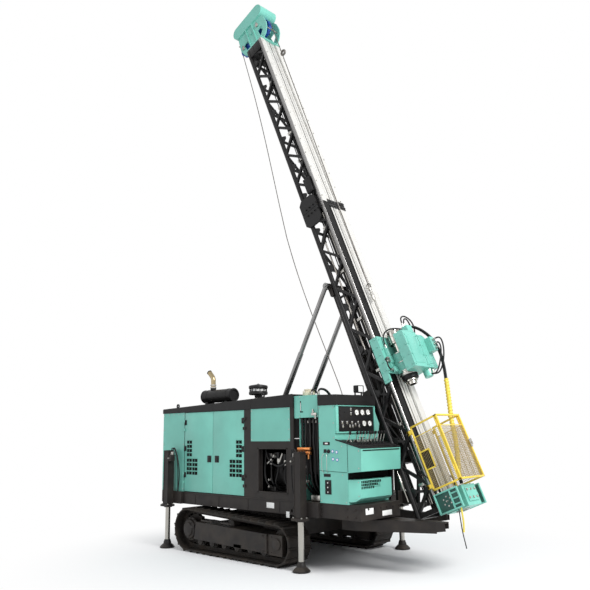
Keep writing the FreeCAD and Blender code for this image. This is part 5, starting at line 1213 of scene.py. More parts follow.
# ---- hoses from the head to the foot
TRAIL_HEAD = ((0.88, 0.06, 0.7), (0.9, 0.14, 0.735), (0.96, 0.26, 0.66), (1.02, 0.345, 0.5),
    (1.05, 0.355, 0.3), (1.04, 0.325, 0.1), (1.01, 0.285, -0.1), (0.96, 0.245, -0.35), (0.915, 0.19, -0.59))
TRAIL_MAST = ((0.913, 0.19, -0.57), (0.905, 0.13, -0.8), (0.895, 0.06, -1.0), (0.87, -0.02, -1.2),
    (0.835, -0.05, -1.33), (0.825, -0.03, -1.42))
SLEEVE_END = ((2.385, -0.11, 0.79), (2.405, -0.12, 0.7), (2.415, -0.12, 0.6), (2.408, -0.12, 0.51))
DRAIN_END = ((2.36, -0.12, 0.775), (2.375, -0.125, 0.66), (2.395, -0.125, 0.5), (2.418, -0.115, 0.38),
    (2.424, -0.11, 0.33))


class RIG_OT_trailing_hoses(bpy.types.Operator):
    """Adds the hoses that hang from the head to the foot, with their yellow wrap, and the drain hose"""
    bl_idname = "rig.trailing_hoses"
    bl_label = "Trailing hoses"

    def execute(self, context):
        wide = sizes().hose_diameter
        bottom, top = mast_point(*TRAIL_HEAD[-1]), mast_point(*TRAIL_HEAD[3])
        upper, lower = [], []
        for shift, side in ((-0.011, -0.006), (0.011, -0.006), (0, 0.013)):
            upper.append([mast_point(e - shift, y + side, t) for e, y, t in TRAIL_HEAD])
            lower.append([mast_point(e - shift, y + side, t) for e, y, t in TRAIL_MAST])
        made = as_mesh(hoses("head_trailing_hoses", upper, wide, None, "rubber"))
        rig.blend(made, "mast", "head", bottom, top)
        hoses("foot_trailing_hoses", lower, wide, "mast", "rubber")
        upper_line = centreline([mast_point(*spot) for spot in TRAIL_HEAD])[62:]
        lower_line = centreline([mast_point(*spot) for spot in TRAIL_MAST])[:-3]
        for name, line in (("head", upper_line), ("foot", lower_line)):
            sleeve = hoses(name + "_hose_sleeve", [line], wide * 2.4, None, "wrap", spline="POLY")
            ridge = hoses(name + "_hose_wrap", [spiral(line, wide * 1.2, 0.045)], 0.012, None, "guard",
                spline="POLY")
            for made in (sleeve, ridge):
                if name == "head":
                    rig.blend(as_mesh(made), "mast", "head", bottom, top)
                else:
                    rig.ride(made, "mast")
        ends = bmesh.new()
        for route in lower:
            fitting(ends, route[-1], -UP_MAST, wide * 0.45)
        piece("trailing_hose_ends", ends, "mast", "zinc")
        hoses("drain_sleeve", [SLEEVE_END], wide * 0.85, "mast", "wrap")
        hoses("drain_hose", [DRAIN_END], wide * 0.5, "mast", "rubber")
        return {"FINISHED"}


# ---- tracks, frame and jacks
FRAME_SIDE, FRAME_FRONT = 0.95, 1.5602
SPROCKET, IDLER = (-1.62, 0.309), (0.25, 0.272)
ROLLERS = tuple(-1.385 + 0.27 * index for index in range(6))


def around(angle):
    """A level direction at an angle."""
    return Vector((cos(angle), sin(angle), 0))


def ring_of(centre, axis, radius, count, start=0):
    """Places spaced evenly on a circle round an axis that lies along y or x."""
    centre = Vector(centre)
    across = Vector(UP)
    other = Vector(axis).cross(across)
    return [centre + (across * cos(a) + other * sin(a)) * radius
        for a in (start + 2 * pi * index / count for index in range(count))]


class RIG_OT_tracks(bpy.types.Operator):
    """Adds the drive covers, roller caps, idler hubs and bolts of both tracks"""
    bl_idname = "rig.tracks"
    bl_label = "Track details"

    def execute(self, context):
        for name, side in (("near", -1), ("far", 1)):
            out = (0, side, 0)
            bm = bmesh.new()
            turned(bm, (SPROCKET[0], side * 0.985, SPROCKET[1]), out,
                [(0, 0), (0.165, 0), (0.165, 0.022), (0.138, 0.03), (0.13, 0.058), (0.098, 0.066),
                (0.092, 0.084), (0.036, 0.09), (0, 0.09)], sides=48)
            turned(bm, (IDLER[0] - 0.02, side * 1.03, IDLER[1]), out,
                [(0, 0), (0.075, 0), (0.07, 0.018), (0.03, 0.026), (0, 0.026)], sides=32)
            for x in ROLLERS:
                turned(bm, (x, side * 1.0, 0.15), out,
                    [(0, 0), (0.052, 0), (0.05, 0.016), (0.024, 0.022), (0, 0.022)], sides=24)
            block(bm, (-0.6, side * 1.045 - 0.01, 0.15), (-0.44, side * 1.045 + 0.01, 0.205), 0.004)
            for x0, x1 in ((-1.3, -1.05), (-0.86, -0.62)):
                bar(bm, (x0, side * 1.066, 0.455), (x1, side * 1.066, 0.452), 0.006, 0.02, FAR)
            piece("track_covers_" + name, bm, "base", "chassis")
            bright = bmesh.new()
            bolts(bright, ring_of((SPROCKET[0], side * 1.0072, SPROCKET[1]), out, 0.151, 12), out, 0.02)
            bolts(bright, ring_of((SPROCKET[0], side * 1.0432, SPROCKET[1]), out, 0.112, 8, 0.2), out, 0.016)
            bolts(bright, [(x, side * 1.0652, z) for x in (0, 0.17) for z in (0.17, 0.36)], out, 0.018)
            piece("track_bolts_" + name, bright, "base", "chassis")
        return {"FINISHED"}


class RIG_OT_frame(bpy.types.Operator):
    """Adds blank plates, lashing eyes, ribs and bolts to the main frame, and the strut at the mast's foot"""
    bl_idname = "rig.frame"
    bl_label = "Frame details"

    def execute(self, context):
        plates = bmesh.new()
        for x, wide, z, tall in ((0.03, 0.145, 0.735, 0.07), (0.356, 0.06, 0.64, 0.075)):
            block(plates, (x - wide / 2, -FRAME_SIDE - 0.0025, z - tall / 2),
                (x + wide / 2, -FRAME_SIDE - 0.0002, z + tall / 2), 0.001)
        for y, wide, z, tall in ((-0.785, 0.15, 0.745, 0.07), (-0.445, 0.19, 0.7, 0.06),
                (0.69, 0.15, 0.745, 0.07)):
            block(plates, (FRAME_FRONT, y - wide / 2, z - tall / 2), (1.5628, y + wide / 2, z + tall / 2),
                0.001)
        for x in (-1.9, -0.4):
            block(plates, (x - 0.07, FRAME_SIDE + 0.0002, 0.7), (x + 0.07, FRAME_SIDE + 0.0025, 0.765), 0.001)
        piece("frame_blank_plates", plates, "base", "white")
        bm = bmesh.new()
        for side in (-1, 1):
            for x in (-1.95, 0.45):
                spot = Vector((x, side * (FRAME_SIDE + 0.009), 0.695))
                collar(bm, spot, (0, side, 0), 0.022, 0.04, -0.01, 0.01, 28)
            bar(bm, (-2.45, side * (FRAME_SIDE + 0.003), 0.806), (0.58, side * (FRAME_SIDE + 0.003), 0.806),
                0.004, 0.022, FAR)
            for x in (-1.6, -1.05, -0.42, 0.2):
                bar(bm, (x, side * (FRAME_SIDE + 0.0025), 0.655), (x, side * (FRAME_SIDE + 0.0025), 0.792),
                    0.005, 0.014, FAR)
        piece("frame_eyes", bm, "base", "chassis")
        heads = bmesh.new()
        bolts(heads, [(x, -FRAME_SIDE - 0.0002, z) for x in (0.82, 0.95, 1.35, 1.48) for z in (0.68, 0.77)],
            NEAR, sizes().bolt_size)
        bolts(heads, [(FRAME_FRONT, y, 0.77) for y in steps(-0.93, -0.2, 7)], AHEAD, sizes().bolt_size)
        bolts(heads, [(-2.4595, y, z) for y in steps(-0.85, 0.85, 8) for z in (0.68, 0.77)], BACK,
            sizes().bolt_size)
        piece("frame_bolts", heads, "base", "chassis")
        strut = bmesh.new()
        cylinder(strut, (1.5, -0.13, 1.18), (1.66, -0.13, 0.8), 0.011, sides=16, rounding=0.002)
        cylinder(strut, (1.52, -0.13, 1.132), (1.6, -0.13, 0.943), 0.018, sides=20, rounding=0.003)
        piece("foot_strut", strut, "mast", "chrome")
        return {"FINISHED"}


JACKS_AT, JACK_OUT = (("front", 0.68), ("rear", -2.146)), 1.05


class RIG_OT_jacks(bpy.types.Operator):
    """Builds the jack legs with their pads, and adds glands, flange bolts, valves and hoses"""
    bl_idname = "rig.jacks"
    bl_label = "Jacks"

    def execute(self, context):
        for end, x in JACKS_AT:
            for name, side in (("near", -1), ("far", 1)):
                tag, y = end + "_" + name, side * JACK_OUT
                leg = bmesh.new()
                turned(leg, (x, y, 0), UP, [(0, 0.07), (0.038, 0.07), (0.038, 0.995), (0.034, 1.0), (0, 1.0)],
                    sides=40)
                made = piece("jack_rod_" + tag, leg, "jack_leg_" + tag, "chrome")
                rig.replaces(made, "jack_leg_" + tag)
                pad = bmesh.new()
                turned(pad, (x, y, 0), UP, [(0, 0), (0.106, 0), (0.11, 0.006), (0.11, 0.018), (0.1, 0.026),
                    (0.082, 0.046), (0.06, 0.062), (0.056, 0.088), (0.052, 0.096), (0.045, 0.118),
                    (0.04, 0.122), (0, 0.122)], sides=48)
                piece("jack_pad_" + tag, pad, "jack_leg_" + tag, "trim")
                near, far = sorted((side * 0.995, side * 1.125))
                shell = bmesh.new()
                collar(shell, (x, y, 0.588), UP, 0.0395, 0.062, 0, 0.014, 40)
                block(shell, (x - 0.055, near + 0.012, 1.423), (x + 0.055, far - 0.004, 1.433), 0.004)
                bar(shell, (x - 0.052, side * 1.1075, 0.64), (x - 0.052, side * 1.1075, 1.405), 0.006, 0.012,
                    FAR)
                bar(shell, (x + 0.052, side * 1.1075, 0.64), (x + 0.052, side * 1.1075, 1.405), 0.006, 0.012,
                    FAR)
                valve = x + (0.085 if end == "rear" else -0.085)
                block(shell, (valve - 0.032, near + 0.02, 1.27), (valve + 0.032, near + 0.1, 1.365), 0.006)
                wall = x + copysign(0.07, valve - x)
                block(shell, (min(wall, valve), near + 0.04, 1.29), (max(wall, valve), near + 0.08, 1.345),
                    0.003)
                piece("jack_shell_" + tag, shell, "base", "chassis")
                heads = bmesh.new()
                spots = [(x + dx, y + side * 0.012 + dy, 0.6302) for dx in (-0.072, 0.072)
                    for dy in (-0.045, 0.045)]
                bolts(heads, spots, UP, 0.022)
                for dx in (-0.018, 0.018):
                    fitting(heads, (valve + dx, (near + far) / 2 - side * 0.005, 1.365), UP, 0.02)
                cylinder(heads, (valve, near + 0.1 if side > 0 else near + 0.02, 1.315),
                    (valve, far + 0.012 if side > 0 else near - 0.006, 1.315), 0.012, sides=6)
                piece("jack_fittings_" + tag, heads, "base", "zinc")
                y0 = (near + far) / 2 - side * 0.005
                away = 0.1 if end == "rear" else -0.1
                routes = [[(valve + dx, y0, 1.405), (valve + dx, y0, 1.45),
                    (valve + dx + away * 0.35, y0, 1.475), (valve + away * 0.75, y0 - side * 0.02, 1.42),
                    (valve + away * (0.8 + lean), y0 - side * 0.055, 1.2),
                    (valve + away * (0.75 + lean), y0 - side * 0.062, 0.95),
                    (valve + away * 0.7, y0 - side * 0.066, 0.8)] for dx,
                    lean in ((-0.018, 0), (0.018, 0.35))]
                hoses("jack_hoses_" + tag, routes, 0.015, "base", "rubber")
        return {"FINISHED"}


# ---- raising stays
class RIG_OT_stays(bpy.types.Operator):
    """Adds glands and foot pins to the telescopic stays of the mast"""
    bl_idname = "rig.stays"
    bl_label = "Stay details"

    def execute(self, context):
        for name in ("near", "far"):
            foot = Vector(JOINTS["raise_pivot_" + name]["pos_m"])
            way = Vector(JOINTS["raise_rod_" + name]["axis"]).normalized()
            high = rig.box("raise_barrel_" + name)[1]
            reach = (high.z - foot.z - 0.035) / way.z
            bm = bmesh.new()
            turned(bm, foot + way * (reach - 0.115), way,
                [(0.0495, 0), (0.056, 0), (0.058, 0.008), (0.058, 0.062), (0.054, 0.074), (0.0495, 0.074)],
                sides=40, ring=True)
            piece("stay_gland_" + name, bm, "raise_barrel_" + name, "trim")
            pin = bmesh.new()
            for side in (-1, 1):
                cylinder(pin, foot + Y * side * 0.07, foot + Y * side * 0.088, 0.028, sides=28,
                    rounding=0.003)
            piece("stay_foot_pin_" + name, pin, "base", "worn steel")
        return {"FINISHED"}


# ---- engine house
SIDE = 0.95
LOUVRE_TALL, LOUVRE_WIDE, LOUVRE_PITCH, LOUVRE_STEP = 0.045, 0.124, 0.0625, 0.14
HINGE_HEIGHTS = (1.07, 1.46, 1.85)
DOORS = (("door_rear", -1.8855, -1.1955, -1), ("door_front", -1.1905, -0.5005, 1))


class RIG_OT_doors(bpy.types.Operator):
    """Builds both house doors with their louvres, latches and hinges"""
    bl_idname = "rig.doors"
    bl_label = "House doors"

    def execute(self, context):
        for name, x0, x1, hand in DOORS:
            leaf = bmesh.new()
            block(leaf, (x0, -SIDE, 0.826), (x1, -SIDE + 0.03, 1.996), 0.005)
            inner, outer = (x0 + 0.125, x0 + 0.125 + LOUVRE_STEP) if hand < 0 else (x1 - 0.105,
                x1 - 0.105 - LOUVRE_STEP)
            slots = [(inner, 1.552 - LOUVRE_PITCH * row) for row in range(4)]
            slots += [(x, 1.283 - LOUVRE_PITCH * row) for x in (inner, outer) for row in range(4)]
            made = piece(name + "_leaf", leaf, name, "panel")
            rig.replaces(made, name)
            dark, blades = bmesh.new(), bmesh.new()
            # Each slot is a dark block, painted shade in the louvre's opening, with a lip above it and a divider
            # across it.
            for x, z in slots:
                block(dark, (x - LOUVRE_WIDE / 2, -SIDE - 0.0012, z - LOUVRE_TALL / 2),
                    (x + LOUVRE_WIDE / 2, -SIDE + 0.004, z + LOUVRE_TALL / 2), 0.001)
                block(blades, (x - 0.002, -SIDE - 0.005, z - LOUVRE_TALL / 2),
                    (x + 0.002, -SIDE, z + LOUVRE_TALL / 2), 0.001)
                bar(blades, (x - LOUVRE_WIDE / 2, -SIDE - 0.005, z + LOUVRE_TALL / 2 + 0.004),
                    (x + LOUVRE_WIDE / 2, -SIDE - 0.005, z + LOUVRE_TALL / 2 + 0.004), 0.012, 0.005, FAR)
            piece(name + "_louvre_painted_shade", dark, name, "dark")
            piece(name + "_louvre_lips", blades, name, "panel")
            latch = bmesh.new()
            x = (x1 - 0.075) if hand < 0 else (x0 + 0.095)
            blocks(latch, (((x - 0.046, -SIDE - 0.006, 1.262), (x + 0.046, -SIDE, 1.358), 0.006),
                ((x - 0.028, -SIDE - 0.014, 1.272), (x + 0.02, -SIDE - 0.004, 1.334), 0.004)))
            cylinder(latch, (x + 0.004, -SIDE - 0.004, 1.346), (x + 0.004, -SIDE - 0.012, 1.346), 0.008,
                sides=16)
            piece(name + "_latch", latch, name, "trim")
            pins = bmesh.new()
            edge = x0 + 0.006 if hand < 0 else x1 - 0.006
            for z in HINGE_HEIGHTS:
                cylinder(pins, (edge, -SIDE - 0.007, z - 0.045), (edge, -SIDE - 0.007, z + 0.04), 0.0075,
                    sides=16, rounding=0.001)
                near, far = sorted((edge, edge - hand * 0.042))
                block(pins, (near, -SIDE - 0.004, z - 0.04), (far, -SIDE, z + 0.035), 0.001)
                bolts(pins, [((near + far) / 2 - hand * 0.006, -SIDE - 0.004, z + dz)
                    for dz in (-0.025, 0.02)], NEAR, 0.01)
            piece(name + "_hinges", pins, name, "trim")
        return {"FINISHED"}


class RIG_OT_house(bpy.types.Operator):
    """Adds panel seams, screws, painted shade behind the grilles, latches and hinges to the engine house"""
    bl_idname = "rig.house"
    bl_label = "House details"

    def execute(self, context):
        seams = bmesh.new()
        block(seams, (-1.8925, -SIDE - 0.0015, 0.826), (-1.8865, -SIDE + 0.004, 1.996), 0.001)
        for x in (-1.43, -0.5):
            block(seams, (x - 0.003, SIDE - 0.004, 0.83), (x + 0.003, SIDE + 0.0012, 1.99), 0)
        for y in (-0.72, 0.72):
            block(seams, (-2.4602, y - 0.003, 0.83), (-2.455, y + 0.003, 1.99), 0)
        for x in (-1.36, -0.6):
            block(seams, (x - 0.03, SIDE, 1.36), (x + 0.03, SIDE + 0.012, 1.46), 0.005)
        block(seams, (-2.472, -0.62, 1.3), (-2.459, -0.56, 1.4), 0.005)
        for z in HINGE_HEIGHTS:
            for x in (-1.43, -0.5):
                cylinder(seams, (x, SIDE + 0.006, z - 0.045), (x, SIDE + 0.006, z + 0.045), 0.008, sides=16)
            cylinder(seams, (-2.466, 0.72, z - 0.045), (-2.466, 0.72, z + 0.045), 0.008, sides=16)
        piece("house_seams", seams, "base", "trim")
        # Black sheets just inside the far and rear walls: painted shade behind their grilles.
        grille_shade = bmesh.new()
        blocks(grille_shade, (((-2.42, SIDE - 0.05, 0.95), (-0.95, SIDE - 0.042, 1.86), 0.002),
            ((-2.425, -0.76, 0.95), (-2.417, 0.76, 1.9), 0.002)))
        piece("house_grille_painted_shade", grille_shade, "base", "dark")
        heads = bmesh.new()
        left = [(-2.435, -SIDE, z) for z in steps(0.86, 1.96, 6)] + [(-1.915, -SIDE, z)
            for z in steps(0.86, 1.96, 6)]
        left += [(x, -SIDE, z) for x in steps(-2.3, -2.05, 3) for z in (0.845, 1.975)]
        bolts(heads, left, NEAR, 0.012)
        far = [(x, SIDE, z) for x in (-2.435, -1.455, -1.405, -0.525, -0.38) for z in steps(0.86, 1.96, 6)]
        bolts(heads, far, FAR, 0.012)
        bolts(heads, [(-2.4592, y, z) for y in (-0.93, -0.74, 0.74, 0.93) for z in steps(0.86, 1.96, 6)],
            BACK, 0.012)
        bolts(heads, [(x, -SIDE, z) for x in (-0.335, 0.395) for z in steps(1.585, 1.975, 4)], NEAR, 0.012)
        piece("house_screws", heads, "base", "zinc")
        return {"FINISHED"}


# ---- roof
ROOF_REAR, ROOF_FRONT, ROOF_LOW, ROOF_HIGH = -2.459, 0.456, 2.065, 2.167


class RIG_OT_roof(bpy.types.Operator):
    """Adds drip edges, seams, lifting eyes and screws to the roof"""
    bl_idname = "rig.roof"
    bl_label = "Roof details"

    def execute(self, context):
        bm = bmesh.new()
        slope = (ROOF_HIGH - ROOF_LOW) / (ROOF_FRONT - ROOF_REAR)

        def height(x):
            return ROOF_LOW + slope * (x - ROOF_REAR)

        for side in (-1, 1):
            y = side * 0.952
            bar(bm, (-2.468, y, height(-2.468) + 0.001), (0.47, y, height(0.47) + 0.001), 0.01, 0.008, FAR)
            bar(bm, (-2.468, side * 0.9545, 2.008), (0.47, side * 0.9545, 2.008), 0.006, 0.014, FAR)
            for x in (-1.2, -0.36):
                bar(bm, (x, side * 0.9585, 2.012), (x, side * 0.9585, height(x) - 0.004), 0.0025, 0.01, FAR)
        for x, runs in ((-1.89, ((-0.945, 0.945),)), (-1.19, ((-0.945, -0.275), (0.515, 0.945))),
                (-0.36, ((-0.945, -0.275), (0.515, 0.945)))):
            for y0, y1 in runs:
                bar(bm, (x, y0, height(x) + 0.003), (x, y1, height(x) + 0.003), 0.03, 0.006, AHEAD)
        for x in (-2.2, -0.2):
            for y in (-0.86, 0.86):
                collar(bm, (x, y, height(x) + 0.038), FAR, 0.016, 0.034, -0.008, 0.008, 24)
                block(bm, (x - 0.045, y - 0.022, height(x) - 0.004), (x + 0.045, y + 0.022, height(x) + 0.01),
                    0.003)
        for index in range(14):
            x = -0.1 + 0.034 * index
            bar(bm, (x, 0.56, height(x) + 0.003), (x, 0.88, height(x) + 0.003), 0.014, 0.006, AHEAD)
        piece("roof_seams", bm, "base", "trim")
        heads = bmesh.new()
        spots = [(x, y, height(x)) for x in steps(-2.4, 0.38, 9) for y in (-0.915, 0.915)]
        bolts(heads, spots, UP, 0.016)
        piece("roof_screws", heads, "base", "zinc")
        return {"FINISHED"}


STACK_X, STRAPS = -1.694, (-1.78, -1.3)


class RIG_OT_exhaust(bpy.types.Operator):
    """Builds the silencer with its straps, clamps and heat-tinted stack"""
    bl_idname = "rig.exhaust"
    bl_label = "Silencer and stack"

    def execute(self, context):
        axis_z, y, x0 = 2.252, -0.55, -1.895
        body = bmesh.new()
        turned(body, (x0, y, axis_z), AHEAD, [(0, 0.012), (0.07, 0.012), (0.074, 0), (0.099, 0),
            (0.105, 0.008), (0.105, 0.02), (0.101, 0.026), (0.101, 0.689), (0.105, 0.695), (0.105, 0.707),
            (0.099, 0.715), (0.074, 0.715), (0.07, 0.703), (0, 0.703)], sides=56)
        for x in STRAPS:
            collar(body, (x, y, axis_z), AHEAD, 0.1, 0.1045, -0.022, 0.022, 56)
            blocks(body, (((x - 0.03, y - 0.075, 2.089), (x + 0.03, y + 0.075, 2.165), 0.006),
                ((x - 0.05, y - 0.1, 2.085), (x + 0.05, y + 0.1, 2.097), 0.003)))
        cylinder(body, (STACK_X, y, axis_z + 0.08), (STACK_X, y, axis_z + 0.14), 0.046, sides=32,
            rounding=0.004)
        cylinder(body, (-1.42, y + 0.02, 2.085), (-1.42, y + 0.02, axis_z - 0.08), 0.05, sides=32)
        made = piece("silencer_body", body, "base", "trim")
        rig.replaces(made, "silencer")
        rings = bmesh.new()
        for z in (axis_z + 0.14, axis_z + 0.176):
            collar(rings, (STACK_X, y, z), UP, 0.036, 0.0475, -0.01, 0.01, 36)
        bolts(rings, [(STACK_X, y - 0.0475, axis_z + 0.14), (STACK_X, y - 0.0475, axis_z + 0.176)], NEAR,
            0.014)
        for x in STRAPS:
            bolts(rings, [(x, y - 0.086, 2.097), (x, y + 0.086, 2.097)], UP, 0.02)
        piece("exhaust_clamps", rings, "base", "zinc")
        route = [(STACK_X, y, axis_z + 0.13), (STACK_X, y, 2.46), (STACK_X, y, 2.535), (-1.745, y, 2.59),
            (-1.8, y, 2.64)]
        curve = hoses("exhaust_stack", [route], 0.076, "base", "brass")
        curve.data.bevel_resolution = 8
        # A dark rim round the stack's end, and a dark disc just past its capped end: painted shade in the open mouth.
        tip = bmesh.new()
        way = (Vector(route[-1]) - Vector(route[-2])).normalized()
        turned(tip, Vector(route[-1]) - way * 0.004, way,
            [(0.036, -0.01), (0.0405, -0.008), (0.0405, 0.006), (0.036, 0.008)], sides=40, ring=True)
        cylinder(tip, Vector(route[-1]) + way * 0.0008, Vector(route[-1]) + way * 0.0016, 0.036, sides=40)
        piece("exhaust_tip_and_mouth_shade", tip, "base", "dark")
        return {"FINISHED"}


class RIG_OT_pre_cleaner(bpy.types.Operator):
    """Builds the intake pre-cleaner: stem, bowl, pale band, clamp and dome"""
    bl_idname = "rig.pre_cleaner"
    bl_label = "Pre-cleaner"

    def execute(self, context):
        spot = Vector((-0.624, -0.56, 2.128))
        dark = bmesh.new()
        turned(dark, spot, UP, [(0, 0), (0.052, 0), (0.052, 0.07), (0.056, 0.074), (0.056, 0.086),
            (0.06, 0.09), (0.124, 0.094), (0.138, 0.103), (0.14, 0.128), (0.132, 0.146), (0, 0.148)],
            sides=64)
        turned(dark, spot, UP, [(0, 0.184), (0.132, 0.184), (0.141, 0.192), (0.142, 0.212), (0.134, 0.23),
            (0.1, 0.238), (0.05, 0.247), (0.018, 0.25), (0.016, 0.258), (0, 0.259)], sides=64)
        for index in range(12):
            a = 2 * pi * index / 12
            way = around(a)
            foot = spot + way * 0.118 + Z * 0.14
            bar(dark, foot, foot + Z * 0.052, 0.003, 0.03, way.cross(Z), 0.0005)
        made = piece("pre_cleaner_body", dark, "base", "trim")
        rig.replaces(made, "pre_cleaner")
        bowl = bmesh.new()
        turned(bowl, spot, UP, [(0.1, 0.146), (0.112, 0.146), (0.114, 0.166), (0.112, 0.186), (0.1, 0.186)],
            sides=64, ring=True)
        piece("pre_cleaner_bowl", bowl, "base", "white")
        band = bmesh.new()
        collar(band, spot, UP, 0.053, 0.0575, 0.03, 0.048, 40)
        bolts(band, [spot + Vector((0, -0.0575, 0.039))], NEAR, 0.012)
        cylinder(band, spot + Z * 0.2585, spot + Z * 0.2588 , 0.01, sides=16)
        piece("pre_cleaner_clamp", band, "base", "zinc")
        return {"FINISHED"}


class RIG_OT_work_light(bpy.types.Operator):
    """Builds the work light with its yoke, cooling ribs and lens"""
    bl_idname = "rig.work_light"
    bl_label = "Work light"

    def execute(self, context):
        low, high = (1.136, -0.5, 2.164), (1.208, -0.38, 2.26)
        shell = bmesh.new()
        block(shell, low, high, 0.01)
        for index in range(5):
            y = -0.485 + 0.0225 * index
            block(shell, (1.128, y, 2.176), (1.14, y + 0.008, 2.25), 0.002)
        for z0, z1 in ((2.166, 2.174), (2.25, 2.258)):
            block(shell, (1.206, -0.497, z0), (1.219, -0.383, z1), 0.002)
        for y0, y1 in ((-0.4985, -0.49), (-0.39, -0.3815)):
            block(shell, (1.206, y0, 2.166), (1.219, y1, 2.258), 0.002)
        for y in (-0.504, -0.376):
            bar(shell, (1.17, y, 2.13), (1.17, y, 2.218), 0.022, 0.006, AHEAD)
        block(shell, (1.155, -0.507, 2.1285), (1.185, -0.373, 2.1365), 0.002)
        made = piece("work_light_shell", shell, "base", "trim")
        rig.replaces(made, "work_light")
        lens = bmesh.new()
        block(lens, (1.2075, -0.49, 2.1735), (1.2135, -0.39, 2.2505), 0.003)
        piece("work_light_lens", lens, "base", "white")
        return {"FINISHED"}


# ---- pump bay
class RIG_OT_pump_bay(bpy.types.Operator):
    """Adds the window's lip, painted shade inside the bay, fittings and hoses of the pump bay"""
    bl_idname = "rig.pump_bay"
    bl_label = "Pump bay"

    def execute(self, context):
        lip = bmesh.new()
        for z0, z1 in ((0.887, 0.905), (1.458, 1.476)):
            block(lip, (-0.221, -SIDE - 0.003, z0), (0.367, -SIDE + 0.055, z1), 0.003)
        for x0, x1 in ((-0.221, -0.196), (0.342, 0.367)):
            block(lip, (x0, -SIDE - 0.003, 0.887), (x1, -SIDE + 0.055, 1.476), 0.003)
        for x in (-0.19, 0.336):
            bar(lip, (x, -SIDE + 0.052, 0.9), (x, -SIDE + 0.052, 1.462), 0.03, 0.006, AHEAD)
        piece("pump_window_lip", lip, "base", "chassis")
        # Black sheets on the bay's back, top, end and floor: painted shade inside the bay.
        dark = bmesh.new()
        blocks(dark, (((-0.345, -0.262, 0.825), (0.475, -0.25, 1.555), 0.002),
            ((-0.345, -0.9, 1.548), (0.475, -0.262, 1.557), 0.002),
            ((-0.352, -0.89, 0.825), (-0.345, -0.262, 1.55), 0.002),
            ((-0.345, -0.89, 0.8205), (0.43, -0.262, 0.826), 0.002)))
        piece("pump_bay_painted_shade", dark, "base", "dark")
        iron = bmesh.new()
        for x, z in ((-0.1, 1.36), (0.04, 1.37), (0.17, 1.35)):
            block(iron, (x - 0.045, -0.84, z - 0.04), (x + 0.045, -0.74, z + 0.045), 0.008)
        turned(iron, (0.22, -0.74, 1.1), NEAR, [(0, 0), (0.085, 0), (0.085, 0.025), (0.06, 0.032),
            (0.06, 0.06), (0.03, 0.066), (0, 0.066)], sides=36)
        block(iron, (-0.2, -0.8, 0.83), (-0.02, -0.66, 0.96), 0.01)
        piece("pump_bay_valves", iron, "base", "trim")
        bright = bmesh.new()
        for x, z in ((-0.1, 1.3), (0.04, 1.31), (0.17, 1.29)):
            fitting(bright, (x, -0.8, z + 0.022), DOWN, 0.032)
        turned(bright, (0.015, -0.842, 1.365), (-0.4, -1, 0.3),
            [(0, -0.01), (0.03, -0.01), (0.03, 0.03), (0.022, 0.036), (0.022, 0.06), (0, 0.06)], sides=24)
        cylinder(bright, (0.165, -0.845, 1.4), (0.115, -0.86, 1.285), 0.013, sides=20, rounding=0.002)
        cylinder(bright, (-0.03, -0.858, 1.325), (-0.12, -0.862, 1.262), 0.012, sides=20, rounding=0.002)
        bolts(bright, ring_of((0.22, -0.7652, 1.1), NEAR, 0.072, 6), NEAR, 0.016)
        for z in (1.02, 1.11):
            fitting(bright, (-0.11, -0.8, z - 0.06), NEAR, 0.024)
        piece("pump_bay_fittings", bright, "base", "zinc")
        routes = []
        for x, z, wide in ((-0.1, 1.25, 0.03), (0.04, 1.26, -0.02), (0.17, 1.24, 0.02)):
            routes.append([(x, -0.8, z), (x, -0.8, z - 0.08), (x + wide, -0.83, z - 0.2),
                (x + wide * 2, -0.82, 1.0), (x + wide, -0.74, 0.9), (x, -0.6, 0.86)])
        routes.append([(-0.16, -0.84, 1.52), (-0.15, -0.86, 1.4), (-0.05, -0.87, 1.28), (0.1, -0.86, 1.22),
            (0.24, -0.85, 1.28), (0.3, -0.83, 1.42), (0.31, -0.8, 1.53)])
        routes.append([(-0.19, -0.8, 1.53), (-0.17, -0.85, 1.3), (-0.16, -0.87, 1.1), (-0.12, -0.85, 0.97),
            (-0.02, -0.76, 0.9)])
        hoses("pump_bay_hoses", routes, sizes().hose_diameter, "base", "rubber")
        return {"FINISHED"}


# ---- filter bay
HOSE_PORTS = (0.6, 0.665, 0.735, 0.805, 0.87)


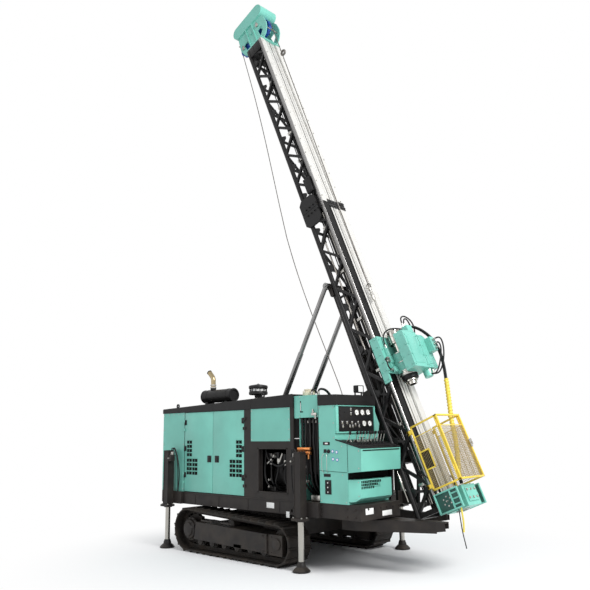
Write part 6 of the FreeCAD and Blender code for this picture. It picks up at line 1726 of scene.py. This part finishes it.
class RIG_OT_filter_bay(bpy.types.Operator):
    """Adds the level gauge, cap grip, dark strips, painted shade inside the bay, fittings, cooler element and hoses of
    the filter bay
    """
    bl_idname = "rig.filter_bay"
    bl_label = "Filter bay"

    def execute(self, context):
        # Three dark strips on the near face, then black sheets on the bay's back, sides and ceiling: painted shade
        # inside the bay.
        dark = bmesh.new()
        blocks(dark, (((0.4795, -0.9325, 0.9), (0.57, -0.929, 1.852), 0.002),
            ((0.59, -0.9325, 1.925), (0.606, -0.9285, 2.073), 0.002),
            ((0.59, -0.9325, 1.925), (0.64, -0.9285, 1.94), 0.002),
            ((0.48, -0.56, 0.825), (0.918, -0.55, 1.857), 0.002),
            ((0.4795, -0.92, 0.822), (0.485, -0.55, 1.59), 0.001),
            ((0.9135, -0.945, 0.822), (0.9195, -0.25, 1.857), 0.001),
            ((0.575, -0.925, 1.8505), (0.915, -0.55, 1.8575), 0.001)))
        piece("filter_bay_dark_strips_and_painted_shade", dark, "base", "dark")
        white = bmesh.new()
        blocks(white, (((0.48, -0.9335, 1.59), (0.5695, -0.932, 1.6), 0),
            ((0.594, -0.9335, 1.945), (0.602, -0.932, 2.05), 0)))
        piece("level_gauge_marks", white, "base", "white")
        cap = bmesh.new()
        turned(cap, (0.6, -0.77, 2.2205), UP, [(0, 0), (0.066, 0), (0.066, 0.006), (0.05, 0.012), (0, 0.012)],
            sides=40)
        for index in range(20):
            a = 2 * pi * index / 20
            way = around(a)
            foot = Vector((0.6, -0.77, 2.15)) + way * 0.0798
            bar(cap, foot, foot + Z * 0.06, 0.008, 0.004, way.cross(Z), 0.001)
        piece("filler_cap_grip", cap, "base", "cream")
        bright = bmesh.new()
        for x, y, tall in ((0.72, -0.84, 0.022), (0.8, -0.8, 0.022), (0.86, -0.86, 0.02)):
            fitting(bright, (x, y, 2.142), UP, tall)
        collars = bmesh.new()
        for x in HOSE_PORTS:
            fitting(collars, (x, -0.905, 1.85), DOWN, 0.028)
        piece("hose_collars", collars, "base", "trim")
        block(bright, (0.8, -0.955, 1.88), (0.89, -0.9285, 1.915), 0.006)
        fitting(bright, (0.825, -0.942, 1.915), UP, 0.02)
        fitting(bright, (0.868, -0.942, 1.88), DOWN, 0.02)
        for x in (0.64, 0.78):
            collar(bright, (x, -0.84, 1.79), UP, 0.0525, 0.057, 0, 0.03, 40)
        for x, z in ((0.6, 1.32), (0.64, 1.24), (0.6, 1.14), (0.655, 1.06), (0.61, 0.98)):
            fitting(bright, (x, -0.86, z), (0.3, -1, 0), 0.024)
        block(bright, (0.735, -0.915, 0.826), (0.905, -0.85, 0.9), 0.012)
        piece("filter_bay_fittings", bright, "base", "zinc")
        element = bmesh.new()
        for z0, z1 in ((1.395, 1.435), (1.445, 1.485)):
            block(element, (0.56, -0.972, z0), (0.78, -0.926, z1), 0.01)
            for x in steps(0.572, 0.768, 10):
                block(element, (x - 0.003, -0.976, z0 + 0.004), (x + 0.003, -0.966, z1 - 0.004), 0.001)
        for x in (0.6, 0.74):
            cylinder(element, (x, -0.949, 1.34), (x, -0.949, 1.396), 0.014, sides=20, rounding=0.002)
        piece("cooler_element", element, "base", "copper")
        routes = []
        for index, x in enumerate(HOSE_PORTS):
            lean = 0.012 * (-1) ** index
            end = (0.62 + 0.05 * index, -0.7, 0.86)
            routes.append([(x, -0.905, 1.79), (x, -0.905, 1.7), (x + lean, -0.912, 1.56),
                (x - lean, -0.905, 1.38), (x, -0.9, 1.2), (x - 0.01, -0.87, 1.0), end])
        for x, y, bend in ((0.72, -0.84, -0.04), (0.8, -0.8, 0.03), (0.86, -0.86, 0.035)):
            routes.append([(x, y, 2.185), (x, y, 2.215), (x + bend * 0.4, y + 0.05, 2.225),
                (x + bend, y + 0.12, 2.205), (x + bend, y + 0.18, 2.15)])
        hoses("filter_bay_hoses", routes, sizes().hose_diameter, "base", "rubber")
        heads = bmesh.new()
        bolts(heads, [(x, -0.9302, z) for x in (0.585, 0.9) for z in (1.875, 2.125)], NEAR, 0.012)
        piece("filter_box_screws", heads, "base", "zinc")
        return {"FINISHED"}


# ---- control cabinet
DESK_MIDDLE = -0.557
DISCS = ((1.15, 1.438), (1.215, 1.43), (1.155, 1.345), (1.222, 1.338))


class RIG_OT_cabinet(bpy.types.Operator):
    """Adds seams, blank plates and discs, switches, handles, screws and grille to the control cabinet, with painted
    shade in the recess under the desk and in the grille's openings
    """
    bl_idname = "rig.cabinet"
    bl_label = "Cabinet details"

    def execute(self, context):
        face = -SIDE
        dark = bmesh.new()
        for x0, x1, z0, z1 in ((0.996, 1.108, 1.512, 1.552), (1.005, 1.05, 1.42, 1.462),
                (0.998, 1.108, 1.132, 1.168)):
            block(dark, (x0, face - 0.005, z0), (x1, face, z1), 0.003)
        for z in (1.062, 1.008, 0.952):
            block(dark, (1.02, face - 0.012, z - 0.022), (1.112, face, z + 0.022), 0.006)
        cylinder(dark, (1.088, face, 1.437), (1.088, face - 0.016, 1.437), 0.024, sides=28, rounding=0.003)
        block(dark, (1.018, face - 0.007, 0.925), (1.116, face, 1.095), 0.004)
        piece("cabinet_side_fittings", dark, "base", "trim")
        discs = bmesh.new()
        for x, z in DISCS:
            cylinder(discs, (x, face, z), (x, face - 0.0022, z), 0.021, sides=28)
        piece("cabinet_blank_discs", discs, "base", "disc")
        centres = bmesh.new()
        for x, z in DISCS:
            cylinder(centres, (x, face - 0.002, z), (x, face - 0.003, z), 0.014, sides=24)
        block(centres, (1.03, face - 0.0062, 1.524), (1.078, face - 0.0048, 1.542), 0)
        for z in (1.062, 1.008, 0.952):
            cylinder(centres, (1.066, face - 0.011, z), (1.066, face - 0.0135, z), 0.008, sides=16)
        piece("cabinet_plate_faces", centres, "base", "white")
        wire = [[(x, face - out, z) for x, out,
            z in zip(bend, (0, 0.026, 0.03, 0.03, 0.026, 0), (1.405, 1.4, 1.33, 1.23, 1.19, 1.186))]
            for bend in ((1.004, 1.0, 0.992, 0.99, 1.0, 1.004), (1.068, 1.07, 1.074, 1.074, 1.07, 1.068))]
        hoses("cabinet_handles", wire, 0.007, "base", "zinc")
        seams = bmesh.new()
        bars(seams, (((0.925, face - 0.001, 1.205), (1.375, face - 0.001, 1.19), 0.003, 0.004, FAR, 0),
            ((1.386, face - 0.001, 1.195), (1.386, face - 0.001, 1.52), 0.003, 0.004, FAR, 0),
            ((0.9245, face - 0.001, 0.826), (0.9245, face - 0.001, 1.995), 0.003, 0.005, FAR, 0)))
        # A black plate and a sloping black sheet in the recess under the desk, and a black strip under the desk's
        # front lip: painted shade.
        block(seams, (1.38, -0.945, 1.107), (1.384, -0.17, 1.186), 0.001)
        bars(seams, (((1.382, DESK_MIDDLE, 1.1838), (1.5, DESK_MIDDLE, 1.195), 0.765, 0.004, FAR, 0),
            ((1.5975, DESK_MIDDLE, 1.456), (1.5995, DESK_MIDDLE, 1.444), 0.73, 0.012, FAR, 0)))
        for x in (1.385, 1.495):
            block(seams, (x, -0.164, 0.82), (x + 0.035, -0.16, 1.2), 0.003)
        piece("cabinet_seams_and_painted_shade", seams, "base", "dark")
        # Rows of dark blocks: painted shade in the grille's openings.
        lower = bmesh.new()
        for z, y0, y1 in ((1.078, -0.835, -0.475), (1.044, -0.835, -0.54), (1.01, -0.835, -0.615)):
            for y in steps(y0, y1, round((y1 - y0) / 0.03)):
                block(lower, (1.499, y - 0.0105, z - 0.0135), (1.5022, y + 0.0105, z + 0.0135), 0.0015)
        piece("lower_box_grille_painted_shade", lower, "base", "dark")
        heads = bmesh.new()
        bolts(heads, [(x, face, z) for x in (0.94, 1.175) for z in (1.6, 1.78, 1.97)], NEAR, 0.012)
        bolts(heads, [(x, face, 0.845) for x in (0.95, 1.15, 1.35)], NEAR, 0.012)
        bolts(heads, [(1.5002, y, z) for y in (-0.9, -0.21) for z in (0.92, 1.08)], AHEAD, 0.012)
        bolts(heads, [(1.3, face, 1.16), (1.3, face, 1.5), (1.555, face, 1.245), (1.56, face, 1.445)], NEAR,
            0.012)
        piece("cabinet_screws", heads, "base", "zinc")
        return {"FINISHED"}


DIALS = ((-0.54, 1.913), (-0.428, 1.914), (-0.312, 1.917), (-0.395, 1.774), (-0.281, 1.774))
KNOBS = ((-0.646, 1.94), (-0.646, 1.885), (-0.505, 1.776), (-0.629, 1.776), (-0.725, 1.776), (-0.818, 1.776),
    (-0.488, 1.73), (-0.614, 1.73), (-0.669, 1.73), (-0.807, 1.73), (-0.56, 1.752))


PANEL_FACE = 1.2085


class RIG_OT_gauges(bpy.types.Operator):
    """Builds the gauge panel with its border, dials, pointers, lamps and knobs"""
    bl_idname = "rig.gauges"
    bl_label = "Gauge panel"

    def execute(self, context):
        panel = bmesh.new()
        block(panel, (1.1963, -0.902, 1.672), (PANEL_FACE, -0.19, 1.986), 0.004)
        made = piece("gauge_plate", panel, "base", "trim")
        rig.replaces(made, "gauge_panel")
        border = bmesh.new()
        for z0, z1 in ((1.986, 2.0), (1.656, 1.672)):
            block(border, (1.1963, -0.945, z0), (1.223, -0.168, z1), 0.004)
        for y0, y1 in ((-0.945, -0.902), (-0.19, -0.168)):
            block(border, (1.1963, y0, 1.672), (1.223, y1, 1.986), 0.004)
        piece("gauge_border", border, "base", "panel")
        rims, faces, marks = bmesh.new(), bmesh.new(), bmesh.new()
        radius = sizes().dial_radius
        for number, (y, z) in enumerate(DIALS):
            spot = (PANEL_FACE, y, z)
            turned(rims, spot, AHEAD, [(radius * 0.86, 0), (radius, 0), (radius, 0.01),
                (radius * 0.94, 0.013), (radius * 0.86, 0.011)], sides=40, ring=True)
            turned(faces, spot, AHEAD, tube(0, radius * 0.88, 0, 0.006), sides=40)
            for index in range(13):
                a = radians(-135 + 270 * index / 12)
                way = Vector((0, sin(a), cos(a)))
                spot_in = Vector((1.2147, y, z)) + way * radius * (0.6 if index % 3 == 0 else 0.68)
                bar(marks, spot_in, Vector((1.2147, y, z)) + way * radius * 0.8, 0.0012, 0.0008, AHEAD, 0)
            a = radians(-110 + 37 * number)
            way = Vector((0, sin(a), cos(a)))
            bar(marks, Vector((1.2152, y, z)) - way * radius * 0.15,
                Vector((1.2152, y, z)) + way * radius * 0.66, 0.0014, 0.0022, way.cross(X), 0)
            cylinder(marks, (1.2146, y, z), (1.217, y, z), 0.0045, sides=16)
        piece("dial_rims", rims, "base", "chrome")
        piece("dial_faces", faces, "base", "dial")
        piece("dial_marks", marks, "base", "dark")
        knobs, tops = bmesh.new(), bmesh.new()
        for y, z in KNOBS:
            turned(knobs, (PANEL_FACE, y, z), AHEAD,
                [(0, 0), (0.015, 0), (0.015, 0.003), (0.0095, 0.004), (0.0085, 0.009), (0, 0.009)], sides=24)
            block(tops, (PANEL_FACE, y - 0.014, z + 0.019), (1.2093, y + 0.014, z + 0.025), 0)
        piece("panel_knobs", knobs, "base", "zinc")
        piece("panel_blank_labels", tops, "base", "white")
        lamps = bmesh.new()
        for y, z in ((-0.86, 1.94), (-0.86, 1.885), (-0.77, 1.915)):
            turned(lamps, (PANEL_FACE, y, z), AHEAD,
                [(0, 0), (0.01, 0), (0.01, 0.004), (0.006, 0.008), (0, 0.009)], sides=20)
        piece("panel_lamps", lamps, "base", "trim")
        return {"FINISHED"}


DESK_BACK, DESK_FRONT, DESK_HIGH, DESK_LOW = 1.196, 1.6, 1.571, 1.47


class RIG_OT_desk(bpy.types.Operator):
    """Builds the control desk's top, with lever boots, levers, knobs, valves and handwheels"""
    bl_idname = "rig.desk"
    bl_label = "Control desk"

    def execute(self, context):
        def top(x):
            """Height of the sloping desk."""
            return DESK_HIGH - (x - DESK_BACK) * (DESK_HIGH - DESK_LOW) / (DESK_FRONT - DESK_BACK)

        bm, knobs, bright = bmesh.new(), bmesh.new(), bmesh.new()
        block(bm, (1.25, -0.9, 1.485), (1.54, -0.2, 1.505), 0.004)
        for x0, y0, x1, y1 in ((1.198, -0.944, 1.596, -0.944), (1.198, -0.171, 1.596, -0.171),
                (1.594, -0.944, 1.594, -0.171)):
            bar(bm, (x0, y0, top(x0) + 0.008), (x1, y1, top(x1) + 0.008), 0.014, 0.022, UP, 0.003)
        bar(bm, (1.2, DESK_MIDDLE, top(1.2) + 0.003), (1.594, DESK_MIDDLE, top(1.594) + 0.003), 0.765, 0.006,
            FAR, 0.002)
        levers = [(1.43, y, 0.13) for y in steps(-0.78, -0.3, 9)] + [(1.33, y, 0.1)
            for y in (-0.86, -0.72, -0.45, -0.36)]
        for x, y, tall in levers:
            base = Vector((x, y, top(x) + 0.004))
            turned(bm, base, (0.1, 0, 1), [(0, 0), (0.022, 0), (0.023, 0.006), (0.017, 0.01), (0.018, 0.016),
                (0.011, 0.02), (0.01, 0.03), (0, 0.032)], sides=20)
            tip = base + Vector((0.03, 0, tall))
            cylinder(bright, base + Vector((0, 0, 0.02)), tip, 0.0055, sides=12)
            turned(knobs, tip, (0.25, 0, 1), [(0, -0.006), (0.01, -0.006), (0.0155, 0.006), (0.0165, 0.018),
                (0.012, 0.03), (0, 0.034)], sides=20)
        made = piece("desk_top", bm, "base", "trim")
        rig.replaces(made, "desk_controls")
        piece("desk_lever_knobs", knobs, "base", "trim")
        for y in steps(-0.84, -0.26, 10):
            turned(bright, (1.3, y, top(1.3) + 0.003), UP,
                [(0, 0), (0.014, 0), (0.014, 0.01), (0.008, 0.012), (0.008, 0.026), (0, 0.028)], sides=16)
        piece("desk_lever_rods", bright, "base", "zinc")
        wheels = bmesh.new()
        for x, y in ((1.33, -0.6), (1.345, -0.26)):
            collar(wheels, (x, y, top(x) + 0.058), UP, 0.03, 0.04, -0.005, 0.005, 28)
            cylinder(wheels, (x, y, top(x)), (x, y, top(x) + 0.064), 0.008, sides=16)
            for a in (0, pi / 2):
                way = around(a)
                bar(wheels, Vector((x, y, top(x) + 0.058)) - way * 0.034,
                    Vector((x, y, top(x) + 0.058)) + way * 0.034, 0.006, 0.005, UP, 0.001)
        piece("desk_handwheels", wheels, "base", "trim")
        return {"FINISHED"}


# ---- winches
class RIG_OT_winches(bpy.types.Operator):
    """Adds motors and bolts to both rope drums, and caps to the tilt pins"""
    bl_idname = "rig.winches"
    bl_label = "Winch details"

    def execute(self, context):
        iron, heads = bmesh.new(), bmesh.new()
        for joint, half, radius in (("wireline_drum_turn", 0.1842, 0.07), ("hoist_drum_turn", 0.2042, 0.085)):
            hub = Vector(JOINTS[joint]["pos_m"])
            for side in (-1, 1):
                spot = hub + Vector((0, side * half, 0))
                turned(iron, spot, (0, side, 0),
                    [(0, 0), (radius, 0), (radius, 0.014), (radius * 0.72, 0.02), (radius * 0.72, 0.06),
                    (radius * 0.4, 0.066), (0, 0.066)], sides=40)
                bolts(heads, ring_of(spot + Vector((0, side * 0.0142, 0)), (0, side, 0), radius * 0.86, 8),
                    (0, side, 0), 0.016)
        piece("winch_motors", iron, "base", "trim")
        piece("winch_bolts", heads, "base", "zinc")
        pins = bmesh.new()
        for side in (-1, 1):
            y = PIVOT.y + side * 0.2755
            cylinder(pins, (PIVOT.x, y, PIVOT.z), (PIVOT.x, y + side * 0.014, PIVOT.z), 0.052, sides=36,
                rounding=0.003)
            bolts(pins, ring_of((PIVOT.x, y + side * 0.014, PIVOT.z), (0, side, 0), 0.034, 4), (0, side, 0),
                0.016)
        piece("tilt_pin_caps", pins, "base", "worn steel")
        return {"FINISHED"}


# ---- stage
def seen_directly(tree):
    """1 for what the camera sees, also through glass or in a reflection."""
    seen = wired(tree, "LightPath", {}, "Is Camera Ray")
    paths = seen.node.outputs
    for kind in ("Is Transmission Ray", "Is Glossy Ray"):
        seen = mathed(tree, "MAXIMUM", seen, paths[kind])
    return seen


def floor_surface(tint):
    """Pale floor that keeps the machine's shadow and runs out into white away from it."""
    material = bpy.data.materials.new("studio floor")
    material.use_nodes = True
    tree = material.node_tree
    shader = tree.nodes["Principled BSDF"]
    cloud = spread(tree, noise(tree, 0.6, 3.0), 0.3, 0.7, 0.985, 1.0)
    feed(tree, shader.inputs, {"Specular IOR Level": 0.1, "Roughness": 0.9,
        "Base Color": vectored(tree, "SCALE", {0: tint, "Scale": cloud})})
    spot = vectored(tree, "LENGTH", {0: object_place(tree)}, "Value")
    away = spread(tree, spot, 1.4, 4.4, interpolation_type="SMOOTHSTEP")
    white = wired(tree, "Emission", {"Strength": 1.0})
    either = wired(tree, "MixShader", {0: times(tree, away, seen_directly(tree)), 1: shader.outputs[0],
        2: white})
    feed(tree, tree.nodes["Material Output"].inputs, {"Surface": either})
    return material


def white_seen_by_camera(strength):
    """White behind the machine, and a soft even sky for the light it gives."""
    world = bpy.data.worlds.new("studio")
    world.use_nodes = True
    tree = world.node_tree
    tree.nodes.clear()
    sky = wired(tree, "Background", {"Color": (0.93, 0.96, 1.0, 1.0), "Strength": strength})
    white = wired(tree, "Background", {"Color": (1.0, 1.0, 1.0, 1.0), "Strength": 1.0})
    out = tree.nodes.new("ShaderNodeOutputWorld")
    feed(tree, out.inputs, {"Surface": wired(tree, "MixShader", {0: seen_directly(tree), 1: sky, 2: white})})
    bpy.context.scene.world = world


def soft_lamp(name, spot, aim, wide, tall, power):
    lamp = bpy.data.lights.new(name, "AREA")
    lamp.shape = "RECTANGLE"
    lamp.size, lamp.size_y = wide, tall
    lamp.energy = power
    made = bpy.data.objects.new(name, lamp)
    bpy.context.scene.collection.objects.link(made)
    made.location = spot
    made.rotation_euler = (Vector(aim) - Vector(spot)).to_track_quat("-Z", "Y").to_euler()
    return made


class RIG_OT_stage(bpy.types.Operator):
    """Builds the white studio: floor, soft lamps and the camera"""
    bl_idname = "rig.stage"
    bl_label = "Studio"

    def execute(self, context):
        scene = context.scene
        look = scene.rig_stage
        scene.view_settings.view_transform = "Standard"
        bm = bmesh.new()
        bmesh.ops.create_grid(bm, x_segments=1, y_segments=1, size=60.0)
        floor = shaped("studio_floor", bm, floor_surface(look.floor), "stage")
        floor.location.z = -0.002
        white_seen_by_camera(look.sky)
        key = soft_lamp("key", (12.0, -2.4, 11.0), (0.2, 0.0, 2.6), 6.0, 6.0, 2000.0 * look.key)
        fill = soft_lamp("fill", (-4.0, -12.0, 5.0), (0.0, 0.0, 3.2), 8.0, 5.0, 160.0 * look.key)
        lens = bpy.data.cameras.new("view")
        lens.sensor_width = 36.0
        lens.lens = 40.5
        lens.clip_end = 200.0
        camera = bpy.data.objects.new("view", lens)
        scene.collection.objects.link(camera)
        turn, tip, lean = radians(44.35), radians(11.65), radians(-0.96)
        gaze = Vector((-sin(turn) * cos(tip), cos(turn) * cos(tip), sin(tip)))
        camera.matrix_world = (Matrix.Translation((6.695, -7.237, 1.68)) @ gaze.to_track_quat("-Z",
            "Y").to_matrix().to_4x4() @ Matrix.Rotation(lean, 4, "Z"))
        scene.camera = camera
        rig.stage(floor, key, fill)
        return {"FINISHED"}


# ---- panel and registration
STEPS = (RIG_OT_finishes, RIG_OT_mast, RIG_OT_crown, RIG_OT_ropes, RIG_OT_head, RIG_OT_carriage, RIG_OT_guard,
    RIG_OT_clamp, RIG_OT_trailing_hoses, RIG_OT_tracks, RIG_OT_frame, RIG_OT_jacks, RIG_OT_stays,
    RIG_OT_doors, RIG_OT_house, RIG_OT_roof, RIG_OT_exhaust, RIG_OT_pre_cleaner, RIG_OT_work_light,
    RIG_OT_pump_bay, RIG_OT_filter_bay, RIG_OT_cabinet, RIG_OT_gauges, RIG_OT_desk, RIG_OT_winches,
    RIG_OT_stage)


class RIG_PT_panel(bpy.types.Panel):
    """Sizes, colours and steps of the rig"""
    bl_idname = "RIG_PT_panel"
    bl_label = "Drilling Rig"
    bl_space_type = "VIEW_3D"
    bl_region_type = "UI"
    bl_category = "Drilling Rig"

    def draw(self, context):
        layout = self.layout
        for group in (context.scene.rig_sizes, context.scene.rig_colours, context.scene.rig_stage):
            column = layout.column(align=True)
            for name in group.__annotations__:
                column.prop(group, name)
        for step in STEPS:
            layout.operator(step.bl_idname)


GROUPS = (("rig_sizes", RigSizes), ("rig_colours", RigColours), ("rig_stage", RigStage))


def register():
    for name, group in GROUPS:
        bpy.utils.register_class(group)
        setattr(bpy.types.Scene, name, bpy.props.PointerProperty(type=group))
    for step in STEPS + (RIG_PT_panel,):
        bpy.utils.register_class(step)


def unregister():
    for step in (RIG_PT_panel,) + STEPS[::-1]:
        bpy.utils.unregister_class(step)
    for name, group in GROUPS[::-1]:
        delattr(bpy.types.Scene, name)
        bpy.utils.unregister_class(group)


def plain(bounds):
    """Corners as plain lists."""
    return [[float(number) for number in corner] for corner in bounds]


def main():
    register()
    for step in STEPS:
        family, name = step.bl_idname.split(".")
        getattr(getattr(bpy.ops, family), name)()
    with open("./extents.json", "w") as report:
        json.dump({"cad": plain(CAD_BOX), "visual": plain(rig.bounds())}, report)


if __name__ == "__main__":
    main()
